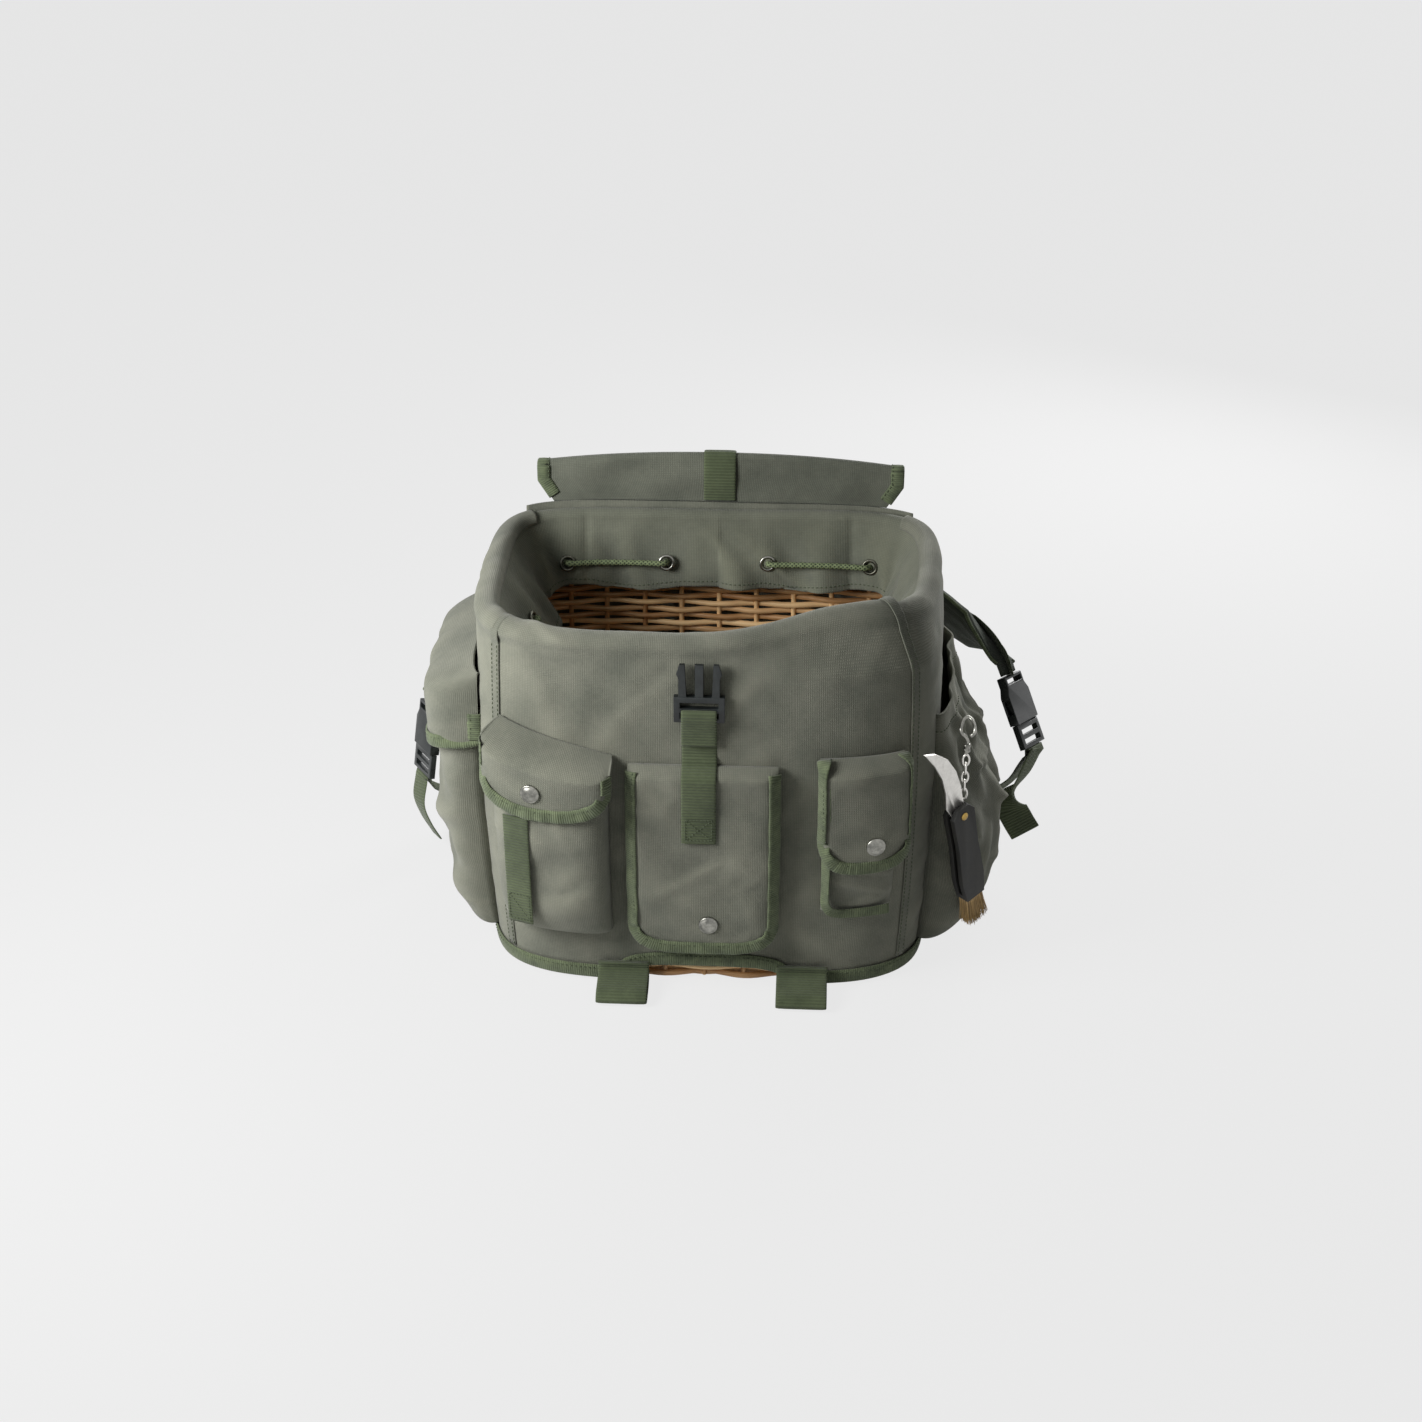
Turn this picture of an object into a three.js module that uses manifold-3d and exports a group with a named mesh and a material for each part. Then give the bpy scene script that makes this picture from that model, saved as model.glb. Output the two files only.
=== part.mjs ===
// A forager's pack basket: a woven willow basket inside a canvas backpack cover.
// Millimetres. +X is the viewer's right seen from the front, -Y the front, +Y the wearer's back.
// The origin is the middle of the basket's underside, which stands on the floor at Z 0.
import * as THREE from 'three';
import { mergeVertices } from 'three/addons/utils/BufferGeometryUtils.js';
import Module from 'manifold-3d';

const wasm = await Module();
wasm.setup();

// Basket
const basketHalfWidthBase = 160;
const basketSideBulge = 6;
const basketSideFlare = 3;
const basketHalfWidthMiddle = basketHalfWidthBase + basketSideBulge;
const basketHalfWidthTop = basketHalfWidthBase + basketSideFlare;
const basketHalfDepthBase = 116;
const basketFrontBulge = 2;
const basketFrontTaper = 2;
const basketHalfDepthMiddle = basketHalfDepthBase + basketFrontBulge;
const basketHalfDepthTop = basketHalfDepthBase - basketFrontTaper;
const frontSquarenessShare = 4.2;
const backSquarenessShare = 5.4;
const backWidening = 6;
const basketHeight = 253;
const basketWall = 7;
const basketBaseThickness = 9;
const basketRimHeight = 10;
const basketRimWidth = 9;
const clearance = 0.4;
const coverEase = 1.3;
const roundColumnsShare = 60;

// Cover cloth and seams
const clothThickness = 2.2;
const coverStandUp = 36;
const coverRimHeight = basketHeight + coverStandUp;
const cornerRise = 14;
const cornerLean = 22;
const cornerAngle = 48;
const cornerSpreadAngle = 27;
const backCornerRise = 2;
const backCornerAngle = 128;
const coverRoll = 13;
const hemHeight = 5;
const hemArch = 15;
const hemArchHalfWidth = 64;
const frontSeamAngle = 57;
const backSeamAngle = 124;
const backPadThickness = 10;
const padMarginShare = 0.11;
const tapeThickness = 1.1;
const tapeWidth = 10;
const hemTapeHeight = 9;
const hemTapeEase = 1.4;
const hemTapeFoot = 1;

// Drawcord collar
const collarDrop = 61;
const collarRollRadius = 7;
const collarLean = 13;
const collarFoldDepth = 4;
const collarFolds = 12;
const collarColumnsShare = 72;
const eyeletHoleRadius = 4.1;
const eyeletRimRadius = 6.4;
const eyeletThickness = 1.5;
const eyeletSeat = 0.9;
const cordRadius = 2;
const cordStandOff = 5.6;
const cordDropShare = 0.64;
const cordCrossing = 1.8;
const cordEndSpacing = 3.6;
const cordEndInset = 15;
const cordEndDrop = 74;
const knotRadius = cordEndSpacing - clearance / 2;
const cordLockRadius = 8.5;
const cordLockHeight = 20;
const cordLockDrop = 14;

// Lid
const lidHingeRise = 3;
const lidHingeHeight = coverRimHeight + lidHingeRise;
const lidStandHeight = 36;
const lidBaseWidth = 246;
const lidTopWidth = 284;
const lidOuterWidth = 250;
const lidTaperLength = 34;
const lidLength = 210;
const lidLeanAngle = 5;
const lidSlantAngle = 17;
const lidBow = 1;
const lidFoldGap = 3.2;
const lidCornerRadius = 16;
const lidTailLength = 58;

// Webbing and buckles
const webbingWidth = 25;
const webbingThickness = 1.5;
const wideWebbingWidth = 38;
const buckleWidth = 36;
const buckleThickness = 8;
const buckleWall = 1.6;
const socketLength = 30;
const plugBarLength = 20;
const socketBarLength = 9;
const prongLength = 25;
const prongWidth = 7;
const postWidth = 3;
const plugWidthClearance = 0.5;
const buckleOverrun = 1;
const ladderSlotShares = [[0.15, 0.375], [0.55, 0.775]];

// Centre pocket and the front strap
const pocketStandOff = coverEase + clothThickness + clearance;
const flapEase = 0.8;
const centrePocketHalfWidth = 49;
const centrePocketBottom = 44;
const centrePocketTop = 186;
const centrePocketDepth = 10;
const centreFlapHalfWidth = 54;
const centreFlapBottom = 40;
const centreFlapHinge = 195;
const strapStitchHeight = 137;
const strapTop = 227;
const plugLift = 3.4;
const strapShift = -2.5;
const strapSeamGap = 6.5;
const strapSewnGap = 6.5;

// Left bellows pocket
const leftPocketCentre = -106;
const leftPocketHalfWidth = 38;
const leftPocketBottom = 50;
const leftPocketTop = 185;
const leftPocketDepth = 27;
const leftFlapHalfWidth = 41;
const leftFlapHinge = 211;
const leftFlapBottom = 160;
const leftFlapRise = 10;
const leftTabOffset = -18;
const leftTabTop = 158;
const leftTabBottom = 66;
const leftTabWidth = 20;

// Right pouch
const rightPouchCentre = 111;
const rightPouchHalfWidth = 25;
const rightPouchBottom = 72;
const rightPouchTop = 192;
const rightPouchDepth = 15;
const rightFlapCentre = 113;
const rightFlapHalfWidth = 30;
const rightFlapHinge = 202;
const rightFlapBottom = 115;

// Side pockets
const leftSideHalfWidth = 72;
const rightSideHalfWidth = 75;
const sidePocketBottom = 16;
const sidePocketDroop = 9;
const leftSideDepth = 36;
const leftSideTop = 208;
const rightSideDepth = 40;
const rightSideSag = 13;
const rightSideTop = 214;
const sideFlapHalfWidth = 77;
const sideFlapHinge = 240;
const sideFlapBottom = 152;

// Snaps
const snapRadius = 7.2;
const snapHeight = 3;

// Shoulder straps
const strapPadWidth = 56;
const strapPadThickness = 9;
const strapCrown = 3;
const padTaperShare = 0.78;
const padEndShare = 0.3;
const padTwistAngle = 1.1;
const padLeanShare = 0.2;
const padNeck = 11;
const buckleTurnShare = 0.6;
const strapAnchorAngle = 131;
const strapAnchorStepAngle = 0.06;
const strapAnchorHeight = 42;
const strapLegHalf = 2;
const strapLegDrop = 3;
const strapTurnHalf = 1.2;
const strapTwistSteps = 9;

// Bottom loops
const loopSpacing = 67;
const loopShift = 7;
const loopThickness = 1.6;
const loopStandOff = 0.4;
const loopReach = 29;
const loopRise = 21;
const loopFrontShares = [[0, 1], [0, 0.43], [0.14, 0.19], [0.48, 0.076], [0.83, 0.053], [1, 0.23], [0.86, 0.457]];
const loopBackShares = [[0.48, 0.57], [0.069, 0.76], [0.069, 1]];

// Foraging knife: it hangs before the right side pocket
const knifeOutset = 3.12;
const knifePivotOffset = 4;
const handleTuck = 0.6;
const hookTop = 217;
const hookLength = 24;
const hookRing = 5;
const wireRadius = 1.3;
const chainLength = 39;
const linkLength = 10;
const linkWidth = 6.4;
const linkCount = 5;
const linkWire = 0.9;
const handleLength = 88;
const handleWidth = 22;
const handleThickness = 12;
const handleTiltAngle = 13.5;
const knifeYawAngle = 42;
const bladeThickness = 2.2;
const bladeSlot = 3.4;
const bladeLength = 73;
const bladeWidth = 18;
const bladeTiltAngle = 20;
const rivetRadius = 2;
const brushCollar = 5;
const bristleLength = 21;
const bristleRadius = 0.3;
const bristleRows = 12;
const bristleColumns = 25;
const bristleFlareShare = 1.25;

// Colours and finishes
const willow = { color: 0xb98a56, roughness: 0.75, metalness: 0 };
const canvas = { color: 0x74776a, roughness: 0.9, metalness: 0 };
const tape = { color: 0x5f7a52, roughness: 0.85, metalness: 0 };
const webbing = { color: 0x4b5a42, roughness: 0.85, metalness: 0 };
const padding = { color: 0x2b322b, roughness: 0.95, metalness: 0 };
const plastic = { color: 0x23282a, roughness: 0.45, metalness: 0 };
const cordYarn = { color: 0x4d5c45, roughness: 0.9, metalness: 0 };
const nickel = { color: 0xb9b9b4, roughness: 0.3, metalness: 1 };
const steel = { color: 0xb4b4b0, roughness: 0.35, metalness: 1 };
const handleWood = { color: 0x23231f, roughness: 0.5, metalness: 0 };
const bristleHair = { color: 0xc9a566, roughness: 0.8, metalness: 0 };

const pack = new THREE.Group();

/** Adds a named piece with its own material, so that its faces point out. */
function addPiece(name, geometry, finish) {
  const mesh = new THREE.Mesh(faceOut(geometry), new THREE.MeshStandardMaterial(finish));
  mesh.name = name;
  pack.add(mesh);
  return mesh;
}

/** Turns a closed geometry's faces outwards if its volume comes out negative. */
function faceOut(geometry) {
  geometry.deleteAttribute('normal');
  geometry.deleteAttribute('uv');
  const merged = mergeVertices(geometry, 1e-4);
  const p = merged.getAttribute('position');
  const index = Array.from(merged.getIndex().array);
  const a = new THREE.Vector3();
  const b = new THREE.Vector3();
  const c = new THREE.Vector3();
  let volume = 0;
  for (let i = 0; i < index.length; i += 3) {
    a.fromBufferAttribute(p, index[i]);
    b.fromBufferAttribute(p, index[i + 1]);
    c.fromBufferAttribute(p, index[i + 2]);
    volume += a.dot(b.cross(c));
  }
  if (volume < 0) merged.setIndex(index.reverse());
  return merged;
}

/** A geometry from a list of points and a list of triangles. */
function fromLists(points, triangles) {
  const geometry = new THREE.BufferGeometry();
  const flat = points.flatMap((v) => [v.x, v.y, v.z]);
  geometry.setAttribute('position', new THREE.Float32BufferAttribute(flat, 3));
  geometry.setIndex(triangles.flat());
  return geometry;
}

/** A closed solid between two equal grids of points; round joins the last column to the first. */
function sheet(outer, inner, round = false) {
  const rows = outer.length;
  const columns = outer[0].length;
  const points = [...outer.flat(), ...inner.flat()];
  const top = (i, j) => i * columns + (j % columns);
  const under = (i, j) => rows * columns + top(i, j);
  const triangles = [];
  const quad = (a, b, c, d) => triangles.push([a, b, c], [a, c, d]);
  const spans = round ? columns : columns - 1;
  for (let i = 0; i < rows - 1; i += 1) {
    for (let j = 0; j < spans; j += 1) {
      quad(top(i, j), top(i, j + 1), top(i + 1, j + 1), top(i + 1, j));
      quad(under(i, j), under(i + 1, j), under(i + 1, j + 1), under(i, j + 1));
    }
  }
  for (let j = 0; j < spans; j += 1) {
    quad(top(0, j + 1), top(0, j), under(0, j), under(0, j + 1));
    quad(top(rows - 1, j), top(rows - 1, j + 1), under(rows - 1, j + 1), under(rows - 1, j));
  }
  if (!round) {
    for (let i = 0; i < rows - 1; i += 1) {
      quad(top(i, 0), top(i + 1, 0), under(i + 1, 0), under(i, 0));
      quad(top(i + 1, columns - 1), top(i, columns - 1), under(i, columns - 1), under(i + 1, columns - 1));
    }
  }
  return fromLists(points, triangles);
}

/**
 * A closed solid through a row of equal sections; closed joins the last section to the first. A thin band is
 * paired: its two faces split their quads along the same diagonal, so they stay parallel where it twists.
 */
function loft(sections, closed = false, paired = false) {
  const sides = sections[0].length;
  const count = sections.length;
  const points = sections.flat();
  const at = (i, j) => (i % count) * sides + (j % sides);
  const triangles = [];
  const spans = closed ? count : count - 1;
  for (let i = 0; i < spans; i += 1) {
    for (let j = 0; j < sides; j += 1) {
      const [a, b, c, d] = [at(i, j), at(i, j + 1), at(i + 1, j + 1), at(i + 1, j)];
      const turned = paired && 2 * j >= sides;
      triangles.push(turned ? [a, b, d] : [a, b, c]);
      triangles.push(turned ? [b, c, d] : [a, c, d]);
    }
  }
  if (!closed) {
    for (let j = 1; j < sides - 1; j += 1) {
      triangles.push([at(0, 0), at(0, j + 1), at(0, j)]);
      triangles.push([at(count - 1, 0), at(count - 1, j), at(count - 1, j + 1)]);
    }
  }
  return fromLists(points, triangles);
}

/** Evenly spaced numbers from start to end, both ends included. */
function steps(start, end, count) {
  return Array.from({ length: count + 1 }, (_, i) => start + ((end - start) * i) / count);
}

/** A tube through hand-placed points, its section carried along without twist. */
function tube(points, radiusAt, sides, closed = false) {
  const last = points.length - 1;
  const tangents = points.map((_, i) => {
    const ahead = points[closed ? (i + 1) % points.length : Math.min(i + 1, last)];
    const behind = points[closed ? (i + last) % points.length : Math.max(i - 1, 0)];
    return ahead.clone().sub(behind).normalize();
  });
  let side = new THREE.Vector3(0, 0, 1);
  if (Math.abs(tangents[0].z) > 0.9) side = new THREE.Vector3(1, 0, 0);
  const sections = points.map((point, i) => {
    side = side.clone().addScaledVector(tangents[i], -side.dot(tangents[i])).normalize();
    const up = tangents[i].clone().cross(side);
    return steps(0, 2 * Math.PI, sides).slice(0, sides).map((angle) => point.clone()
      .addScaledVector(side, radiusAt(i) * Math.cos(angle))
      .addScaledVector(up, radiusAt(i) * Math.sin(angle)));
  });
  return loft(sections, closed);
}

/** Directions across a path, turned square to it. */
function squareTo(points, across) {
  const last = points.length - 1;
  return points.map((point, i) => {
    const along = points[Math.min(i + 1, last)].clone().sub(points[Math.max(i - 1, 0)]).normalize();
    return across[i].clone().addScaledVector(along, -across[i].dot(along)).normalize();
  });
}

/** A flat band along a path: its width lies along one direction, its thickness square to both. */
function band(points, across, width, thickness, crown = 0, sizeAt = () => [1, 1]) {
  const last = points.length - 1;
  const sections = points.map((point, i) => {
    const along = points[Math.min(i + 1, last)].clone().sub(points[Math.max(i - 1, 0)]).normalize();
    const side = Array.isArray(across) ? across[i] : across;
    const up = side.clone().cross(along).normalize();
    const [wide, thick] = sizeAt(i);
    const corner = (u, v) => point.clone()
      .addScaledVector(side, (wide * u * width) / 2)
      .addScaledVector(up, thick * ((v * thickness) / 2 + Math.sign(v) * crown * (1 - u * u)));
    if (crown === 0) return [corner(-1, -1), corner(1, -1), corner(1, 1), corner(-1, 1)];
    const under = [-1, -0.6, 0, 0.6, 1].map((u) => corner(u, -1));
    const over = [1, 0.6, 0, -0.6, -1].map((u) => corner(u, 1));
    return [...under, ...over];
  });
  return loft(sections, false, true);
}

/** A flat plate: an outline in X and Z, its thickness along Y about the plane y. */
function plate(outline, thickness, y = 0, holes = []) {
  const shape = new THREE.Shape(outline.map(([x, z]) => new THREE.Vector2(x, z)));
  holes.forEach((hole) => shape.holes.push(new THREE.Path(hole.map(([x, z]) => new THREE.Vector2(x, z)))));
  const geometry = new THREE.ExtrudeGeometry(shape, { depth: thickness, bevelEnabled: false });
  geometry.rotateX(Math.PI / 2);
  geometry.translate(0, y + thickness / 2, 0);
  return geometry;
}

/** A box between two corners. */
function boxBetween(low, high) {
  const size = high.map((value, i) => value - low[i]);
  const middle = high.map((value, i) => (value + low[i]) / 2);
  return new THREE.BoxGeometry(...size).translate(...middle);
}

/** A geometry as a solid that can be joined and cut. */
function solid(geometry) {
  const merged = faceOut(geometry);
  const vertProperties = new Float32Array(merged.getAttribute('position').array);
  const triVerts = new Uint32Array(merged.getIndex().array);
  return new wasm.Manifold(new wasm.Mesh({ numProp: 3, vertProperties, triVerts }));
}

/** The geometry of a joined or cut solid. */
function unsolid(shape) {
  const mesh = shape.getMesh();
  const geometry = new THREE.BufferGeometry();
  geometry.setAttribute('position', new THREE.Float32BufferAttribute(mesh.vertProperties, 3));
  geometry.setIndex(Array.from(mesh.triVerts));
  return geometry;
}

/** A size that runs through three heights: base, middle and rim of the cover. */
function halfAt(z, base, middle, top) {
  const t = z / coverRimHeight;
  return base * (1 - t) * (1 - 2 * t) + middle * 4 * t * (1 - t) + top * t * (2 * t - 1);
}

/** A place round the basket: angle from the front middle, height, distance out of its wall. */
function round(angle, z, out) {
  const b = halfAt(z, basketHalfDepthBase, basketHalfDepthMiddle, basketHalfDepthTop);
  const sx = Math.sin(angle);
  const sy = -Math.cos(angle);
  const rear = (0.5 + 0.5 * sy) ** 2 * (2 - sy);
  const n = frontSquarenessShare + (backSquarenessShare - frontSquarenessShare) * rear;
  const a = halfAt(z, basketHalfWidthBase, basketHalfWidthMiddle, basketHalfWidthTop) + backWidening * rear;
  const r = (Math.abs(sx / a) ** n + Math.abs(sy / b) ** n) ** (-1 / n);
  const x = r * sx;
  const y = r * sy;
  const normal = new THREE.Vector2(
    Math.sign(x) * (Math.abs(x) / a) ** (n - 1) / a,
    Math.sign(y) * (Math.abs(y) / b) ** (n - 1) / b,
  ).normalize();
  return new THREE.Vector3(x + normal.x * out, y + normal.y * out, z);
}

/** The direction out of the wall at an angle round the basket. */
function outward(angle, z) {
  return round(angle, z, 1).sub(round(angle, z, 0)).normalize();
}

// Girth table: the length round the wall at mid height for each of many angles.
const girthHeight = coverRimHeight / 2;
const girthAngles = steps(-Math.PI, Math.PI, 720);
const girth = [0];
girthAngles.slice(1).forEach((angle, i) => {
  girth.push(girth[i] + round(angle, girthHeight, 0).distanceTo(round(girthAngles[i], girthHeight, 0)));
});
const halfGirth = girth[girth.length - 1] / 2;

/** The angle at a length round the wall from the front middle, positive to the right. */
function angleAt(length) {
  const wanted = length + halfGirth;
  const i = Math.max(1, girth.findIndex((value) => value >= wanted));
  const share = (wanted - girth[i - 1]) / (girth[i] - girth[i - 1]);
  return girthAngles[i - 1] + share * (girthAngles[i] - girthAngles[i - 1]);
}

/** The length round the wall at an angle. */
function lengthAt(angle) {
  const i = Math.max(1, girthAngles.findIndex((value) => value >= angle));
  const share = (angle - girthAngles[i - 1]) / (girthAngles[i] - girthAngles[i - 1]);
  return girth[i - 1] + share * (girth[i] - girth[i - 1]) - halfGirth;
}

/** Angles all the way round, evenly spaced. */
function anglesRound(columns) {
  return steps(-Math.PI, Math.PI, columns).slice(0, columns);
}

/** A place on the wall: length round it from the front middle, height, distance out. */
function on(length, z, out) {
  return round(angleAt(length), z, out);
}

/** A smooth hump of height 1 round an angle in degrees. */
function hump(angle, middle) {
  const turn = Math.atan2(Math.sin(angle), Math.cos(angle));
  return Math.exp(-(((THREE.MathUtils.radToDeg(turn) - middle) / cornerSpreadAngle) ** 2));
}

/** The cover's top edge: the slack cloth stands higher at the right corners than at the front. */
function rimHeightAt(angle) {
  return coverRimHeight + cornerRise * hump(angle, cornerAngle) + backCornerRise * hump(angle, backCornerAngle);
}

/** A place on the cover's cloth, which leans in above the basket's rim at the right front corner. */
function cover(angle, z, out) {
  const rimTop = basketHeight + basketRimHeight + 2 * clearance;
  const share = Math.max(0, z - rimTop) / (rimHeightAt(angle) - rimTop);
  return round(angle, z, out - cornerLean * hump(angle, cornerAngle) * Math.min(1, share));
}

/** The cover's lower edge: it arches up over the basket at the front middle and at the back. */
function hemHeightAt(angle) {
  const x = Math.abs(round(angle, 0, 0).x) / hemArchHalfWidth;
  return hemHeight + hemArch * Math.max(0, 1 - x ** 4) ** 0.5;
}

// Basket

/** A solid ring round the basket from two heights and two distances out of the wall. */
function ring(low, high, inside, outside, rows) {
  const angles = anglesRound(roundColumnsShare);
  const grid = (out) => steps(low, high, rows).map((z) => angles.map((angle) => round(angle, z, out)));
  return sheet(grid(outside), grid(inside), true);
}

function makeBasket() {
  const angles = anglesRound(roundColumnsShare);
  const disc = [0, basketBaseThickness].map((z) => angles.map((angle) => round(angle, z, 0)));
  addPiece('basket_base', loft(disc), willow);
  const wallBottom = basketBaseThickness + clearance;
  addPiece('basket_wall', ring(wallBottom, basketHeight, -basketWall, 0, 2), willow);
  const rimBottom = basketHeight + clearance;
  const middle = (basketRimWidth + clearance) / 2;
  const bead = anglesRound(roundColumnsShare).map((angle) => (
    steps(0, 2 * Math.PI, 6).slice(0, 6).map((turn) => round(
      angle,
      rimBottom + (basketRimHeight / 2) * (1 + Math.sin(turn)),
      (basketRimWidth / 2) * Math.cos(turn) - middle,
    ))
  ));
  addPiece('basket_rim', loft(bead, true), willow);
}

// Cover

/** A panel of the cover between two angles: rows 0 to 1 climb from the hem to the basket's rim, 2 is its top. */
function coverPanel(from, to, columns, rows, thicknessAt) {
  const angles = steps(from, to, columns);
  const grid = (out) => rows.map((t) => angles.map((angle) => {
    const low = hemHeightAt(angle);
    const bend = basketHeight + basketRimHeight + 2 * clearance;
    const high = rimHeightAt(angle) - coverRoll - clearance;
    const z = t <= 1 ? low + t * (bend - low) : bend + (t - 1) * (high - bend);
    return cover(angle, z, out(angle, Math.min(1, t)));
  }));
  return sheet(grid((angle, t) => coverEase + thicknessAt(angle, t)), grid(() => coverEase));
}

/** How thick the padded back is at an angle and a share of its height. */
function backPadAt(angle, t) {
  const back = THREE.MathUtils.degToRad(backSeamAngle);
  const across = Math.cos(((Math.abs(angle) - Math.PI) / (Math.PI - back)) * (Math.PI / 2));
  const along = Math.sin(Math.PI * (t - padMarginShare) / (1 - 2 * padMarginShare));
  return clothThickness + backPadThickness * Math.sqrt(Math.max(0, across * along));
}

/** A place off the outer face of the padded back. */
function offBack(angle, z, out) {
  const low = hemHeightAt(angle);
  const bend = basketHeight + basketRimHeight + 2 * clearance;
  return round(angle, z, coverEase + backPadAt(angle, (z - low) / (bend - low)) + out);
}

/** The padded back: its top steps out over the collar's foot and rises to the seam that holds the lid. */
function backPanel(from, to, columns, rows, thicknessAt) {
  const angles = steps(from, to, columns);
  const bend = basketHeight + basketRimHeight + 2 * clearance;
  const stepOut = clothThickness + 3 * clearance;
  const grid = (share) => [
    ...rows.map((t) => angles.map((angle) => {
      const low = hemHeightAt(angle);
      return round(angle, low + t * (bend - low), coverEase + share * thicknessAt(angle, t));
    })),
    ...[coverRimHeight - coverRoll - clearance, lidHingeHeight - 2 * clearance].map((z) => angles.map((angle) => (
      round(angle, z, coverEase + stepOut + share * clothThickness)
    ))),
  ];
  return sheet(grid(1), grid(0));
}

function makeCover() {
  const front = THREE.MathUtils.degToRad(frontSeamAngle);
  const back = THREE.MathUtils.degToRad(backSeamAngle);
  const seam = (clearance / 2) / basketHalfWidthBase;
  const cloth = () => clothThickness;
  const rows = [...steps(0, 1, 5), 2];
  addPiece('front_panel', coverPanel(seam - front, front - seam, 22, rows, cloth), canvas);
  addPiece('right_side_panel', coverPanel(front + seam, back - seam, 14, rows, cloth), canvas);
  addPiece('left_side_panel', coverPanel(seam - back, -front - seam, 14, rows, cloth), canvas);
  const padRows = [0, ...steps(padMarginShare, 1 - padMarginShare, 6), 1];
  addPiece('back_panel', backPanel(back + seam, 2 * Math.PI - back - seam, 18, padRows, backPadAt), canvas);
}

function makeHemBinding() {
  const angles = anglesRound(roundColumnsShare);
  const out = coverEase + clothThickness + hemTapeEase;
  const sections = angles.map((angle) => {
    const edge = hemHeightAt(angle);
    const foot = edge - hemTapeFoot;
    const place = (d, z) => round(angle, z, d);
    return [
      place(coverEase, foot - tapeThickness),
      place(out + tapeThickness, foot - tapeThickness),
      place(out + tapeThickness, edge + hemTapeHeight),
      place(out, edge + hemTapeHeight),
      place(out, foot),
      place(coverEase, foot),
    ];
  });
  addPiece('hem_binding', loft(sections, true), tape);
}

// Collar

/** The collar's middle surface: up the cover's edge, over the rim and down inside in gathers. */
function collarPoint(angle, v, standOff = 0) {
  const top = rimHeightAt(angle);
  const start = coverEase + clothThickness / 2;
  const centreOut = start - collarRollRadius;
  const rise = coverRoll - collarRollRadius;
  const arc = Math.PI * collarRollRadius;
  const fall = collarDrop - collarRollRadius;
  const along = v * (rise + arc + fall);
  const offsetRadius = collarRollRadius + standOff;
  if (along < rise) return cover(angle, top - coverRoll + along, start + standOff);
  if (along < rise + arc) {
    const turn = (along - rise) / collarRollRadius;
    const out = centreOut + offsetRadius * Math.cos(turn);
    return cover(angle, top - collarRollRadius + offsetRadius * Math.sin(turn), out);
  }
  const t = (along - rise - arc) / fall;
  const gather = collarFoldDepth * Math.sin(collarFolds * angle) * t * t;
  const lean = collarLean * t * (1.3 - 0.3 * t);
  const shift = cornerLean * hump(angle, cornerAngle) * (1 - 0.6 * t);
  return round(angle, top - collarRollRadius - t * fall, centreOut - offsetRadius - lean + gather - shift);
}

/** The share of the collar's path at a drop below the rim, on the part that hangs inside. */
function collarShare(drop) {
  const rise = coverRoll - collarRollRadius;
  const arc = Math.PI * collarRollRadius;
  return (rise + arc + drop - collarRollRadius) / (rise + arc + collarDrop - collarRollRadius);
}

const eyeletAngles = {
  back_left_outer: -132,
  back_left_inner: -160.5,
  back_right_inner: 161.5,
  back_right_outer: 132,
  left_back: -86,
  left_front: -66,
  front_left: -5,
  front_right: 5,
};
const cordDrop = collarDrop * cordDropShare;

function makeCollar() {
  const angles = anglesRound(collarColumnsShare);
  const shares = [0, 0.08, 0.16, 0.25, 0.45, 0.72, 1];
  const grid = (standOff) => shares.map((v) => angles.map((angle) => collarPoint(angle, v, standOff)));
  let cloth = solid(sheet(grid(clothThickness / 2), grid(-clothThickness / 2), true));
  Object.values(eyeletAngles).forEach((degrees) => {
    const angle = THREE.MathUtils.degToRad(degrees);
    const hole = new THREE.CylinderGeometry(eyeletHoleRadius, eyeletHoleRadius, 4 * cordStandOff, 8);
    cloth = cloth.subtract(solid(hole.applyMatrix4(collarFrame(angle))));
  });
  addPiece('collar', unsolid(cloth), canvas);
}

/** A frame on the hanging collar: Y square to its face, out of it on the visible side. */
function collarFrame(angle) {
  const v = collarShare(cordDrop);
  const step = 0.01;
  const across = collarPoint(angle + step, v).sub(collarPoint(angle - step, v)).normalize();
  const down = collarPoint(angle, v + step).sub(collarPoint(angle, v - step)).normalize();
  const normal = across.clone().cross(down).normalize();
  const inwards = outward(angle, coverRimHeight).negate();
  if (normal.dot(inwards) < 0) normal.negate();
  const frame = new THREE.Matrix4().makeBasis(across, normal, across.clone().cross(normal));
  return frame.setPosition(collarPoint(angle, v));
}

function makeEyelets() {
  const low = clothThickness / 2 + eyeletSeat;
  const profile = [
    [eyeletHoleRadius, low],
    [eyeletRimRadius, low],
    [eyeletRimRadius, low + eyeletThickness / 2],
    [(eyeletHoleRadius + eyeletRimRadius) / 2, low + eyeletThickness],
    [eyeletHoleRadius, low + eyeletThickness / 2],
    [eyeletHoleRadius, low],
  ].map(([x, y]) => new THREE.Vector2(x, y));
  Object.entries(eyeletAngles).forEach(([place, degrees]) => {
    const eyelet = addPiece(`eyelet_${place}`, new THREE.LatheGeometry(profile, 8), nickel);
    eyelet.applyMatrix4(collarFrame(THREE.MathUtils.degToRad(degrees)));
  });
}

/** The cord's place at an angle: on the visible face of the collar, or hidden behind it. */
function cordPoint(angle, side) {
  const frame = collarFrame(angle);
  return new THREE.Vector3(0, side * cordStandOff, 0).applyMatrix4(frame);
}

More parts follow.
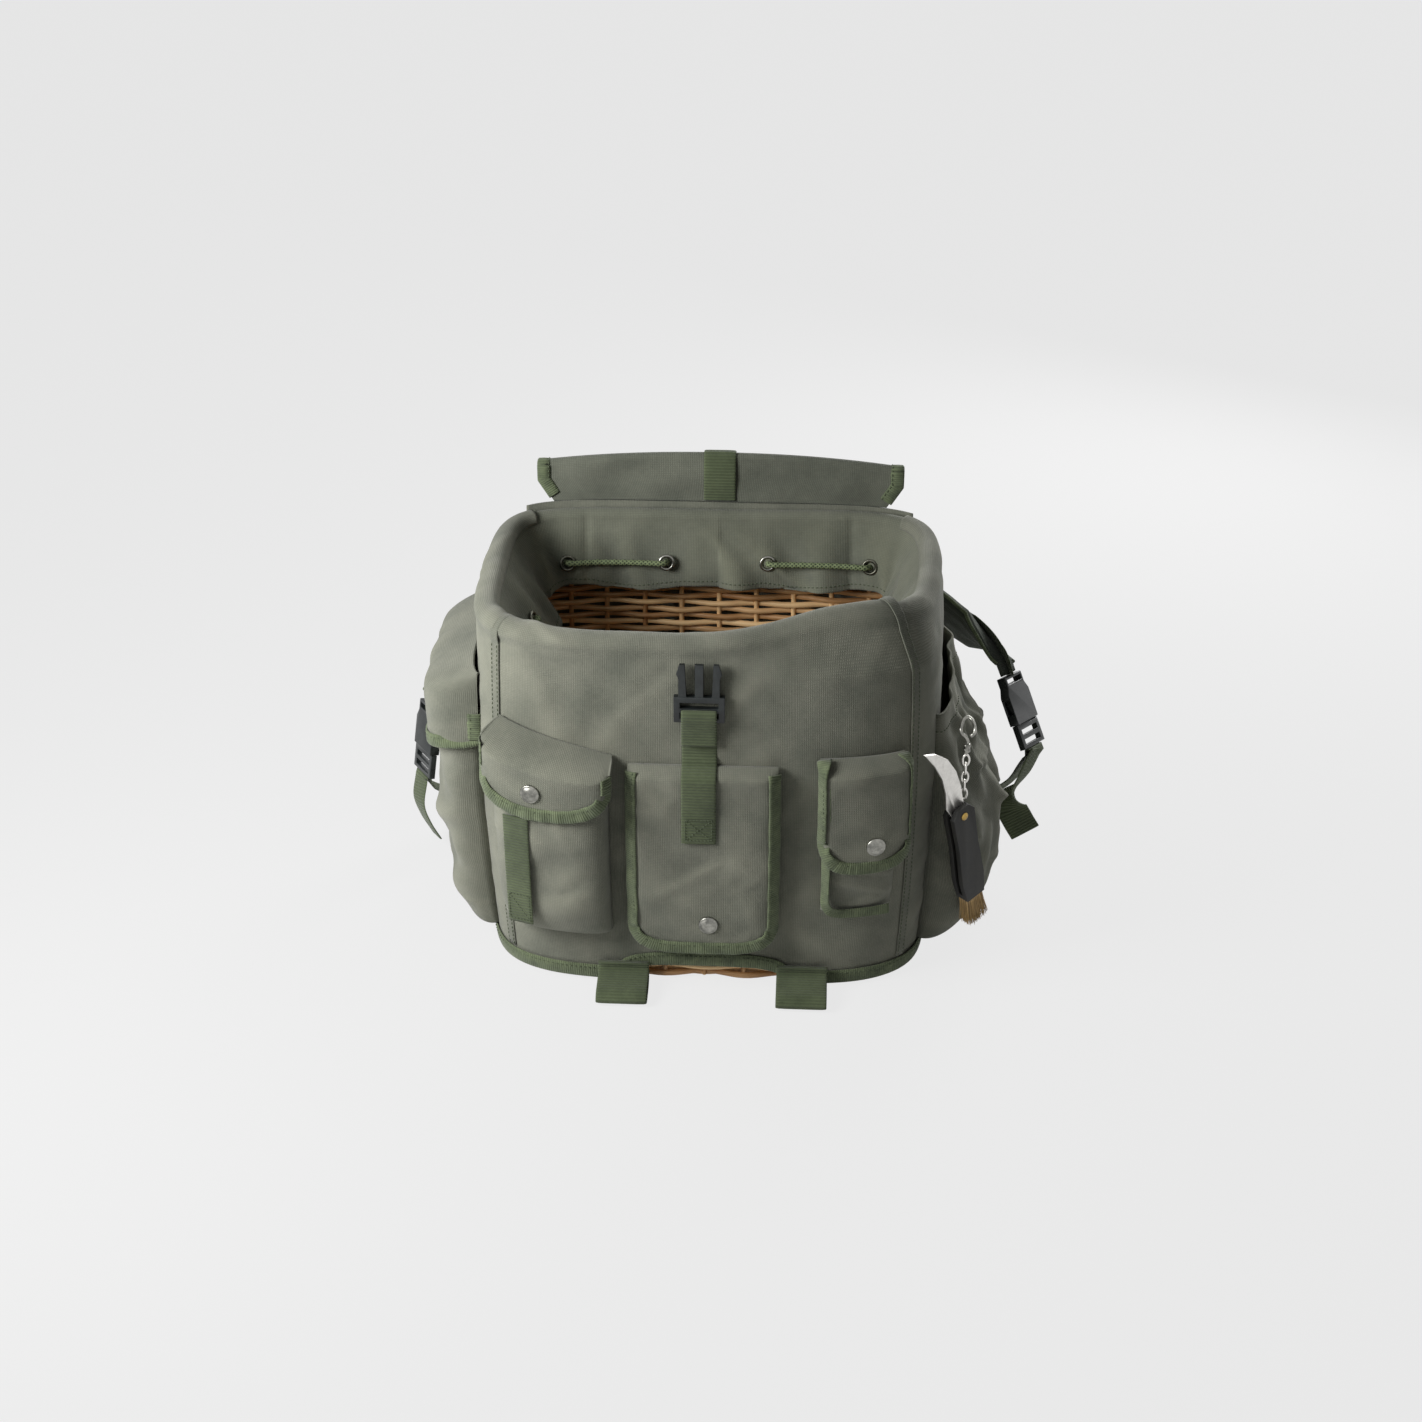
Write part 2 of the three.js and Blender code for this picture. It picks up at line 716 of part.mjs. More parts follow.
function makeDrawcord() {
  const rad = THREE.MathUtils.degToRad;
  const e = eyeletAngles;
  const sideAt = (fromAngle, toAngle, side, count) => steps(rad(fromAngle), rad(toAngle), count)
    .slice(1, -1).map((angle) => cordPoint(angle, side));
  const through = (degrees, side) => {
    const frame = collarFrame(rad(degrees));
    const before = new THREE.Vector3(-cordCrossing, -side * cordStandOff, 0);
    const after = new THREE.Vector3(cordCrossing, side * cordStandOff, 0);
    return [before, new THREE.Vector3(), after].map((place) => place.applyMatrix4(frame));
  };
  const right = [
    ...through(e.back_right_inner, -1).reverse(),
    ...sideAt(e.back_right_inner, e.back_right_outer, 1, 4),
    ...through(e.back_right_outer, 1).reverse(),
    ...sideAt(e.back_right_outer, e.front_right, -1, 15),
    ...through(e.front_right, -1).reverse(),
  ];
  const left = [
    ...through(e.back_left_inner, 1),
    ...sideAt(e.back_left_inner, e.back_left_outer, 1, 4),
    ...through(e.back_left_outer, -1),
    ...sideAt(e.back_left_outer, e.left_back, -1, 6),
    ...through(e.left_back, 1),
    ...sideAt(e.left_back, e.left_front, 1, 4),
    ...through(e.left_front, -1),
    ...sideAt(e.left_front, e.front_left, -1, 8),
    ...through(e.front_left, 1),
  ];
  const backMiddle = steps(rad(e.back_right_inner), rad(360 + e.back_left_inner), 4)
    .slice(1, -1).map((angle) => cordPoint(angle, -1));
  const end = (side) => {
    const start = cordPoint(0, 1);
    const x = side * cordEndSpacing;
    const y = start.y + cordEndInset;
    const drop = (share) => start.z - cordEndDrop * share;
    return [
      new THREE.Vector3(2.2 * x, start.y + cordEndInset / 3, drop(0.02)),
      new THREE.Vector3(x, y, drop(0.16)),
      new THREE.Vector3(x, y, drop(0.5)),
      new THREE.Vector3(x, y, drop(0.92)),
    ];
  };
  const knot = (side) => {
    const bottom = end(side)[3];
    return [0.6, 1, 1.5, 2, 2.4].map((k) => bottom.clone().setZ(bottom.z - k * knotRadius));
  };
  const route = [
    ...knot(1).reverse(),
    ...end(1).reverse(),
    ...right.slice().reverse(),
    ...backMiddle,
    ...left,
    ...end(-1),
    ...knot(-1),
  ];
  const knotShares = [0.55, 1, 1, 0.55];
  const radiusAt = (i) => {
    const fromEnd = Math.min(i, route.length - 1 - i);
    if (fromEnd > 3) return cordRadius;
    return knotRadius * knotShares[fromEnd];
  };
  addPiece('drawcord', tube(route, radiusAt, 8), cordYarn);
  const lockTop = cordPoint(0, 1).z - cordEndDrop * 0.16 - cordLockDrop;
  const barrel = new THREE.CylinderGeometry(cordLockRadius, cordLockRadius, cordLockHeight, 16);
  const bore = () => new THREE.CylinderGeometry(cordRadius + clearance, cordRadius + clearance, 2 * cordLockHeight, 12);
  const turned = (geometry, x) => geometry.rotateX(Math.PI / 2)
    .translate(x, cordPoint(0, 1).y + cordEndInset, lockTop - cordLockHeight / 2);
  const lock = solid(turned(barrel, 0))
    .subtract(solid(turned(bore(), cordEndSpacing)))
    .subtract(solid(turned(bore(), -cordEndSpacing)));
  addPiece('cord_lock', unsolid(lock), plastic);
}

// Pockets and flaps

/** How far a box-like form has risen at a share from 0 at one side to 1 at the other. */
function boxRise(share, powerShare = 4) {
  return Math.max(0, 1 - Math.abs(2 * share - 1) ** powerShare) ** (1 / powerShare);
}

/** A pocket sewn on the wall at its sides and bottom, open at the top. */
function pocket(centre, halfWidth, bottom, top, depth, columns = 10, sag = 0, droop = 0) {
  const shell = (inset) => steps(0, 1, 6).map((w) => steps(0, 1, columns).map((u) => {
    const across = 0.5 - 0.5 * Math.cos(Math.PI * u);
    const up = w * w * (1.6 - 0.6 * w);
    const low = bottom + inset;
    const length = centre + (2 * across - 1) * (halfWidth - inset);
    const swell = boxRise(across) * boxRise(up / 2);
    const full = depth - inset + sag * Math.sin(Math.PI * Math.sqrt(up)) ** 2;
    const z = low + up * (top - low) - droop * swell * (1 - up) ** 2;
    return on(length, z, pocketStandOff + swell * full);
  }));
  return sheet(shell(0), shell(clothThickness));
}

/** A rounded outline for a flap: share across from -1 to 1 gives the share of the drop there. */
function flapDrop(across, roundShare) {
  return 1 - roundShare * (1 - Math.sqrt(Math.max(0, 1 - Math.abs(across) ** 5)));
}

/** A flap's face: hinged at its top edge, out over the pocket's depth and down its front. */
function flapPoint(flap, across, w, out) {
  const hinge = flap.hinge - flap.rise * across;
  const drop = (hinge - flap.bottom) * flapDrop(across, flap.roundShare) * w;
  const over = Math.min(1, w / flap.shoulderShare);
  const lift = flap.depth * Math.sin((over * Math.PI) / 2);
  return on(flap.centre + across * flap.halfWidth, hinge - drop, flap.seat + lift + out);
}

/** Rows down a flap: close together over its shoulder. */
function flapRows(flap) {
  return [0, flap.shoulderShare / 2, ...steps(flap.shoulderShare, 1, 4)];
}

function flapSolid(flap, columns = 12) {
  const grid = (out) => flapRows(flap).map((w) => steps(-1, 1, columns).map((u) => {
    const across = Math.sin((u * Math.PI) / 2);
    return flapPoint(flap, across, w, out);
  }));
  return sheet(grid(clothThickness), grid(0));
}

/** Binding tape along both sides and the lower edge of a flap, on its face. */
function flapBinding(flap) {
  const startShare = flap.shoulderShare;
  const down = steps(startShare, 1, 4).map((w) => [-1, w]);
  const acrossEdge = steps(-1, 1, 12).slice(1, -1).map((u) => [Math.sin((u * Math.PI) / 2), 1]);
  const up = steps(1, startShare, 4).map((w) => [1, w]);
  const edge = [...down, ...acrossEdge, ...up];
  const inset = (point) => {
    const tall = flap.hinge - flap.bottom;
    return [
      point[0] * (1 - tapeWidth / flap.halfWidth),
      Math.min(point[1], Math.max(startShare, point[1] * (1 - (tapeWidth / tall) * (point[1] ** 6)))),
    ];
  };
  const row = (points, out) => points.map(([across, w]) => flapPoint(flap, across, w, out));
  const base = clothThickness + 2 * clearance;
  const inner = edge.map(inset);
  const outer = [row(edge, base + tapeThickness), row(inner, base + tapeThickness)];
  const under = [row(edge, base), row(inner, base)];
  return sheet(outer, under);
}

/** A domed snap cap on a flap's face. */
function snap(name, flap, across, w) {
  const profile = [
    [0, 0],
    [snapRadius, 0],
    [snapRadius, snapHeight * 0.35],
    [snapRadius * 0.72, snapHeight * 0.82],
    [0, snapHeight],
  ].map(([x, y]) => new THREE.Vector2(x, y));
  const cap = addPiece(name, new THREE.LatheGeometry(profile, 12), nickel);
  const step = 0.02;
  const centre = flapPoint(flap, across, w, clothThickness);
  const side = flapPoint(flap, across + step, w, clothThickness).sub(centre).normalize();
  const fall = flapPoint(flap, across, w + step, clothThickness).sub(centre).normalize();
  const normal = fall.cross(side).normalize();
  if (normal.dot(outward(angleAt(flap.centre), centre.z)) < 0) normal.negate();
  centre.addScaledVector(normal, 2 * clearance);
  cap.quaternion.setFromUnitVectors(new THREE.Vector3(0, 1, 0), normal);
  cap.position.copy(centre);
}

const flapSeat = pocketStandOff;
const centreFlap = {
  centre: 0,
  halfWidth: centreFlapHalfWidth,
  hinge: centreFlapHinge,
  bottom: centreFlapBottom,
  depth: centrePocketDepth + flapEase,
  seat: flapSeat,
  rise: 0,
  roundShare: 0.14,
  shoulderShare: 0.05,
};
const leftFlap = {
  centre: leftPocketCentre,
  halfWidth: leftFlapHalfWidth,
  hinge: leftFlapHinge,
  bottom: leftFlapBottom,
  depth: leftPocketDepth + flapEase,
  seat: flapSeat,
  rise: leftFlapRise,
  roundShare: 0.55,
  shoulderShare: 0.33,
};
const rightFlap = {
  centre: rightFlapCentre,
  halfWidth: rightFlapHalfWidth,
  hinge: rightFlapHinge,
  bottom: rightFlapBottom,
  depth: rightPouchDepth + flapEase,
  seat: flapSeat,
  rise: 0,
  roundShare: 0.3,
  shoulderShare: 0.11,
};
const sideCentre = lengthAt(Math.PI / 2);
const leftSideFlap = {
  centre: -sideCentre,
  halfWidth: sideFlapHalfWidth,
  hinge: sideFlapHinge,
  bottom: sideFlapBottom,
  depth: leftSideDepth + flapEase,
  seat: flapSeat,
  rise: 0,
  roundShare: 0.12,
  shoulderShare: 0.3,
};

function makeCentrePocket() {
  const body = pocket(0, centrePocketHalfWidth, centrePocketBottom, centrePocketTop, centrePocketDepth);
  addPiece('centre_pocket_body', body, canvas);
  addPiece('centre_pocket_flap', flapSolid(centreFlap), canvas);
  addPiece('centre_flap_binding', flapBinding(centreFlap), tape);
  snap('centre_snap', centreFlap, 0.08, 0.84);
}

function makeLeftPocket() {
  const c = leftPocketCentre;
  addPiece('left_pocket_body', pocket(c, leftPocketHalfWidth, leftPocketBottom, leftPocketTop, leftPocketDepth), canvas);
  addPiece('left_pocket_flap', flapSolid(leftFlap), canvas);
  addPiece('left_flap_binding', flapBinding(leftFlap), tape);
  snap('left_snap', leftFlap, -0.2, 0.62);
  const out = pocketStandOff + leftPocketDepth + clearance;
  const heights = steps(leftTabTop, leftTabBottom, 6);
  const grid = (more) => heights.map((z) => [-1, 0, 1].map((u) => (
    on(c + leftTabOffset + (u * leftTabWidth) / 2, z, out + more)
  )));
  addPiece('left_pocket_tab', sheet(grid(webbingThickness), grid(0)), webbing);
}

function makeRightPouch() {
  const c = rightPouchCentre;
  addPiece('right_pouch_body', pocket(c, rightPouchHalfWidth, rightPouchBottom, rightPouchTop, rightPouchDepth), canvas);
  addPiece('right_pouch_flap', flapSolid(rightFlap), canvas);
  addPiece('right_flap_binding', flapBinding(rightFlap), tape);
  snap('right_snap', rightFlap, 0.2, 0.76);
}

function makeSidePockets() {
  const left = pocket(
    -sideCentre,
    leftSideHalfWidth,
    sidePocketBottom,
    leftSideTop,
    leftSideDepth,
    16,
    0,
    sidePocketDroop,
  );
  addPiece('left_side_pocket_body', left, canvas);
  addPiece('left_side_pocket_flap', flapSolid(leftSideFlap), canvas);
  const right = pocket(
    sideCentre,
    rightSideHalfWidth,
    sidePocketBottom,
    rightSideTop,
    rightSideDepth,
    16,
    rightSideSag,
    sidePocketDroop,
  );
  addPiece('right_side_pocket_body', right, canvas);
}

// Webbing on the front, buckles

/** The plug half of a side-release buckle, pointing up from the bar that holds the webbing. */
function plugGeometry() {
  const half = buckleWidth / 2;
  const bar = plugBarLength;
  const slotHalf = webbingWidth / 2 + buckleOverrun;
  const slots = ladderSlotShares.map(([low, high]) => (
    [[-slotHalf, low * bar], [slotHalf, low * bar], [slotHalf, high * bar], [-slotHalf, high * bar]]
  ));
  const frame = plate([[-half, 0], [half, 0], [half, bar], [-half, bar]], buckleThickness * 0.6, 0, slots);
  const inner = half - buckleWall - plugWidthClearance;
  const prong = (side) => plate(
    [
      [side * (inner - prongWidth), bar - buckleOverrun],
      [side * (inner - 0.2 * prongWidth), bar - buckleOverrun],
      [side * (inner - 0.2 * prongWidth), bar + prongLength * 0.55],
      [side * inner, bar + prongLength * 0.7],
      [side * (inner - 0.3 * prongWidth), bar + prongLength],
      [side * (inner - 0.85 * prongWidth), bar + prongLength],
    ],
    buckleThickness * 0.42,
  );
  const foot = bar - buckleOverrun;
  const tip = bar + prongLength;
  const post = plate(
    [[-postWidth, foot], [postWidth, foot], [postWidth, tip], [-postWidth, tip]],
    buckleThickness * 0.42,
  );
  return unsolid(solid(frame).add(solid(prong(1))).add(solid(prong(-1))).add(solid(post)));
}

/** The socket half: a hollow sleeve open at the bottom, with side windows and a webbing bar on top. */
function socketGeometry() {
  const half = buckleWidth / 2;
  const length = socketLength;
  const bar = socketBarLength;
  const sleeve = plate(
    [[-half, 0], [half, 0], [half, length * 0.8], [half * 0.8, length], [half * 0.8, length + bar],
      [-half * 0.8, length + bar], [-half * 0.8, length], [-half, length * 0.8]],
    buckleThickness,
  );
  const slotHalf = half * 0.8 - 1.5 * buckleWall;
  const cavity = boxBetween(
    [-half + buckleWall, -buckleThickness / 2 + buckleWall, -buckleOverrun],
    [half - buckleWall, buckleThickness / 2 - buckleWall, length - 2.5 * buckleWall],
  );
  const window = boxBetween(
    [-half - buckleOverrun, -buckleThickness / 2 + buckleWall, length * 0.3],
    [half + buckleOverrun, buckleThickness / 2 - buckleWall, length * 0.68],
  );
  const slot = boxBetween(
    [-slotHalf, -buckleThickness, length + 1.5 * buckleWall],
    [slotHalf, buckleThickness, length + 4 * buckleWall],
  );
  return unsolid(solid(sleeve).subtract(solid(cavity)).subtract(solid(window)).subtract(solid(slot)));
}

/** A matrix that stands a local piece (up along Z, face along -Y) at a place along a direction. */
function standAt(place, up, face) {
  const z = up.clone().normalize();
  const y = face.clone().negate().addScaledVector(z, face.dot(z)).normalize();
  const x = y.clone().cross(z);
  return new THREE.Matrix4().makeBasis(x, y, z).setPosition(place);
}

function makeFrontStrap() {
  const seat = pocketStandOff + clearance + buckleThickness * 0.3;
  const faceOver = (z) => flapPoint(centreFlap, 0, (centreFlapHinge - z) / (centreFlapHinge - centreFlapBottom), 0);
  const strip = (heights, outAt) => {
    const grid = (more) => heights.map((z) => [-1, 0, 1].map((u) => (
      on(strapShift + (u * webbingWidth) / 2, z, outAt(z) + more)
    )));
    return sheet(grid(webbingThickness), grid(0));
  };
  const flapFall = centreFlapHinge - centreFlapBottom;
  const shoulder = centreFlapHinge - centreFlap.shoulderShare * flapFall;
  const lower = [centreFlapHinge - strapSewnGap, ...steps(shoulder, strapStitchHeight, 6)];
  const lowerOut = (z) => -faceOver(z).y - basketFrontAt(z) + clothThickness + 2 * clearance;
  addPiece('front_strap_sewn', strip(lower, lowerOut), webbing);
  const upper = steps(centreFlapHinge + strapSeamGap, strapTop, 4);
  addPiece('front_strap', strip(upper, () => pocketStandOff + clearance), webbing);
  const up = new THREE.Vector3(0, 0, 1);
  const face = new THREE.Vector3(0, -1, 0);
  const z = strapTop + plugLift;
  const place = on(strapShift, z, seat);
  const plug = addPiece('front_buckle_plug', plugGeometry(), plastic);
  plug.applyMatrix4(standAt(place, up, face));
}

/** How far the bare basket's front stands out at a height. */
function basketFrontAt(z) {
  return -round(0, z, 0).y;
}

// Lid

const lidHinge = new THREE.Vector3(
  0,
  basketHalfDepthTop + coverEase + clothThickness + clearance + clothThickness / 2,
  lidHingeHeight,
);

/** A place on a lid panel from its hinge line: half-width share, distance along it, lift off its face. */
function lidPlace(origin, lean, across, along, lift) {
  const t = THREE.MathUtils.degToRad(lean);
  const direction = new THREE.Vector3(0, -Math.sin(t), Math.cos(t));
  const normal = new THREE.Vector3(0, -Math.cos(t), -Math.sin(t));
  return origin.clone().add(new THREE.Vector3(across, 0, 0))
    .addScaledVector(direction, along).addScaledVector(normal, lift);
}

const lidFold = lidPlace(lidHinge, -lidLeanAngle, 0, lidStandHeight, -lidFoldGap);
const halfTurnAngle = 180;
const lidOuterLean = lidSlantAngle - halfTurnAngle;

function lidHalfWidth(along, total) {
  const fromEnd = total - along;
  const taper = Math.min(1, along / lidTaperLength);
  if (fromEnd >= lidCornerRadius) return (lidTopWidth + (lidOuterWidth - lidTopWidth) * taper) / 2;
  const miss = lidCornerRadius - fromEnd;
  return lidOuterWidth / 2 - lidCornerRadius + Math.sqrt(Math.max(0, lidCornerRadius ** 2 - miss ** 2));
}

function makeLid() {
  const innerGrid = (lift) => steps(0, 1, 4).map((t) => steps(-1, 1, 12).map((u) => {
    const half = (lidBaseWidth + (lidTopWidth - lidBaseWidth) * t) / 2;
    const bow = lidBow * Math.sin(Math.PI * t);
    return lidPlace(lidHinge, -lidLeanAngle, u * half, t * lidStandHeight, lift + bow);
  }));
  addPiece('lid_inner', sheet(innerGrid(clothThickness / 2), innerGrid(-clothThickness / 2)), canvas);
  const rows = [0, lidTaperLength, ...steps(0, lidLength - lidCornerRadius, 4).slice(1), ...steps(0, 1, 4).slice(1)
    .map((t) => lidLength - lidCornerRadius + lidCornerRadius * Math.sin((t * Math.PI) / 2))];
  const outerGrid = (lift) => rows.map((along) => steps(-1, 1, 8).map((u) => (
    lidPlace(lidFold, lidOuterLean, u * lidHalfWidth(along, lidLength), along + lidFoldGap, lift)
  )));
  addPiece('lid_outer', sheet(outerGrid(clothThickness / 2), outerGrid(-clothThickness / 2)), canvas);
  const edge = [
    ...rows.map((along) => [-lidHalfWidth(along, lidLength), along]),
    ...rows.slice().reverse().map((along) => [lidHalfWidth(along, lidLength), along]),
  ];
  const inset = edge.map(([x, along]) => [
    x - Math.sign(x) * tapeWidth * (along > lidLength - lidCornerRadius ? 1.2 : 1),
    Math.min(along, lidLength - tapeWidth),
  ]);
  const lift = -clothThickness / 2 - clearance;
  const row = (points, more) => points.map(([x, along]) => (
    lidPlace(lidFold, lidOuterLean, x, along + lidFoldGap, lift - more)
  ));
  addPiece('lid_binding', sheet(
    [row(edge, tapeThickness), row(inset, tapeThickness)],
    [row(edge, 0), row(inset, 0)],
  ), tape);
  makeLidStrap();
}

function makeLidStrap() {
  const across = new THREE.Vector3(1, 0, 0);
  const rise = clothThickness / 2 + clearance + webbingThickness / 2;
  const lower = steps(0.04, 0.97, 4).map((t) => lidPlace(
    lidHinge,
    -lidLeanAngle,
    0,
    t * lidStandHeight,
    rise + lidBow * Math.sin(Math.PI * t) + clearance / 2,
  ));
  addPiece('lid_strap_lower', band(lower, across, webbingWidth, webbingThickness), webbing);
  const upper = steps(lidFoldGap, lidLength + lidFoldGap - tapeWidth - 2 * clearance, 2)
    .map((along) => lidPlace(lidFold, lidOuterLean, 0, along, -rise));
  addPiece('lid_strap_upper', band(upper, across, webbingWidth, webbingThickness), webbing);
  const end = lidPlace(lidFold, lidOuterLean, 0, lidLength + lidFoldGap + clearance, 0);
  const tail = [clearance, lidTailLength / 2, lidTailLength].map((drop) => end.clone().setZ(end.z - drop));
  addPiece('lid_strap_tail', band(tail, across, webbingWidth, webbingThickness), webbing);
  const socket = addPiece('lid_buckle_socket', socketGeometry(), plastic);
  const bar = socketBarLength;
  const foot = end.clone().setZ(end.z - lidTailLength - clearance - socketLength - bar);
  socket.applyMatrix4(standAt(foot, new THREE.Vector3(0, 0, 1), new THREE.Vector3(0, 1, 0)));
}

// Shoulder straps

const strapRoutes = {
  right: {
    pad: [[50, 0, 248], [74, 0, 240], [104, 139, 229], [139, 141, 215], [170, 136, 199], [196, 124, 186],
      [215, 107, 179]],
    buckleTop: [233, 84, 162],
    buckleBottom: [254, 60, 112],
    lower: [[182, 106, 34], [208, 97, 41], [230, 84, 56], [243, 72, 76], [250, 64, 96]],
    tail: [[252, 47, 90], [247, 44, 74], [250, 42, 56], [254, 41, 40]],
  },
  left: {
    pad: [[-50, 0, 248], [-74, 0, 238], [-106, 139, 225], [-139, 139, 207], [-171, 133, 187], [-200, 119, 166],
      [-220, 101, 150]],
    buckleTop: [-234, 78, 124],
    buckleBottom: [-241, 66, 68],
    lower: [[-178, 108, 34], [-200, 101, 32], [-220, 91, 36], [-234, 79, 46], [-239, 71, 56]],
    tail: [[-245, 56, 46], [-240, 54, 30], [-232, 54, 14]],
  },
};

/** A smooth row of points through the hand-placed ones. */
function smooth(list, count) {
  const curve = new THREE.CatmullRomCurve3(list.map((p) => new THREE.Vector3(...p)));
  return curve.getSpacedPoints(count);
}

/** A padded strap that is sewn on the back and narrows to the webbing of its buckle. */
function makePad(side, route, up, barSide) {
  const tall = plugBarLength + clearance + socketLength + socketBarLength;
  const top = new THREE.Vector3(...route.buckleBottom).addScaledVector(up, tall);
  const stand = strapPadThickness / 2 + strapCrown + clearance;
  const sewn = route.pad.map(([x, y, z], i) => {
    const angle = Math.PI - Math.atan2(x, basketHalfDepthTop);
    return i < 2 ? [x, offBack(angle, z - strapPadWidth / 2, stand).y, z] : [x, y, z];
  });
  const neck = top.clone().addScaledVector(up, padNeck);
  const path = [...smooth([...sewn, neck.toArray()], 13), top.clone().addScaledVector(up, 1.2 * clearance)];
  const last = path.length - 1;
  const endShareAt = (i) => Math.max(0, i / last - padTaperShare) / (1 - padTaperShare);
  const across = path.map((p, i) => {
    const t = i / last;
    const worn = new THREE.Vector3(0, -Math.sin(padTwistAngle * t), 1 - padLeanShare * t).normalize();
    return worn.lerp(barSide, endShareAt(i)).normalize();
  });
  const taper = (i) => [
    1 + (webbingWidth / strapPadWidth - 1) * endShareAt(i),
    1 + (padEndShare - 1) * endShareAt(i),
  ];
  const square = squareTo(path, across);
  addPiece(`${side}_shoulder_pad`, band(path, square, strapPadWidth, strapPadThickness, strapCrown, taper), padding);
}

/** The webbing from the foot of the back, round the buckle's end bar and down to its loose tail. */
function makeStrapWebbing(side, route, up, barSide) {
  const sign = Math.sign(route.buckleTop[0]);
  const outward = up.clone().cross(barSide).multiplyScalar(sign);
  const turn = new THREE.Vector3(...route.buckleBottom).addScaledVector(up, -(webbingThickness / 2 + clearance));
  const leg = (way, rise) => turn.clone().addScaledVector(outward, way).addScaledVector(up, -rise).toArray();
  const anchorAngle = THREE.MathUtils.degToRad(strapAnchorAngle) * sign;
  const stand = webbingThickness / 2 + clearance / 3;
  const anchor = [0, strapAnchorStepAngle].map((step) => (
    offBack(anchorAngle - sign * step, strapAnchorHeight, stand).toArray()
  ));
  const path = [
    ...smooth([...anchor, ...route.lower, leg(-strapLegHalf, strapLegDrop)], 12),
    ...[-1, 1].map((way) => new THREE.Vector3(...leg(way * strapTurnHalf, 0))),
    ...smooth([leg(strapLegHalf, strapLegDrop), ...route.tail], 7),
  ];
  const wallUp = offBack(anchorAngle, strapAnchorHeight + 1, 0).sub(offBack(anchorAngle, strapAnchorHeight, 0));
  const across = path.map((p, i) => {
    const t = Math.min(1, Math.max(0, i - 1) / strapTwistSteps);
    return wallUp.clone().normalize().lerp(barSide, t).normalize();
  });
  addPiece(`${side}_strap_webbing`, band(path, across, webbingWidth, webbingThickness), webbing);
}

function makeShoulderStraps() {
  Object.entries(strapRoutes).forEach(([side, route]) => {
    const bottom = new THREE.Vector3(...route.buckleBottom);
    const up = new THREE.Vector3(...route.buckleTop).sub(bottom).normalize();
    const sign = Math.sign(route.buckleTop[0]);
    const face = new THREE.Vector3(sign, -buckleTurnShare, 0);
    const barSide = face.clone().cross(up).multiplyScalar(sign).normalize();
    makePad(side, route, up, barSide);
    const socket = addPiece(`${side}_buckle_socket`, socketGeometry(), plastic);
    socket.applyMatrix4(standAt(bottom.clone().addScaledVector(up, plugBarLength + clearance), up, face));
    const plug = addPiece(`${side}_buckle_plug`, plugGeometry(), plastic);
    plug.applyMatrix4(standAt(bottom, up, face));
    makeStrapWebbing(side, route, up, barSide);
  });
}

// Bottom loops

function makeBottomLoops() {
  const out = coverEase + clothThickness + hemTapeEase + tapeThickness + loopStandOff;
  [['left', -1], ['right', 1]].forEach(([side, sign]) => {
    const x = loopShift + sign * loopSpacing;
    const nearX = x - (sign * wideWebbingWidth) / 2;
    const front = (z) => round(Math.atan2(nearX, basketFrontAt(0)), z, 0).y;
    const y0 = front(0) - out - clearance - loopThickness / 2;
    const profile = [...loopFrontShares, ...loopBackShares]
      .map(([reach, rise]) => new THREE.Vector3(x, y0 - reach * loopReach, rise * loopRise));
    const strip = band(profile, new THREE.Vector3(1, 0, 0), wideWebbingWidth, loopThickness);
    addPiece(`${side}_bottom_loop`, strip, webbing);
  });
}

// Knife

const knifeFace = on(sideCentre - rightSideHalfWidth, girthHeight, pocketStandOff + rightSideDepth / 2);
const knifeForward = 10.9;
const yaw = THREE.MathUtils.degToRad(knifeYawAngle);
const knifeX = knifeFace.x + knifeOutset;
const knifeY = knifeFace.y - wireRadius - knifeForward;
const handleTop = hookTop - hookLength - chainLength;

/** The snap hook: a ring of wire leaning back to the pocket, and a shank down to the chain. */
function makeHook() {
  const ringZ = hookTop - hookRing;
  const back = knifeFace.y - wireRadius - clearance;
  const ringPoints = steps(-0.36 * Math.PI, 1.36 * Math.PI, 14).map((turn) => new THREE.Vector3(
    knifeX + hookRing * Math.cos(turn),
    knifeY + (back - knifeY) * Math.max(0, Math.sin(turn)),
    ringZ + hookRing * Math.sin(turn),
  ));
  const shank = [0.55, 0.8, 1].map((share) => new THREE.Vector3(knifeX, knifeY, hookTop - hookLength * share));
  const route = [...ringPoints, ...shank];
  addPiece('knife_snap_hook', tube(route, () => wireRadius, 8), nickel);
}

/** A chain of links turned a quarter from each other. */
function makeChain() {
  const pitch = (chainLength - linkLength) / (linkCount - 1);
  let chain = null;
  steps(0, linkCount - 1, linkCount - 1).forEach((n) => {
    const turned = n % 2 === 1;
    const middle = hookTop - hookLength - clearance - linkLength / 2 - n * pitch;
    const loop = steps(0, 2 * Math.PI, 7).slice(0, 7).map((turn) => {
      const across = (linkWidth / 2 - linkWire) * Math.cos(turn);
      const z = middle + (linkLength / 2 - linkWire) * Math.sin(turn);
      return new THREE.Vector3(knifeX + (turned ? 0 : across), knifeY + (turned ? across : 0), z);
    });
    const link = solid(tube(loop, () => linkWire, 5, true));
    chain = chain === null ? link : chain.add(link);
  });
  addPiece('knife_chain', unsolid(chain), steel);
}

/** Turns and places an outline that is drawn with its pivot at zero. */
function turnedOutline(points, degrees, x, z) {
  const t = THREE.MathUtils.degToRad(degrees);
  return points.map(([u, v]) => [
    x + u * Math.cos(t) - v * Math.sin(t),
    z + u * Math.sin(t) + v * Math.cos(t),
  ]);
}

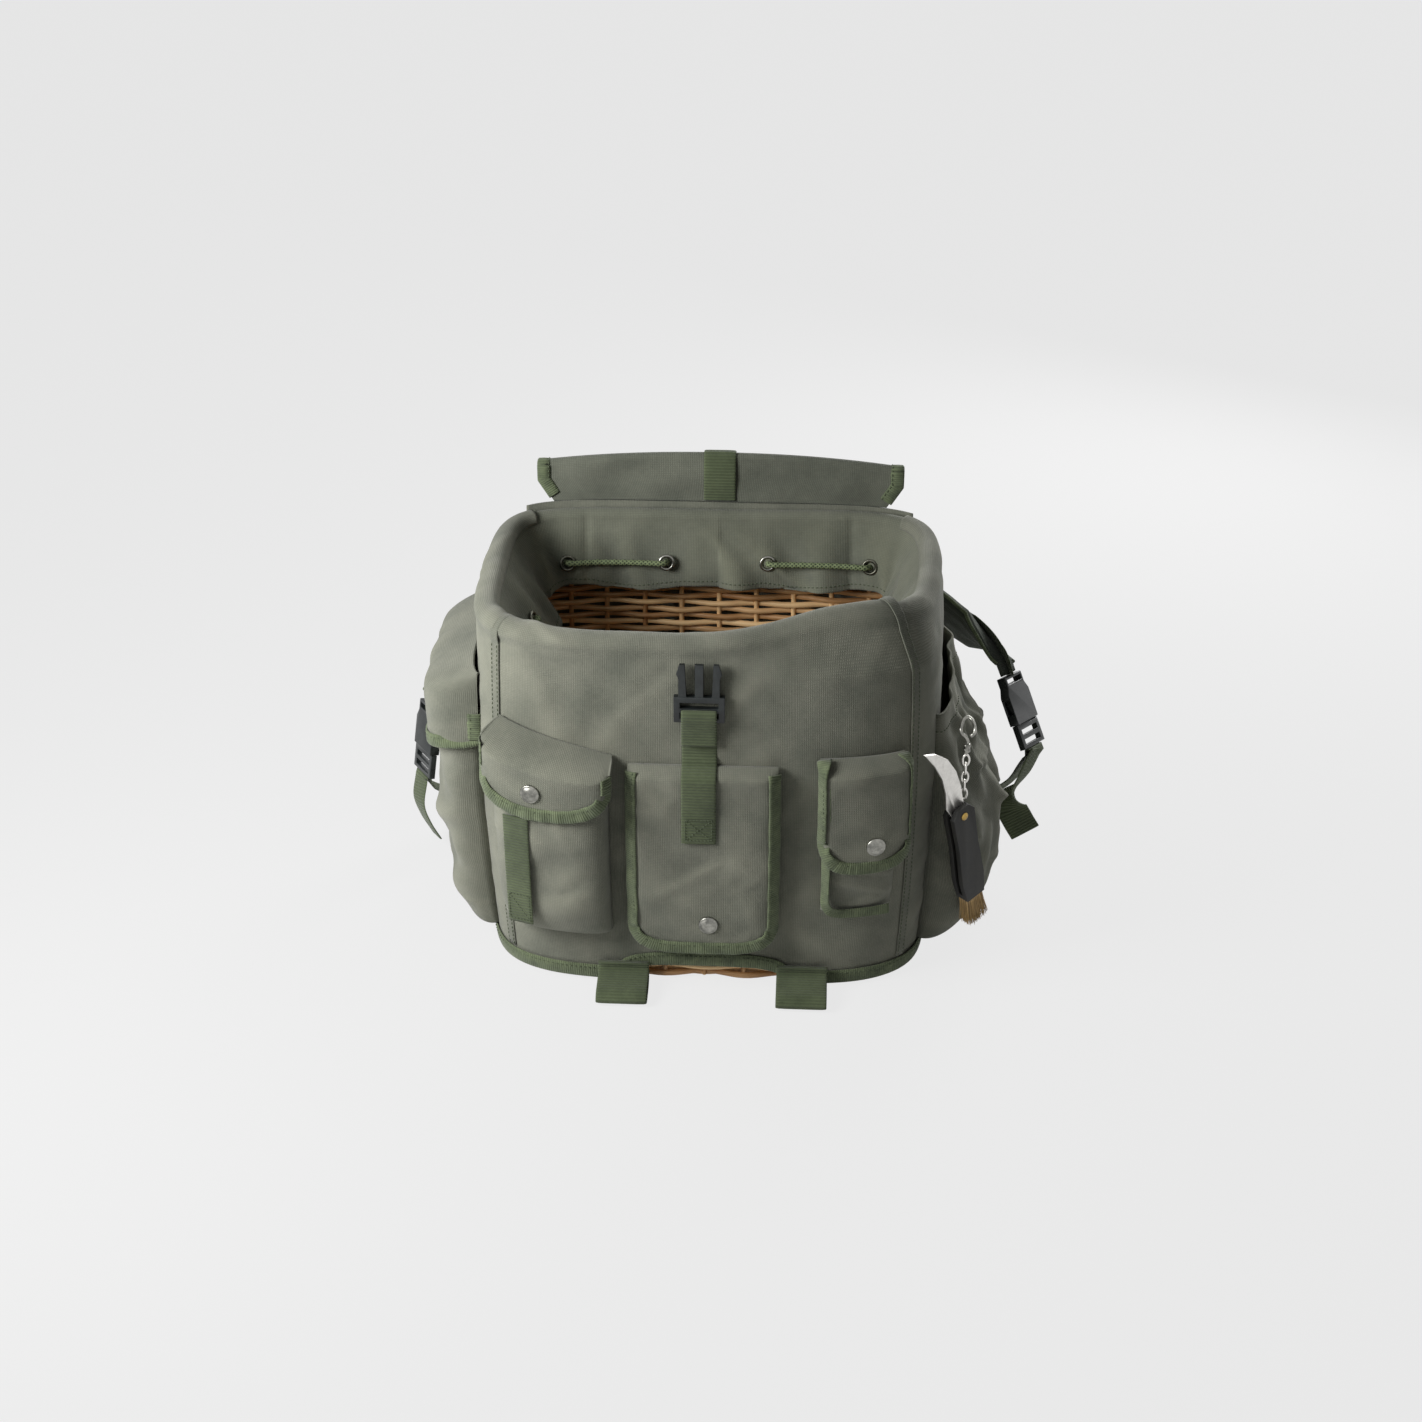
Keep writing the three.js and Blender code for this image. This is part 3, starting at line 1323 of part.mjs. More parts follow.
const handleShoulderShare = 0.36;
const pivotX = knifeX - knifePivotOffset * Math.cos(yaw);
const pivotY = knifeY - knifePivotOffset * Math.sin(yaw) - handleThickness / 4;
const pivotZ = handleTop + handleTuck - handleWidth * handleShoulderShare
  - knifePivotOffset * Math.sin(THREE.MathUtils.degToRad(handleTiltAngle));

/** Turns a piece that is drawn flat to the front so that its left edge comes forward, about the pivot. */
function yawed(geometry) {
  return geometry.translate(-pivotX, -pivotY, 0).rotateZ(yaw).translate(pivotX, pivotY, 0);
}

function makeKnife() {
  const half = handleWidth / 2;
  const long = handleLength;
  const shoulder = handleShoulderShare * handleWidth;
  const end = shoulder - long;
  const outline = [
    [-0.45 * half, shoulder], [0.5 * half, shoulder], [0.95 * half, 0.2 * shoulder], [0.88 * half, -0.35 * long],
    [half, -0.7 * long], [0.8 * half, end], [-0.8 * half, end], [-half, -0.7 * long], [-0.85 * half, -0.35 * long],
    [-0.95 * half, 0.2 * shoulder],
  ];
  const body = plate(turnedOutline(outline, handleTiltAngle, pivotX, pivotZ), handleThickness, pivotY);
  const slotSide = 0.76 * half;
  const slotTop = 2 * shoulder;
  const slotBottom = end + 0.45 * half;
  const slotOutline = [[-2 * half, slotTop], [slotSide, slotTop], [slotSide, slotBottom], [-2 * half, slotBottom]];
  const slot = plate(turnedOutline(slotOutline, handleTiltAngle, pivotX, pivotZ), bladeSlot, pivotY);
  const pin = new THREE.CylinderGeometry(rivetRadius, rivetRadius, handleThickness + 2 * clearance, 12)
    .translate(pivotX, pivotY, pivotZ);
  const handle = solid(body).subtract(solid(slot)).add(solid(pin));
  addPiece('knife_handle', yawed(unsolid(handle)), handleWood);
  const w = bladeWidth;
  const l = bladeLength;
  const blade = [
    [-0.28 * w, -0.28 * w], [0.28 * w, -0.28 * w], [0.34 * w, 0.14 * l], [0.42 * w, 0.31 * l], [0.38 * w, 0.53 * l],
    [0.14 * w, 0.74 * l], [-0.34 * w, 0.91 * l], [-0.85 * w, l], [-0.54 * w, 0.78 * l], [-0.36 * w, 0.56 * l],
    [-0.38 * w, 0.36 * l], [-0.56 * w, 0.17 * l],
  ];
  const hole = steps(0, 2 * Math.PI, 12).slice(0, 12)
    .map((turn) => [(rivetRadius + clearance) * Math.cos(turn), (rivetRadius + clearance) * Math.sin(turn)]);
  const tilted = (points) => turnedOutline(points, bladeTiltAngle, pivotX, pivotZ);
  addPiece('knife_blade', yawed(plate(tilted(blade), bladeThickness, pivotY, [tilted(hole)])), steel);
}

/** Bristles: thin cones in rows on a slice of the ferrule, leaning outwards so that none cross. */
function makeBrush() {
  const t = THREE.MathUtils.degToRad(handleTiltAngle);
  const down = new THREE.Vector3(Math.sin(t), 0, -Math.cos(t));
  const side = new THREE.Vector3(Math.cos(t), 0, Math.sin(t));
  const depth = new THREE.Vector3(0, 1, 0);
  const start = new THREE.Vector3(pivotX, pivotY, pivotZ)
    .addScaledVector(down, handleLength - handleShoulderShare * handleWidth + clearance);
  const place = (u, v, along) => start.clone()
    .addScaledVector(side, u)
    .addScaledVector(depth, v)
    .addScaledVector(down, along);
  const halfSide = 0.38 * handleWidth;
  const halfDepth = 0.38 * handleThickness;
  const slice = loft([0, brushCollar].map((along) => (
    [[-1, -1], [1, -1], [1, 1], [-1, 1]].map(([u, v]) => place(u * halfSide, v * halfDepth, along))
  )));
  const points = [];
  const triangles = [];
  steps(-1, 1, bristleColumns - 1).forEach((u) => steps(-1, 1, bristleRows - 1).forEach((v) => {
    const first = points.length;
    const x = u * (halfSide - 2 * bristleRadius);
    const y = v * (halfDepth - 2 * bristleRadius);
    steps(0, 2 * Math.PI, 3).slice(0, 3).forEach((turn) => {
      points.push(place(x + bristleRadius * Math.cos(turn), y + bristleRadius * Math.sin(turn), brushCollar / 2));
    });
    const reach = brushCollar + bristleLength * (1 - 0.12 * (u * u));
    points.push(place(x * bristleFlareShare, y * bristleFlareShare, reach));
    triangles.push([first, first + 1, first + 2], [first, first + 3, first + 1]);
    triangles.push([first + 1, first + 3, first + 2], [first + 2, first + 3, first]);
  }));
  const hairs = solid(fromLists(points, triangles));
  addPiece('knife_brush', yawed(unsolid(solid(slice).add(hairs))), bristleHair);
}

makeBasket();
makeCover();
makeHemBinding();
makeCollar();
makeEyelets();
makeDrawcord();
makeCentrePocket();
makeLeftPocket();
makeRightPouch();
makeSidePockets();
makeFrontStrap();
makeLid();
makeShoulderStraps();
makeBottomLoops();
makeHook();
makeChain();
makeKnife();
makeBrush();

export default pack;
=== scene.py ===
import math

import bmesh
import bpy
import numpy as np
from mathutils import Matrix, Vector


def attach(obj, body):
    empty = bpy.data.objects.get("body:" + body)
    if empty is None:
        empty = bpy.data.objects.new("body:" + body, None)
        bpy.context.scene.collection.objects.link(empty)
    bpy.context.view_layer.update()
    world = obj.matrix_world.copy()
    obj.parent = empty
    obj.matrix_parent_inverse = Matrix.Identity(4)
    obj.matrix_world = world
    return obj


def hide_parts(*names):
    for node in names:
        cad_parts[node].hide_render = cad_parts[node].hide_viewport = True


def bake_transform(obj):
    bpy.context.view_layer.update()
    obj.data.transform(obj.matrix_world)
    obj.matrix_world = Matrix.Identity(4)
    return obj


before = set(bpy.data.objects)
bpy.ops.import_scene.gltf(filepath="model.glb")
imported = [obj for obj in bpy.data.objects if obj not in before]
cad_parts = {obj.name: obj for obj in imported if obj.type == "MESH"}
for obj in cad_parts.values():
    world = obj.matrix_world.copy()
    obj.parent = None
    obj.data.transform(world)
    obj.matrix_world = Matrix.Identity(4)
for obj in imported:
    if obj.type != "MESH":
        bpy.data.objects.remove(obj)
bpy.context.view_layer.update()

# A forager's pack basket: woven willow in a canvas backpack cover, with a folding knife on a chain.
# Sizes are in millimetres and are the frame's own; MM turns them to metres where a mesh is made.
MM = 0.001
TURN = 2 * math.pi

# Camera: the photograph's square frame, its focal length in pixels and the pixel of the aiming point
IMAGE_SIZE = 1422
FOCAL_PIXELS = 2072
AIM_PIXEL = (712, 733)
AIM = (0, 0, 150)
CAMERA_AZIMUTH = 3
CAMERA_ELEVATION = 30
CAMERA_DISTANCE = 1600
SENSOR_WIDTH = 36

# Lamps: round soft boxes, with their power in watts
LAMP_PLACE = (-620, -390, 590)
LAMP_SIZE = 420
LAMP_POWER = 8
FILL_PLACE = (560, 1000, 620)
FILL_SIZE = 700
FILL_POWER = 11
ROOM_STRENGTH = 0.13
PALE = "#e6e6e6"

# Floor: how far it reaches each way, and the share and strength of its even light
FLOOR_REACH = 40000
FLOOR_EVEN_SHARE = 0.92
FLOOR_GLOW = 1.07

# Basket
HALF_WIDTHS = (160, 166, 163)
HALF_DEPTHS = (116, 118, 114)
FRONT_SQUARENESS = 4.2
BACK_SQUARENESS = 5.4
BACK_WIDENING = 6
BASKET_HEIGHT = 253
BASE_THICKNESS = 9
RIM_HEIGHT = 10
STAKES = 34
STAKE_RADIUS = 2.0
WEAVER_RADIUS = 2.5
WEAVER_SWING = 2.1
WEAVER_PITCH = 6.1
WEAVER_STEPS = 6
WEAVE_MIDDLE = -4.1
RIM_ROD = 2.35
RIM_ORBIT = 2.3
RIM_TURNS = 21
RIM_MIDDLE = -5.0
RIM_LIFT = 5.4
BASE_ROD = 2.2
BASE_SWING = 1.9
BASE_STICKS = 24
BASE_LOOPS = 44
# The outermost loop lies this far inside the wall's outer face, against the lowest weaver
BASE_INSET = 7.5

# Cover
CLOTH = 2.2
CLOTH_SHOWN = 1.5
COVER_EASE = 1.3
COVER_RIM = 289
CORNER_RISE = 14
CORNER_LEAN = 22
CORNER_ANGLE = 48
CORNER_SPREAD = 27
BACK_CORNER_RISE = 2
BACK_CORNER_ANGLE = 128
COVER_ROLL = 13
HEM_HEIGHT = 5
HEM_ARCH = 15
HEM_ARCH_HALF_WIDTH = 64
FRONT_SEAM = math.radians(57)
BACK_SEAM = math.radians(124)
BACK_PAD = 10
PAD_MARGIN = 0.11
BACK_RADIUS = 165
CHANNEL_PLACE = 48
CHANNEL_DEPTH = 2.4
# In radians: how far from a seam's middle a panel ends, and over how far it is pulled in to the seam
SEAM_GAP = 0.001
SEAM_PULL = 0.14
SEAM_FOOT = 16
SEAM_WIDTH = 8
SEAM_THICKNESS = 1.2
SEAM_STITCH = 2.6
# The part of the way over the rim that a panel's cloth is seen to take, as shares of the collar's length
RIM_TURN = (0.03, 0.33)
TAPE = 1.1
TAPE_WIDTH = 8
GAP = 0.4
RIM_TOP = BASKET_HEIGHT + RIM_HEIGHT + 2 * GAP

# Collar, eyelets and drawcord
COLLAR_DROP = 61
COLLAR_ROLL = 7
COLLAR_LEAN = 13
COLLAR_FOLD = 4
COLLAR_FOLDS = 12
# Lengths from the cover's edge over the rim along which the folds of the collar and of the rim are drawn
COLLAR_LENGTH = 88
RIM_FOLDS_LENGTH = 82
EYELET_HOLE = 4.1
EYELET_RIM = 6.6
EYELET_ANGLES = {
    "back_left_outer": -132,
    "back_left_inner": -160.5,
    "back_right_inner": 161.5,
    "back_right_outer": 132,
    "left_back": -86,
    "left_front": -66,
    "front_left": -5,
    "front_right": 5,
}
CORD_DROP = COLLAR_DROP * 0.64
CORD_RADIUS = 2.3
CORD_STAND_OFF = 5.6
CORD_CROSSING = 1.8
CORD_END_SPACING = 3.6
CORD_END_INSET = 15
CORD_END_DROP = 74
KNOT_RADIUS = 3.4

# How far the collar's back hangs, as shares of its length beyond the rim, at places across it
COLLAR_EDGE_SHARES = ((-160, 1.0), (-140, 0.94), (-120, 0.9), (-98, 0.95), (-75, 1.07), (-45, 0.98),
                      (0, 0.96), (35, 0.98), (57, 1.06), (80, 1.0), (112, 0.95), (128, 0.95), (160, 1.0))
COLLAR_EDGE_FROM = 0.36
COLLAR_BACK = math.radians(100)
COLLAR_SEAMS = (math.radians(-137), math.radians(137))
SLACK_LEAN = 26
SLACK_ANGLE = 93

# Lid
LID_HINGE = (HALF_DEPTHS[2] + COVER_EASE + CLOTH + GAP + CLOTH / 2, 292)
# Above the basket the back's cloth rises to the lid's hinge: (height, distance off the cover's face)
BACK_TOP = ((RIM_TOP + 5, 1.2), (COVER_RIM - COVER_ROLL, 3.4), (COVER_RIM - 6, 3.4),
            (LID_HINGE[1] - 0.8, 3.4))
LID_STAND = 36
LID_BASE_WIDTH = 262
LID_TOP_WIDTH = 284
LID_OUTER_WIDTH = 250
LID_TAPER = 34
LID_LENGTH = 210
LID_LEAN = 5
LID_SLANT = 17
LID_FOLD_GAP = 3.2
LID_SPREAD_SHARE = 0.6
LID_CREST = -1
LID_SAG = 9
LID_DROP = 2.2
LID_CORNER = 16
LID_TAIL = 58
LID_TAPE_ROW = 3
LID_FOOT_HEIGHT = 145
LID_WEBBING_LIFT = 1.9

# Webbing and pockets
WEBBING = 25
WEBBING_THICKNESS = 1.5
WIDE_WEBBING = 38
POCKET_STAND_OFF = COVER_EASE + CLOTH + GAP
FLAP_EASE = 0.8
SOCKET = 30
SOCKET_BAR = 9
PLUG_BAR = 20
STRAP_SHIFT = -2.5
STRAP_TOP = 227
STRAP_STITCH = 137
STRAP_HINGE = -123.5
# The strap's turn round the buckle's bar: (y off the strap's upper end, height)
STRAP_LOOP = ((-0.6, 238.0), (-2.6, 240.2), (-4.6, 238.6), (-5.0, 234.5), (-3.6, 229), (-2.2, 222),
              (-1.9, 212))
POUCH_CENTRE = 111
POUCH_TAPE_CORNER = 14
POUCH_TAPE_FOOT = 75.5
POUCH_TAPE_TOP = 186
TAB_CENTRE = -124

# Shoulder straps
PAD_WIDTH = 56
PAD_THICKNESS = 9
PAD_CROWN = 3
PAD_TAPER = 0.78
PAD_END = 0.3
PAD_NECK = 11
PAD_TWIST = 1.1
PAD_LEAN = 0.2
BUCKLE_TURN = 0.6
ANCHOR_ANGLE = math.radians(131)
ANCHOR_STEP = 0.06
ANCHOR_HEIGHT = 42
STRAPS = {
    "right": {
        "sign": 1,
        "pad": [(50, 0, 248), (74, 0, 240), (104, 139, 229), (139, 141, 215), (170, 136, 199),
                (196, 124, 186), (215, 107, 179)],
        "top": (233, 84, 162),
        "bottom": (254, 60, 112),
        "lower": [(182, 106, 34), (208, 97, 41), (230, 84, 56), (243, 72, 76), (250, 64, 96)],
        "tail": [(247, 47, 92), (240, 46, 76), (239, 45, 64), (245, 43, 52), (252, 41, 41)],
        "tail_turn": (0.72, 0.1, 0.7),
    },
    "left": {
        "sign": -1,
        "pad": [(-50, 0, 248), (-74, 0, 238), (-106, 139, 225), (-139, 139, 207), (-171, 133, 187),
                (-200, 119, 166), (-220, 101, 150)],
        "top": (-234, 78, 124),
        "bottom": (-241, 66, 68),
        "lower": [(-178, 108, 34), (-200, 101, 32), (-220, 91, 36), (-234, 79, 46), (-239, 71, 56)],
        "tail": [(-245, 56, 46), (-240, 54, 30), (-232, 54, 14)],
        "tail_turn": None,
    },
}

# Knife
KNIFE_X = 188
HOOK_TOP = 217
HOOK_LENGTH = 24
HOOK_RING = 5
HOOK_WIRE = 1.3
CHAIN_LENGTH = 39
LINK_LENGTH = 10.6
LINK_WIDTH = 6.4
LINK_COUNT = 5
LINK_WIRE = 0.85
HANDLE_LENGTH = 88
HANDLE_WIDTH = 22
HANDLE_THICKNESS = 12
HANDLE_TILT = math.radians(13.5)
HANDLE_SHOULDER = 0.36
KNIFE_YAW = math.radians(42)
KNIFE_FORWARD = 10.9
PIVOT_OFFSET = 4
HANDLE_TUCK = 0.6
BRUSH_COLLAR = 5
BRISTLE_LENGTH = 21


# Shapes worked out on the basket's wall

def half_at(z, sizes):
    """A size that runs through its base, middle and rim values along a parabola in height."""
    t = z / COVER_RIM
    return sizes[0] * (1 - t) * (1 - 2 * t) + sizes[1] * 4 * t * (1 - t) + sizes[2] * t * (2 * t - 1)


def wall(angle, z, out):
    """A rounded rectangle at each height: |x/a|^n + |y/b|^n = 1, moved out square to its edge."""
    angle, z, out = np.broadcast_arrays(*(np.asarray(v, float) for v in (angle, z, out)))
    sx, sy = np.sin(angle), -np.cos(angle)
    rear = (0.5 + 0.5 * sy) ** 2 * (2 - sy)
    n = FRONT_SQUARENESS + (BACK_SQUARENESS - FRONT_SQUARENESS) * rear
    a = half_at(z, HALF_WIDTHS) + BACK_WIDENING * rear
    b = half_at(z, HALF_DEPTHS)
    r = (np.abs(sx / a) ** n + np.abs(sy / b) ** n) ** (-1 / n)
    x, y = r * sx, r * sy
    nx = np.sign(x) * (np.abs(x) / a) ** (n - 1) / a
    ny = np.sign(y) * (np.abs(y) / b) ** (n - 1) / b
    size = np.hypot(nx, ny)
    return np.stack([x + nx / size * out, y + ny / size * out, z], -1)


GIRTH_ANGLES = np.linspace(-math.pi, math.pi, 721)
GIRTH_LINE = wall(GIRTH_ANGLES, COVER_RIM / 2, 0)
GIRTH = np.concatenate([[0], np.cumsum(np.linalg.norm(np.diff(GIRTH_LINE, axis=0), axis=1))])
GIRTH_LENGTH = GIRTH[-1]
GIRTH -= GIRTH_LENGTH / 2
SIDE_CENTRE = np.interp(math.pi / 2, GIRTH_ANGLES, GIRTH)


def on(length, z, out):
    """A place on the wall by its length round from the front middle, its height and its distance out."""
    return wall(np.interp(length, GIRTH, GIRTH_ANGLES), z, out)


def hump(angle, middle):
    """A bell curve of height 1 round an angle in degrees."""
    turn = np.degrees(np.arctan2(np.sin(angle), np.cos(angle)))
    return np.exp(-(((turn - middle) / CORNER_SPREAD) ** 2))


def rim_at(angle):
    """The cover's top edge, higher where the slack cloth stands up at the right corners."""
    back = BACK_CORNER_RISE * hump(angle, BACK_CORNER_ANGLE)
    return COVER_RIM + CORNER_RISE * hump(angle, CORNER_ANGLE) + back


def cover(angle, z, out):
    """The wall, leaning in above the basket's rim at the right front corner."""
    share = np.clip((z - RIM_TOP) / (rim_at(angle) - RIM_TOP), 0, 1)
    return wall(angle, z, out - CORNER_LEAN * hump(angle, CORNER_ANGLE) * share)


def hem_at(angle):
    """The cover's lower edge, with a flat arch over the basket at the front and back middle."""
    x = np.abs(wall(angle, 0, 0)[..., 0]) / HEM_ARCH_HALF_WIDTH
    return HEM_HEIGHT + HEM_ARCH * np.maximum(0, 1 - x ** 4) ** 0.5


def smooth_step(low, high, value):
    """Rises from 0 at low to 1 at high along 3t^2 - 2t^3."""
    t = np.clip((value - low) / (high - low), 0, 1)
    return t * t * (3 - 2 * t)


def ripples(u, v, size, seed):
    """Twelve sine waves of seeded direction, length and phase added up: an even unrest from about -1 to 1."""
    rng = np.random.default_rng(seed)
    turns, phases, stretches = rng.uniform(0, TURN, 12), rng.uniform(0, TURN, 12), rng.uniform(0.6, 1.6, 12)
    total = 0
    for turn, phase, stretch in zip(turns, phases, stretches):
        total = total + np.sin((u * np.cos(turn) + v * np.sin(turn)) * TURN / (size * stretch) + phase)
    return total / 3.5


def creases(u, v, size, seed):
    """Folds drawn in one slanting direction: sine ridges stretched fourfold along it, that come and go."""
    rng = np.random.default_rng(seed)
    total = 0
    for slant in rng.uniform(0.5, 1.1, 3) * np.array((1, 1, -1)):
        along = u * math.sin(slant) + v * math.cos(slant)
        over = u * math.cos(slant) - v * math.sin(slant)
        bent = over + 0.09 * size * ripples(over, along, 1.3 * size, seed + 100)
        line = 0.5 + 0.5 * np.sin(bent * TURN / (0.55 * size) + rng.uniform(0, TURN))
        fade = smooth_step(0.0, 0.9, ripples(over * 1.6, along * 0.7, 1.5 * size, seed + rng.integers(200)))
        total = np.maximum(total, line ** 2.5 * fade)
    return total


# Meshes

def unit(vectors):
    """Vectors of length 1."""
    return vectors / np.maximum(np.linalg.norm(vectors, axis=-1, keepdims=True), 1e-12)


def square_to(along, ways):
    """Directions made square to others: what runs along those is taken off."""
    return unit(ways - along * (ways * along).sum(-1, keepdims=True))


def turned_to(normals, ways):
    """Directions, each turned round where it points against its way."""
    return normals * np.sign((normals * ways).sum(-1, keepdims=True))


def cloth_lengths(grid, around, along):
    """Mean distances in metres along the rows and columns of a grid, so that a weave keeps its scale."""
    wide = np.concatenate([grid, grid[:, :1]], 1) if around else grid
    tall = np.concatenate([grid, grid[:1]], 0) if along else grid
    u = np.cumsum(np.r_[0, np.linalg.norm(np.diff(wide, axis=1), axis=2).mean(0)])
    v = np.cumsum(np.r_[0, np.linalg.norm(np.diff(tall, axis=0), axis=2).mean(1)])
    return np.stack(np.broadcast_arrays(u[None], v[:, None]), -1) * MM


def make_object(name, points, faces, uv, material, values=None):
    """A mesh object in metres from points in millimetres, with its cloth UV map and point values."""
    mesh = bpy.data.meshes.new(name)
    mesh.from_pydata(points * MM, [], faces)
    layer = mesh.uv_layers.new(name="cloth")
    layer.data.foreach_set("uv", np.ascontiguousarray(uv, np.float32).ravel())
    for key, value in (values or {}).items():
        spread = np.ascontiguousarray(np.broadcast_to(value, points.shape[:1]), np.float32)
        mesh.attributes.new(key, "FLOAT", "POINT").data.foreach_set("value", spread)
    mesh.polygons.foreach_set("use_smooth", np.ones(len(mesh.polygons), bool))
    mesh.materials.append(material)
    mesh.validate()
    made = bpy.data.objects.new(name, mesh)
    bpy.context.scene.collection.objects.link(made)
    return made


def cap_faces(first_quad, rows, cols):
    """A tube's two end faces, their corners in the order that agrees with its first quad."""
    first, last = list(range(cols)), [(rows - 1) * cols + k for k in range(cols)]
    following = first_quad[(first_quad.index(0) + 1) % 4]
    if following in (1, cols + 1):
        return [first[::-1], last]
    return [first, last[::-1]]


def surface(name, grid, material, around=False, along=False, caps=False, facing=None, worn=None):
    """Quads between the rows and columns of a grid of points; its faces are turned out or to a direction."""
    rows, cols = grid.shape[:2]
    i = np.arange(rows if along else rows - 1)[:, None]
    j = np.arange(cols if around else cols - 1)[None]
    ways = ((0, 0), (0, 1), (1, 1), (1, 0))
    quads = np.stack([((i + di) % rows) * cols + (j + dj) % cols for di, dj in ways], -1).reshape(-1, 4)
    lengths = cloth_lengths(grid, around, along)
    loops = np.stack([lengths[i + di, j + dj] for di, dj in ways], 2).reshape(-1, 4, 2)
    points = grid.reshape(-1, 3)
    corners = points[quads]
    normals = np.cross(corners[:, 2] - corners[:, 0], corners[:, 3] - corners[:, 1])
    if facing is None:
        away = (corners.mean(1) - points.mean(0)) * ((1, 1, 1) if caps or along else (1, 1, 0))
    else:
        away = np.asarray(facing, float)
    if (normals * away).sum() < 0:
        quads, loops = quads[:, ::-1], loops[:, ::-1]
    faces, uvs = quads, loops.reshape(-1, 2)
    if caps:
        faces = quads.tolist() + cap_faces(quads[0].tolist(), rows, cols)
        uvs = np.concatenate([uvs, np.zeros((2 * cols, 2))])
    values = {} if worn is None else {"worn": np.asarray(worn).ravel()}
    return make_object(name, points, faces, uvs, material, values)


def sweep(path, across, section):
    """A section of (across, up) points carried along a path; across gives the section's first direction."""
    along = unit(np.gradient(path, axis=0))
    side = square_to(along, np.broadcast_to(np.asarray(across, float), path.shape))
    up = np.cross(side, along)
    section = np.asarray(section, float)
    section = section if section.ndim == 3 else np.broadcast_to(section, (len(path), *section.shape))
    return path[:, None] + side[:, None] * section[..., :1] + up[:, None] * section[..., 1:]


def strip_section(width, thickness):
    """A flat webbing section: thickness t times (1 - |u|^10)^0.5 over and under."""
    u = np.array([-1, -0.97, -0.88, -0.6, -0.2, 0.2, 0.6, 0.88, 0.97, 1])
    rise = thickness / 2 * np.sqrt(np.maximum(0, 1 - np.abs(u) ** 10)) + 0.02
    over = np.stack([u * width / 2, rise], -1)
    under = np.stack([u * width / 2, -rise], -1)[::-1]
    return np.concatenate([over, under])


def ribbon(name, path, across, width, thickness, material):
    """A strip of webbing along a path, closed at both ends."""
    grid = sweep(path, across, strip_section(width, thickness))
    return surface(name, grid, material, around=True, caps=True)


def circle(radius, sides):
    """Points of a circle."""
    turn = np.arange(sides) * TURN / sides
    return np.stack([radius * np.cos(turn), radius * np.sin(turn)], -1)


def rod_rings(paths, radius, sides, toward, closed):
    """Circles square to each path, the first point of each turned to toward."""
    along = unit(np.roll(paths, -1, 1) - np.roll(paths, 1, 1) if closed else np.gradient(paths, axis=1))
    side = square_to(along, np.broadcast_to(np.asarray(toward, float), paths.shape))
    up = np.cross(along, side)
    turn = (np.arange(sides) * TURN / sides)[:, None]
    circles = side[:, :, None] * np.cos(turn) + up[:, :, None] * np.sin(turn)
    return paths[:, :, None] + radius[..., None, None] * circles


def rod_uvs(path, radius, sides, i, j, ways):
    """A rod's cloth UVs in metres: the length round its section, and the length along its path."""
    length = np.cumsum(np.r_[0, np.linalg.norm(np.diff(path, axis=0), axis=1)])
    length = np.r_[length, length[-1] + (length[-1] - length[-2])]
    rim = np.arange(sides + 1) / sides * TURN * radius
    around = np.stack([rim[j + dj] + 0 * i for _, dj in ways], -1)
    forward = np.stack([length[i + di] + 0 * j for di, _ in ways], -1)
    return np.stack([around, forward], -1) * MM


def strands(name, paths, radius, sides, toward, material, closed=False, shades=None):
    """Many round rods at once: each is circles along its path, a closed ring or with a face at both ends."""
    n, m = paths.shape[:2]
    radius = np.broadcast_to(np.asarray(radius, float), (n, m))
    rings = rod_rings(paths, radius, sides, toward, closed)
    k = np.arange(n)[:, None, None] * m * sides
    i = np.arange(m if closed else m - 1)[None, :, None]
    j = np.arange(sides)[None, None]
    ways = ((0, 1), (1, 1), (1, 0), (0, 0))
    quads = np.stack([k + ((i + di) % m) * sides + (j + dj) % sides for di, dj in ways], -1).reshape(-1, 4)
    loops = rod_uvs(paths[0], float(radius.max()), sides, i, j, ways)
    loops = np.broadcast_to(loops, (n, *loops.shape[1:])).reshape(-1, 2)
    faces = quads
    if not closed:
        ends = [[b * m * sides + s for s in range(sides)] for b in range(n)]
        tips = [[(b * m + m - 1) * sides + s for s in range(sides)][::-1] for b in range(n)]
        faces = quads.tolist() + ends + tips
        loops = np.concatenate([loops, np.zeros((2 * n * sides, 2))])
    values = None
    if shades is not None:
        values = {"shade": np.broadcast_to(np.asarray(shades)[:, None, None], (n, m, sides)).ravel()}
    return outward_faces(make_object(name, rings.reshape(-1, 3), faces, loops, material, values))


def outward_faces(made):
    """Turns a closed mesh inside out if its volume is negative."""
    data = bmesh.new()
    data.from_mesh(made.data)
    if data.calc_volume(signed=True) < 0:
        bmesh.ops.reverse_faces(data, faces=data.faces)
        data.to_mesh(made.data)
    data.free()
    return made


def lathe(name, profile, sides, centre, axis, material):
    """A profile of (radius, height) points turned about an axis; a radius of zero closes its pole."""
    axis = unit(np.asarray(axis, float))
    side = unit(np.cross(axis, (0.3, 0.5, 0.81)))
    turn = np.arange(sides) * TURN / sides
    round_it = np.cos(turn)[:, None] * side + np.sin(turn)[:, None] * np.cross(axis, side)
    profile = np.asarray(profile, float)
    grid = np.asarray(centre, float) + profile[:, None, :1] * round_it[None] + profile[:, None, 1:] * axis
    made = surface(name, grid, material, around=True, facing=axis)
    data = bmesh.new()
    data.from_mesh(made.data)
    bmesh.ops.remove_doubles(data, verts=data.verts, dist=1e-6)
    bmesh.ops.recalc_face_normals(data, faces=data.faces)
    data.to_mesh(made.data)
    data.free()
    return outward_faces(made)


def thicken(made, thickness, offset=-1):
    """Gives a cloth its thickness, in millimetres, inwards from its face."""
    solid = made.modifiers.new("thickness", "SOLIDIFY")
    solid.thickness = thickness * MM
    solid.offset = offset
    return made


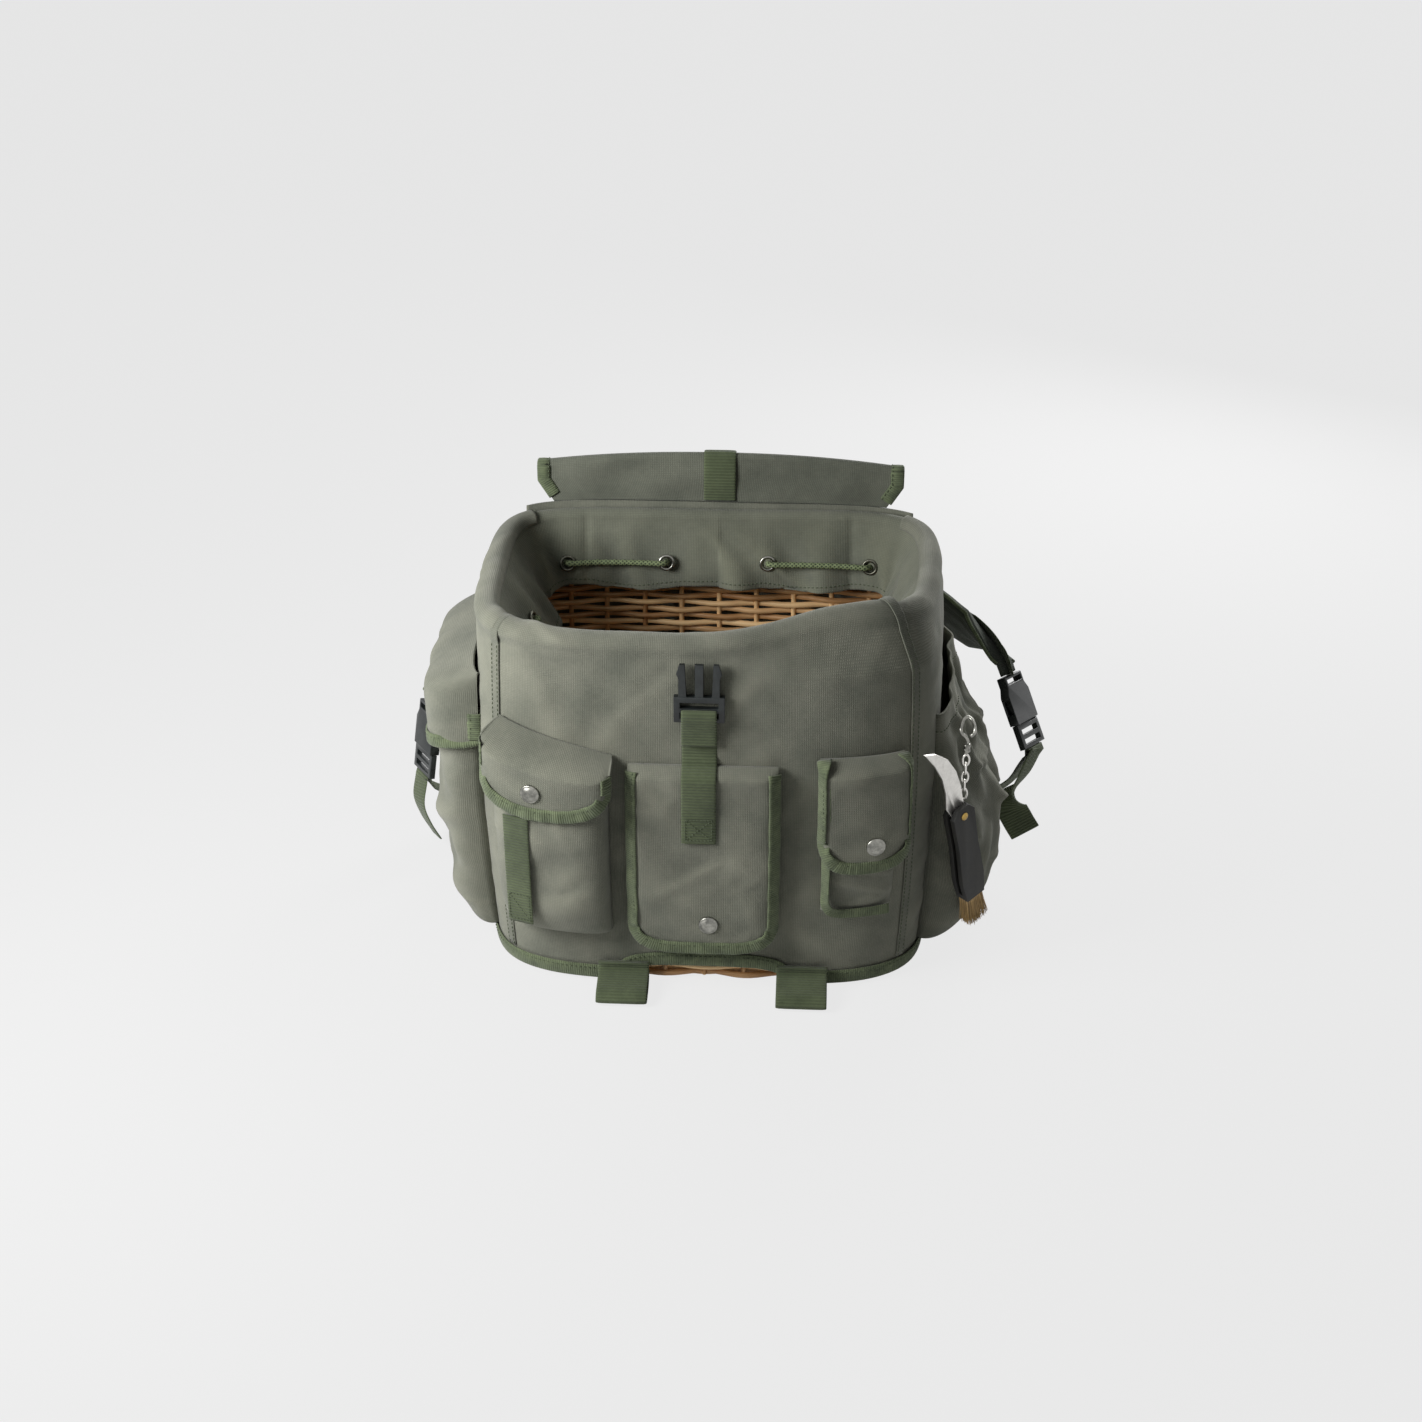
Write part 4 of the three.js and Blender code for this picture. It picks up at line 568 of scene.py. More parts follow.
def smooth_path(points, count):
    """A centripetal Catmull-Rom curve through the points, then evenly spaced along its length."""
    p = np.asarray(points, float)
    p = np.concatenate([[2 * p[0] - p[1]], p, [2 * p[-1] - p[-2]]])
    made = []
    for a, b, c, d in zip(p[:-3], p[1:-2], p[2:-1], p[3:]):
        d0, d1, d2 = (max(np.linalg.norm(q - r), 1e-6) ** 0.5 for q, r in ((b, a), (c, b), (d, c)))
        start = ((b - a) / d0 - (c - a) / (d0 + d1) + (c - b) / d1) * d1
        end = ((c - b) / d1 - (d - b) / (d1 + d2) + (d - c) / d2) * d1
        t = np.linspace(0, 1, 25)[:-1, None]
        made.append((2 * t ** 3 - 3 * t ** 2 + 1) * b + (t ** 3 - 2 * t ** 2 + t) * start
                    + (-2 * t ** 3 + 3 * t ** 2) * c + (t ** 3 - t ** 2) * end)
    line = np.concatenate([*made, p[-2:-1]])
    return resample(line, count)


def resample(line, count):
    """Points evenly spaced along a line."""
    length = np.r_[0, np.cumsum(np.linalg.norm(np.diff(line, axis=0), axis=1))]
    wanted = np.linspace(0, length[-1], count)
    return np.stack([np.interp(wanted, length, line[:, k]) for k in range(3)], -1)


def seam_spots(line, normals, pitch):
    """Places a pitch apart along a seam, with its direction and its normal at each."""
    line = np.asarray(line, float)
    normals = np.broadcast_to(np.asarray(normals, float), line.shape)
    steps = np.linalg.norm(np.diff(line, axis=0), axis=1)
    keep = np.r_[True, steps > 1e-6]
    line, normals = line[keep], normals[keep]
    length = np.r_[0, np.cumsum(steps[steps > 1e-6])]
    wanted = np.arange(pitch / 2, length[-1], pitch)
    slopes = np.gradient(line, length, axis=0)
    return [np.stack([np.interp(wanted, length, part[:, k]) for k in range(3)], -1)
            for part in (line, slopes, normals)]


# One stitch as (along, across, out): two tips in the cloth, and two rings of four points between them
SPINDLE = np.array([(-0.5, 0, -0.6), (-0.2, 1, 0), (-0.2, 0, 1), (-0.2, -1, 0), (-0.2, 0, -1),
                    (0.2, 1, 0), (0.2, 0, 1), (0.2, -1, 0), (0.2, 0, -1), (0.5, 0, -0.6)])
SPINDLE_FACES = np.array([(0, 2, 1), (0, 3, 2), (0, 4, 3), (0, 1, 4),
                          (9, 5, 6), (9, 6, 7), (9, 7, 8), (9, 8, 5),
                          (1, 2, 6), (1, 6, 5), (2, 3, 7), (2, 7, 6),
                          (3, 4, 8), (3, 8, 7), (4, 1, 5), (4, 5, 8)])


def stitches(name, lines, material, pitch=3.6, reach=2.7, width=0.42, lift=0.05):
    """A seam of small spindles of thread, a pitch apart along every (line, normals) of lines."""
    spots = [seam_spots(line, normals, pitch) for line, normals in lines]
    at, way, out = (np.concatenate(part)[:, None] for part in zip(*spots))
    way, out = unit(way), unit(out)
    side = np.cross(way, out)
    points = at + way * SPINDLE[:, :1] * reach + side * SPINDLE[:, 1:2] * width \
        + out * (SPINDLE[:, 2:] * width + lift)
    faces = (np.arange(len(points))[:, None, None] * len(SPINDLE) + SPINDLE_FACES).reshape(-1, 3)
    made = make_object(name, points.reshape(-1, 3), faces, np.zeros((len(faces) * 3, 2)), material)
    return outward_faces(made)


def softened(node, name, width, material, angle=28, segments=2):
    """A copy of a frame piece, its triangles merged to whole faces and its edges rounded."""
    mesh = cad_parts[node].data.copy()
    mesh.name = name
    data = bmesh.new()
    data.from_mesh(mesh)
    bmesh.ops.remove_doubles(data, verts=data.verts, dist=2e-6)
    bmesh.ops.dissolve_limit(data, angle_limit=math.radians(1.5), verts=data.verts, edges=data.edges)
    data.to_mesh(mesh)
    data.free()
    mesh.materials.clear()
    mesh.materials.append(material)
    made = bpy.data.objects.new(name, mesh)
    bpy.context.scene.collection.objects.link(made)
    mesh.polygons.foreach_set("use_smooth", np.ones(len(mesh.polygons), bool))
    round_edges = made.modifiers.new("rounded edges", "BEVEL")
    round_edges.width = width * MM
    round_edges.segments = segments
    round_edges.limit_method = "ANGLE"
    round_edges.angle_limit = math.radians(angle)
    round_edges.harden_normals = True
    return made


def stands_for(made, body, slot, *nodes):
    """The piece rides on a body and hides the frame's plain pieces; its slot is not used."""
    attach(made, body)
    if nodes:
        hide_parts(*nodes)


def bends(made, first, second, start, end, slot, *nodes):
    """The piece's placing is baked into its mesh and the frame's plain pieces are hidden; the two bodies,
    start and end are not used.
    """
    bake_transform(made)
    if nodes:
        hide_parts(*nodes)


# Materials

def linear(hex_colour):
    """An sRGB hex colour as linear red, green, blue and alpha."""
    parts = [int(hex_colour[k:k + 2], 16) / 255 for k in (1, 3, 5)]
    return (*(c / 12.92 if c <= 0.04045 else ((c + 0.055) / 1.055) ** 2.4 for c in parts), 1)


def add(tree, kind, settings=None, links=None):
    """Adds a node: settings are its properties or inputs, links are the sockets that feed its inputs."""
    made = tree.nodes.new("ShaderNode" + kind)
    for key, value in (settings or {}).items():
        if isinstance(key, str) and hasattr(made, key):
            setattr(made, key, value)
        else:
            made.inputs[key].default_value = value
    for key, socket in (links or {}).items():
        tree.links.new(socket, made.inputs[key])
    return made


def start_material(name, roughness, metallic=0.0):
    """An empty material with its shader: returns the material, its node tree and the shader."""
    material = bpy.data.materials.new(name)
    material.use_nodes = True
    tree = material.node_tree
    tree.nodes.clear()
    shader = add(tree, "BsdfPrincipled", {"Roughness": roughness, "Metallic": metallic})
    add(tree, "OutputMaterial", None, {"Surface": shader.outputs["BSDF"]})
    return material, tree, shader


def wave_scale(period):
    """The wave texture's scale for a period in millimetres: it repeats every pi/10 over its scale."""
    return math.pi / 10 / (period * MM)


def tint(tree, factor, low, high, start=0.0, end=1.0):
    """A colour ramp between two hex colours."""
    ramp = add(tree, "ValToRGB", None, {"Fac": factor})
    ramp.color_ramp.elements[0].position = start
    ramp.color_ramp.elements[1].position = end
    ramp.color_ramp.elements[0].color = linear(low)
    ramp.color_ramp.elements[1].color = linear(high)
    return ramp.outputs["Color"]


def woven(tree, uv, thread, rib):
    """The height of a weave: threads crossed at a period in millimetres, or ribs across with a period."""
    uneven = {"Distortion": 0.35, "Detail": 1.0, "Detail Scale": 2.0}
    weft = add(tree, "TexWave", {"bands_direction": "Y", "Scale": wave_scale(rib or thread), **uneven},
               {"Vector": uv})
    if rib:
        return weft.outputs["Fac"]
    warp = add(tree, "TexWave", {"bands_direction": "X", "Scale": wave_scale(thread), **uneven},
               {"Vector": uv})
    crossed = add(tree, "Math", {"operation": "MULTIPLY"}, {0: warp.outputs["Fac"], 1: weft.outputs["Fac"]})
    return crossed.outputs[0]


def cloth_material(name, deep, fair, worn, thread, relief, roughness=0.9, rib=None, sheen=0.15, patch=38):
    """Woven cloth: crossed threads of a period in millimetres, patches of handling, and worn ridges."""
    material, tree, shader = start_material(name, roughness)
    uv = add(tree, "TexCoord").outputs["UV"]
    place = add(tree, "TexCoord").outputs["Object"]
    weave = woven(tree, uv, thread, rib)
    patches = add(tree, "TexNoise", {"Scale": 1 / (patch * MM), "Detail": 5.0, "Roughness": 0.6},
                  {"Vector": place})
    slubs = add(tree, "TexNoise", {"Scale": 1 / (3.1 * MM), "Detail": 3.0, "Roughness": 0.7}, {"Vector": uv})
    mixed = add(tree, "Math", {"operation": "MULTIPLY_ADD", 1: 0.30},
                {0: slubs.outputs["Fac"], 2: patches.outputs["Fac"]})
    body = tint(tree, mixed.outputs[0], deep, fair, 0.45, 0.85)
    rubbed = add(tree, "Attribute", {"attribute_name": "worn"})
    edge = add(tree, "Math", {"operation": "MULTIPLY", 1: 0.75}, {0: rubbed.outputs["Fac"]})
    faded = add(tree, "Mix", {"data_type": "RGBA", 7: linear(worn)}, {"Factor": edge.outputs[0], 6: body})
    shade = add(tree, "Mix", {"data_type": "RGBA", "blend_type": "MULTIPLY", "Factor": 0.38},
                {6: faded.outputs[2], 7: tint(tree, weave, "#9a9a9a", "#ffffff", 0.0, 0.7)})
    tree.links.new(shade.outputs[2], shader.inputs["Base Color"])
    dents = add(tree, "TexNoise", {"Scale": 1 / (9 * MM), "Detail": 3.0, "Roughness": 0.5}, {"Vector": place})
    soft = add(tree, "Bump", {"Strength": 0.35, "Distance": 0.0012}, {"Height": dents.outputs["Fac"]})
    bump = add(tree, "Bump", {"Strength": 0.75, "Distance": relief * MM},
               {"Height": weave, "Normal": soft.outputs["Normal"]})
    tree.links.new(bump.outputs["Normal"], shader.inputs["Normal"])
    shader.inputs["Sheen Weight"].default_value = sheen
    shader.inputs["Sheen Roughness"].default_value = 0.6
    shader.inputs["Specular IOR Level"].default_value = 0.25
    return material


def willow_material(name, deep, fair):
    """Peeled willow: a satin bark-side skin with long grain streaks, darker where rods were boiled longer."""
    material, tree, shader = start_material(name, 0.48)
    uv = add(tree, "TexCoord").outputs["UV"]
    place = add(tree, "TexCoord").outputs["Object"]
    stretch = add(tree, "Mapping", {"Scale": (900, 45, 1)}, {"Vector": uv})
    grain = add(tree, "TexNoise", {"Scale": 1.0, "Detail": 4.0, "Roughness": 0.65},
                {"Vector": stretch.outputs["Vector"]})
    knots = add(tree, "TexNoise", {"Scale": 1 / (24 * MM), "Detail": 3.0}, {"Vector": place})
    rod = add(tree, "Attribute", {"attribute_name": "shade"})
    streaked = add(tree, "Math", {"operation": "MULTIPLY_ADD", 1: 0.45},
                   {0: grain.outputs["Fac"], 2: rod.outputs["Fac"]})
    total = add(tree, "Math", {"operation": "MULTIPLY_ADD", 1: 0.4},
                {0: knots.outputs["Fac"], 2: streaked.outputs[0]})
    tree.links.new(tint(tree, total.outputs[0], deep, fair, 0.35, 1.3), shader.inputs["Base Color"])
    bump = add(tree, "Bump", {"Strength": 0.5, "Distance": 0.0003}, {"Height": grain.outputs["Fac"]})
    tree.links.new(bump.outputs["Normal"], shader.inputs["Normal"])
    return material


def plastic_material(name, deep, fair, roughness, grain=0.5):
    """Injection-moulded acetal: near black, satin, with a fine spark-eroded grain and dust on it."""
    material, tree, shader = start_material(name, roughness)
    place = add(tree, "TexCoord").outputs["Object"]
    fine = add(tree, "TexNoise", {"Scale": 1 / (grain * MM), "Detail": 2.0}, {"Vector": place})
    dust = add(tree, "TexNoise", {"Scale": 1 / (14 * MM), "Detail": 5.0, "Roughness": 0.7}, {"Vector": place})
    tree.links.new(tint(tree, dust.outputs["Fac"], deep, fair, 0.4, 0.75), shader.inputs["Base Color"])
    bump = add(tree, "Bump", {"Strength": 0.25, "Distance": 0.0002}, {"Height": fine.outputs["Fac"]})
    tree.links.new(bump.outputs["Normal"], shader.inputs["Normal"])
    return material


def metal_material(name, deep, fair, roughness, brushing=None):
    """Metal: a clouded plating, or lines of brushing of a spacing in millimetres along the piece's height."""
    material, tree, shader = start_material(name, roughness, 1.0)
    place = add(tree, "TexCoord").outputs["Object"]
    clouds = add(tree, "TexNoise", {"Scale": 1 / (5 * MM), "Detail": 5.0, "Roughness": 0.7},
                 {"Vector": place})
    tree.links.new(tint(tree, clouds.outputs["Fac"], deep, fair, 0.35, 0.65), shader.inputs["Base Color"])
    if brushing:
        fine, coarse = 1 / (brushing * MM), 1 / (40 * brushing * MM)
        lines = add(tree, "Mapping", {"Scale": (fine, fine, coarse)}, {"Vector": place})
        brushed = add(tree, "TexNoise", {"Scale": 1.0, "Detail": 2.0}, {"Vector": lines.outputs["Vector"]})
        bump = add(tree, "Bump", {"Strength": 0.3, "Distance": 0.0001}, {"Height": brushed.outputs["Fac"]})
        tree.links.new(bump.outputs["Normal"], shader.inputs["Normal"])
    return material


def cord_material(name, deep, fair, strand):
    """Braided cord: two sets of yarns that cross on a slant round the cord."""
    material, tree, shader = start_material(name, 0.85)
    uv = add(tree, "TexCoord").outputs["UV"]
    ways = []
    for slant in (0.8, -0.8):
        slanted = add(tree, "Mapping", {"Rotation": (0, 0, slant)}, {"Vector": uv})
        yarns = add(tree, "TexWave", {"bands_direction": "X", "Scale": wave_scale(strand)},
                    {"Vector": slanted.outputs["Vector"]})
        ways.append(yarns.outputs["Fac"])
    braid = add(tree, "Math", {"operation": "MAXIMUM"}, {0: ways[0], 1: ways[1]})
    tree.links.new(tint(tree, braid.outputs[0], deep, fair, 0.2, 0.9), shader.inputs["Base Color"])
    bump = add(tree, "Bump", {"Strength": 0.9, "Distance": 0.0005}, {"Height": braid.outputs[0]})
    tree.links.new(bump.outputs["Normal"], shader.inputs["Normal"])
    return material


# Cotton canvas, piece-dyed olive grey and washed: a dry plain weave that pales on its ridges
CANVAS = cloth_material("cotton canvas, washed olive", "#6f7265", "#8b8c7d", "#a3a391", 1.3, 0.35)
# The same canvas, darker: painted shade for the collar inside the rim, also used on the lid
CANVAS_SHADED = cloth_material("cotton canvas, darker for painted shade", "#62665a", "#7b7e70", "#94967f", 1.3, 0.35)
# Polyester grosgrain tape, ribbed across, folded over raw edges
TAPE_CLOTH = cloth_material("grosgrain binding tape", "#525c44", "#727d5d", "#8c9679", 1.0, 0.35, 0.8, 1.7,
                            patch=9)
# Polypropylene webbing, woven with heavy ribs across, dark olive
WEBBING_CLOTH = cloth_material("ribbed polypropylene webbing", "#434d34", "#5f6a4b", "#757e62", 1.6, 0.5,
                               0.74, 2.4)
# Dark spacer cloth over foam in the shoulder straps
PAD_CLOTH = cloth_material("padded strap cloth", "#3a4136", "#50574a", "#6a7061", 1.4, 0.4)
# Bonded thread in the tape's colour
THREAD = cord_material("bonded sewing thread", "#545d47", "#788165", 0.6)
BRAID = cord_material("braided cord", "#2c3524", "#7d8a64", 2.4)
WILLOW = willow_material("peeled willow, woven", "#94602f", "#f8d29c")
ACETAL = plastic_material("moulded acetal, black", "#161a1a", "#2b3030", 0.38)
GRIP = plastic_material("knife grip, dyed hardwood", "#0c0d0b", "#1f1e18", 0.62, 2.0)
NICKEL = metal_material("nickel plate, dulled", "#73736e", "#aaa9a1", 0.3)
# Black oxide on the brass of the rings where the cord runs
RING_BRASS = metal_material("brass, blackened", "#34352f", "#6f6e63", 0.4)
BRASS = metal_material("brass, handled", "#7a6233", "#c2a35e", 0.3)
STEEL = metal_material("blade steel, brushed", "#d0cec9", "#e6e4df", 0.4, 0.25)
HAIR = willow_material("natural boar bristle", "#7d5f33", "#cfae74")


# Camera, light and floor

def make_camera():
    """The photograph's viewing angle, its optical axis a few pixels from the frame's middle."""
    data = bpy.data.cameras.new("photo camera")
    data.sensor_width = SENSOR_WIDTH
    data.lens = FOCAL_PIXELS / IMAGE_SIZE * SENSOR_WIDTH
    data.shift_x = -(AIM_PIXEL[0] - IMAGE_SIZE / 2) / IMAGE_SIZE
    data.shift_y = (AIM_PIXEL[1] - IMAGE_SIZE / 2) / IMAGE_SIZE
    data.clip_end = 100
    camera = bpy.data.objects.new("photo camera", data)
    azimuth, elevation = math.radians(CAMERA_AZIMUTH), math.radians(CAMERA_ELEVATION)
    back = Vector((math.sin(azimuth) * math.cos(elevation), -math.cos(azimuth) * math.cos(elevation),
                   math.sin(elevation)))
    camera.location = (Vector(AIM) + CAMERA_DISTANCE * back) * MM
    camera.rotation_euler = back.to_track_quat("Z", "Y").to_euler()
    bpy.context.scene.collection.objects.link(camera)
    bpy.context.scene.camera = camera


def make_lamp(name, place, size, power):
    """A round area lamp that faces the object."""
    data = bpy.data.lights.new(name, "AREA")
    data.shape = "DISK"
    data.size = size * MM
    data.energy = power
    lamp = bpy.data.objects.new(name, data)
    lamp.location = Vector(place) * MM
    lamp.rotation_euler = (Vector(place) - Vector(AIM)).to_track_quat("Z", "Y").to_euler()
    bpy.context.scene.collection.objects.link(lamp)


def pale_rays(tree):
    """1 for the rays that show the pale room: from the camera, off something glossy or through glass."""
    rays = add(tree, "LightPath")
    direct = add(tree, "Math", {"operation": "MAXIMUM"},
                 {0: rays.outputs["Is Camera Ray"], 1: rays.outputs["Is Glossy Ray"]})
    seen = add(tree, "Math", {"operation": "MAXIMUM"},
               {0: direct.outputs[0], 1: rays.outputs["Is Transmission Ray"]})
    return seen.outputs[0]


def make_light():
    """A soft box low and near on the left, a fill behind, and a dim room that looks pale."""
    make_lamp("soft box", LAMP_PLACE, LAMP_SIZE, LAMP_POWER)
    make_lamp("fill", FILL_PLACE, FILL_SIZE, FILL_POWER)
    world = bpy.data.worlds.new("pale room")
    world.use_nodes = True
    bpy.context.scene.world = world
    tree = world.node_tree
    tree.nodes.clear()
    room = add(tree, "Background", {"Color": linear("#ffffff"), "Strength": ROOM_STRENGTH})
    shown = add(tree, "Background", {"Color": linear(PALE), "Strength": 1.0})
    mix = add(tree, "MixShader", None, {0: pale_rays(tree), 1: room.outputs[0], 2: shown.outputs[0]})
    add(tree, "OutputWorld", None, {"Surface": mix.outputs[0]})


def make_floor():
    """A wide pale matt floor: mostly even pale light, with a little paper that holds the shadow."""
    reach = FLOOR_REACH * MM
    corners = [(-reach, -reach, 0), (reach, -reach, 0), (reach, reach, 0), (-reach, reach, 0)]
    mesh = bpy.data.meshes.new("floor")
    mesh.from_pydata(corners, [], [(0, 1, 2, 3)])
    floor = bpy.data.objects.new("floor", mesh)
    bpy.context.scene.collection.objects.link(floor)
    material, tree, shader = start_material("matt paper floor", 0.95)
    shader.inputs["Base Color"].default_value = linear("#dedede")
    shader.inputs["Specular IOR Level"].default_value = 0.1
    share = add(tree, "Math", {"operation": "MULTIPLY", 1: FLOOR_EVEN_SHARE}, {0: pale_rays(tree)})
    even = add(tree, "Emission", {"Color": linear(PALE), "Strength": FLOOR_GLOW})
    mix = add(tree, "MixShader", None, {0: share.outputs[0], 1: shader.outputs[0], 2: even.outputs[0]})
    output = [node for node in tree.nodes if node.type == "OUTPUT_MATERIAL"][0]
    tree.links.new(mix.outputs[0], output.inputs["Surface"])
    mesh.materials.append(material)


# Willow basket

def girth_angles(count):
    """Angles evenly spaced by length round the wall, without the last that would meet the first."""
    lengths = np.linspace(-GIRTH_LENGTH / 2, GIRTH_LENGTH / 2, count, endpoint=False)
    return np.interp(lengths, GIRTH, GIRTH_ANGLES)


def make_stakes(rng):
    """Upright stakes, evenly spaced round the wall, each a little out of place."""
    z = np.linspace(4, BASKET_HEIGHT + 2, 22)
    stakes = wall(girth_angles(STAKES)[:, None], z, WEAVE_MIDDLE)
    stakes += rng.normal(0, 0.35, (STAKES, 1, 3)) * (1, 1, 0)
    shades = rng.uniform(0.1, 0.5, STAKES)
    made = strands("basket_stakes", stakes, STAKE_RADIUS, 7, (0, 1, 0.3), WILLOW, shades=shades)
    stands_for(made, "root", "willow")


def make_weavers(rng):
    """Rows of rods whose distance out is a cosine: out at one stake and in at the next."""
    rows = np.arange(2 * WEAVER_RADIUS, BASKET_HEIGHT - 1, WEAVER_PITCH)
    row, k = rows[:, None], np.arange(STAKES * WEAVER_STEPS)[None]
    angles = girth_angles(STAKES * WEAVER_STEPS)
    swing = np.cos(math.pi * (k / WEAVER_STEPS + np.arange(len(rows))[:, None]))
    height = row + 0.45 * ripples(k * 5.0, row * 9, 70, 5)
    paths = wall(angles[None], height, WEAVE_MIDDLE + WEAVER_SWING * swing)
    radius = WEAVER_RADIUS * (1 + 0.1 * ripples(k * 3.0, row * 21, 300, 6))
    shades = rng.uniform(0.05, 0.75, len(rows))
    made = strands("basket_weavers", paths, radius, 6, (0, 0, 1), WILLOW, True, shades)
    stands_for(made, "root", "willow", "basket_wall")


def make_basket_wall():
    """The woven wall, its stakes first."""
    rng = np.random.default_rng(11)
    make_stakes(rng)
    make_weavers(rng)


def make_basket_rim():
    """Three rods twisted into a rope: each circles the rim's middle line a whole number of times."""
    count = 420
    turn = np.arange(count) / count * TURN * RIM_TURNS
    phase = np.arange(3)[:, None] * TURN / 3
    out = RIM_MIDDLE + RIM_ORBIT * np.cos(turn + phase)
    height = BASKET_HEIGHT + RIM_LIFT + RIM_ORBIT * np.sin(turn + phase)
    paths = wall(girth_angles(count), height, out)
    made = strands("basket_rim_rods", paths, RIM_ROD, 8, (0, 0, 1), WILLOW, True, (0.2, 0.45, 0.65))
    stands_for(made, "root", "willow", "basket_rim")


def make_basket_base():
    """Radial sticks, and rods in shrinking copies of the wall's outline that pass over and under them."""
    rng = np.random.default_rng(12)
    around = np.arange(192) / 192 * TURN - math.pi
    shares = np.linspace(0.045, 1, BASE_LOOPS)[:, None]
    paths = wall(around, 0, -BASE_INSET) * shares[..., None]
    swing = np.cos(around * BASE_STICKS / 2 + np.arange(BASE_LOOPS)[:, None] * math.pi)
    paths[..., 2] = BASE_THICKNESS / 2 + BASE_SWING * swing
    shades = rng.uniform(0.05, 0.6, BASE_LOOPS)
    made = strands("basket_base_rods", paths, BASE_ROD, 6, (0, 0, 1), WILLOW, True, shades)
    stands_for(made, "root", "willow", "basket_base")
    foot = wall(np.arange(BASE_STICKS) / BASE_STICKS * TURN, 0, -1)
    sticks = foot[:, None] * np.linspace(0, 0.98, 12)[:, None]
    sticks[..., 2] = BASE_THICKNESS / 2
    shades = rng.uniform(0.2, 0.6, BASE_STICKS)
    made = strands("basket_base_sticks", sticks, BASE_ROD, 6, (0, 0, 1), WILLOW, shades=shades)
    stands_for(made, "root", "willow")


# Cover

def panel_heights(angle, t):
    """Heights up a panel: rows 0 to 1 climb from the hem to the basket's rim, 1 to 2 to the collar's foot."""
    low = hem_at(angle)
    high = rim_at(angle) - COVER_ROLL - GAP
    return np.where(t <= 1, low + t * (RIM_TOP - low), RIM_TOP + (t - 1) * (high - RIM_TOP))


def slack(lengths, z, seed):
    """Canvas that hangs over wicker, broad and narrow swells with a few fold ridges, and the wear on it."""
    swell = 0.7 * ripples(lengths, z * 0.7, 120, seed) + 0.25 * ripples(lengths, z, 34, seed + 1)
    fold = creases(lengths * 0.8, z, 90, seed + 2)
    return swell + 0.9 * fold, 0.45 * fold + 0.2 * np.clip(swell, 0, 1)


def rim_unrest(lengths, v, seed):
    """Slanting folds where the cover turns over its rim, widest at the left front corner, and their wear."""
    tall = v * RIM_FOLDS_LENGTH
    wide = np.exp(-((lengths + 175) / 95) ** 2)
    fold = creases(lengths + 1.4 * tall, tall, 74, seed + 5)
    rise = smooth_step(0.03, 0.12, v) * (1 - smooth_step(0.25, 0.33, v))
    swell = (0.5 + 1.6 * wide) * fold + 2.2 * wide + 0.5 * (1 + ripples(lengths, tall, 60, seed + 6))
    return swell * rise, 0.35 * fold * rise + 0.15 * rise


def make_panel(node, start, end, seed, cols):
    """A cover panel between two seam angles, pulled in to its seams, slack between, turned over the rim."""
    start, end = start + SEAM_GAP, end - SEAM_GAP
    angle = np.linspace(start, end, cols)[None]
    t = np.concatenate([np.linspace(0, 1, 70), np.linspace(1, 2, 9)[1:]])[:, None]
    z = panel_heights(angle, t)
    lengths = np.interp(angle, GIRTH_ANGLES, GIRTH) + 0 * z
    swell, worn = slack(lengths, z, seed)
    edge = smooth_step(0, SEAM_PULL, angle - start) * smooth_step(0, SEAM_PULL, end - angle)
    free = swell * edge * smooth_step(0, 0.16, t) * (1 - smooth_step(1.5, 2, t))
    body = cover(angle + 0 * z, z, COVER_EASE + CLOTH + GAP + free)
    over = np.linspace(*RIM_TURN, 16)[:, None]
    fold, rubbed = rim_unrest(lengths[:1], over, seed)
    grid = np.concatenate([body, collar_place(angle, over, CLOTH / 2 + GAP + fold)])
    worn = np.concatenate([worn * edge + 0.35 * (1 - edge), rubbed])
    made = thicken(surface(node + "_cloth", grid, CANVAS, worn=worn), CLOTH_SHOWN)
    stands_for(made, "root", "canvas", node)


def back_pad(angle, t):
    """The padded back's thickness: cloth, and foam that swells as the root of two sines multiplied."""
    across = np.cos((np.abs(angle) - math.pi) / (math.pi - BACK_SEAM) * math.pi / 2)
    along = np.sin(math.pi * (t - PAD_MARGIN) / (1 - 2 * PAD_MARGIN))
    return CLOTH + BACK_PAD * np.sqrt(np.maximum(0, across) * np.maximum(0, along))


def off_back(angle, z, out):
    """A place off the padded back."""
    low = hem_at(angle)
    return wall(angle, z, COVER_EASE + back_pad(angle, (z - low) / (RIM_TOP - low)) + out)


def make_back_panel():
    """The padded back: foam under canvas, whose cloth rises behind the collar to the lid's seam."""
    cols = 150
    angle = np.linspace(BACK_SEAM + SEAM_GAP, TURN - BACK_SEAM - SEAM_GAP, cols)[None]
    t = np.linspace(0, 1, 90)[:, None]
    low = hem_at(angle)
    z = low + t * (RIM_TOP - low)
    lengths = (angle - math.pi) * BACK_RADIUS + 0 * z
    swell, _ = slack(lengths, z, 40)
    foam = back_pad(np.where(angle > math.pi, TURN - angle, angle), t) - CLOTH
    inner = np.clip(foam, 0, BACK_PAD) / BACK_PAD
    channel = np.exp(-((np.abs(lengths) - CHANNEL_PLACE) / 4) ** 2) * CHANNEL_DEPTH
    channel = channel * smooth_step(0.3, 0.8, inner)
    out = COVER_EASE + CLOTH + BACK_PAD * inner - channel + 0.9 * swell * smooth_step(0.0, 0.4, inner)
    body = wall(angle + 0 * z, z, out)
    top = [wall(angle[0], np.full(cols, height), COVER_EASE + CLOTH + stand) for height, stand in BACK_TOP]
    grid = np.concatenate([body, np.stack(top)])
    made = thicken(surface("back_panel_pad", grid, CANVAS), CLOTH_SHOWN)
    stands_for(made, "root", "canvas", "back_panel")


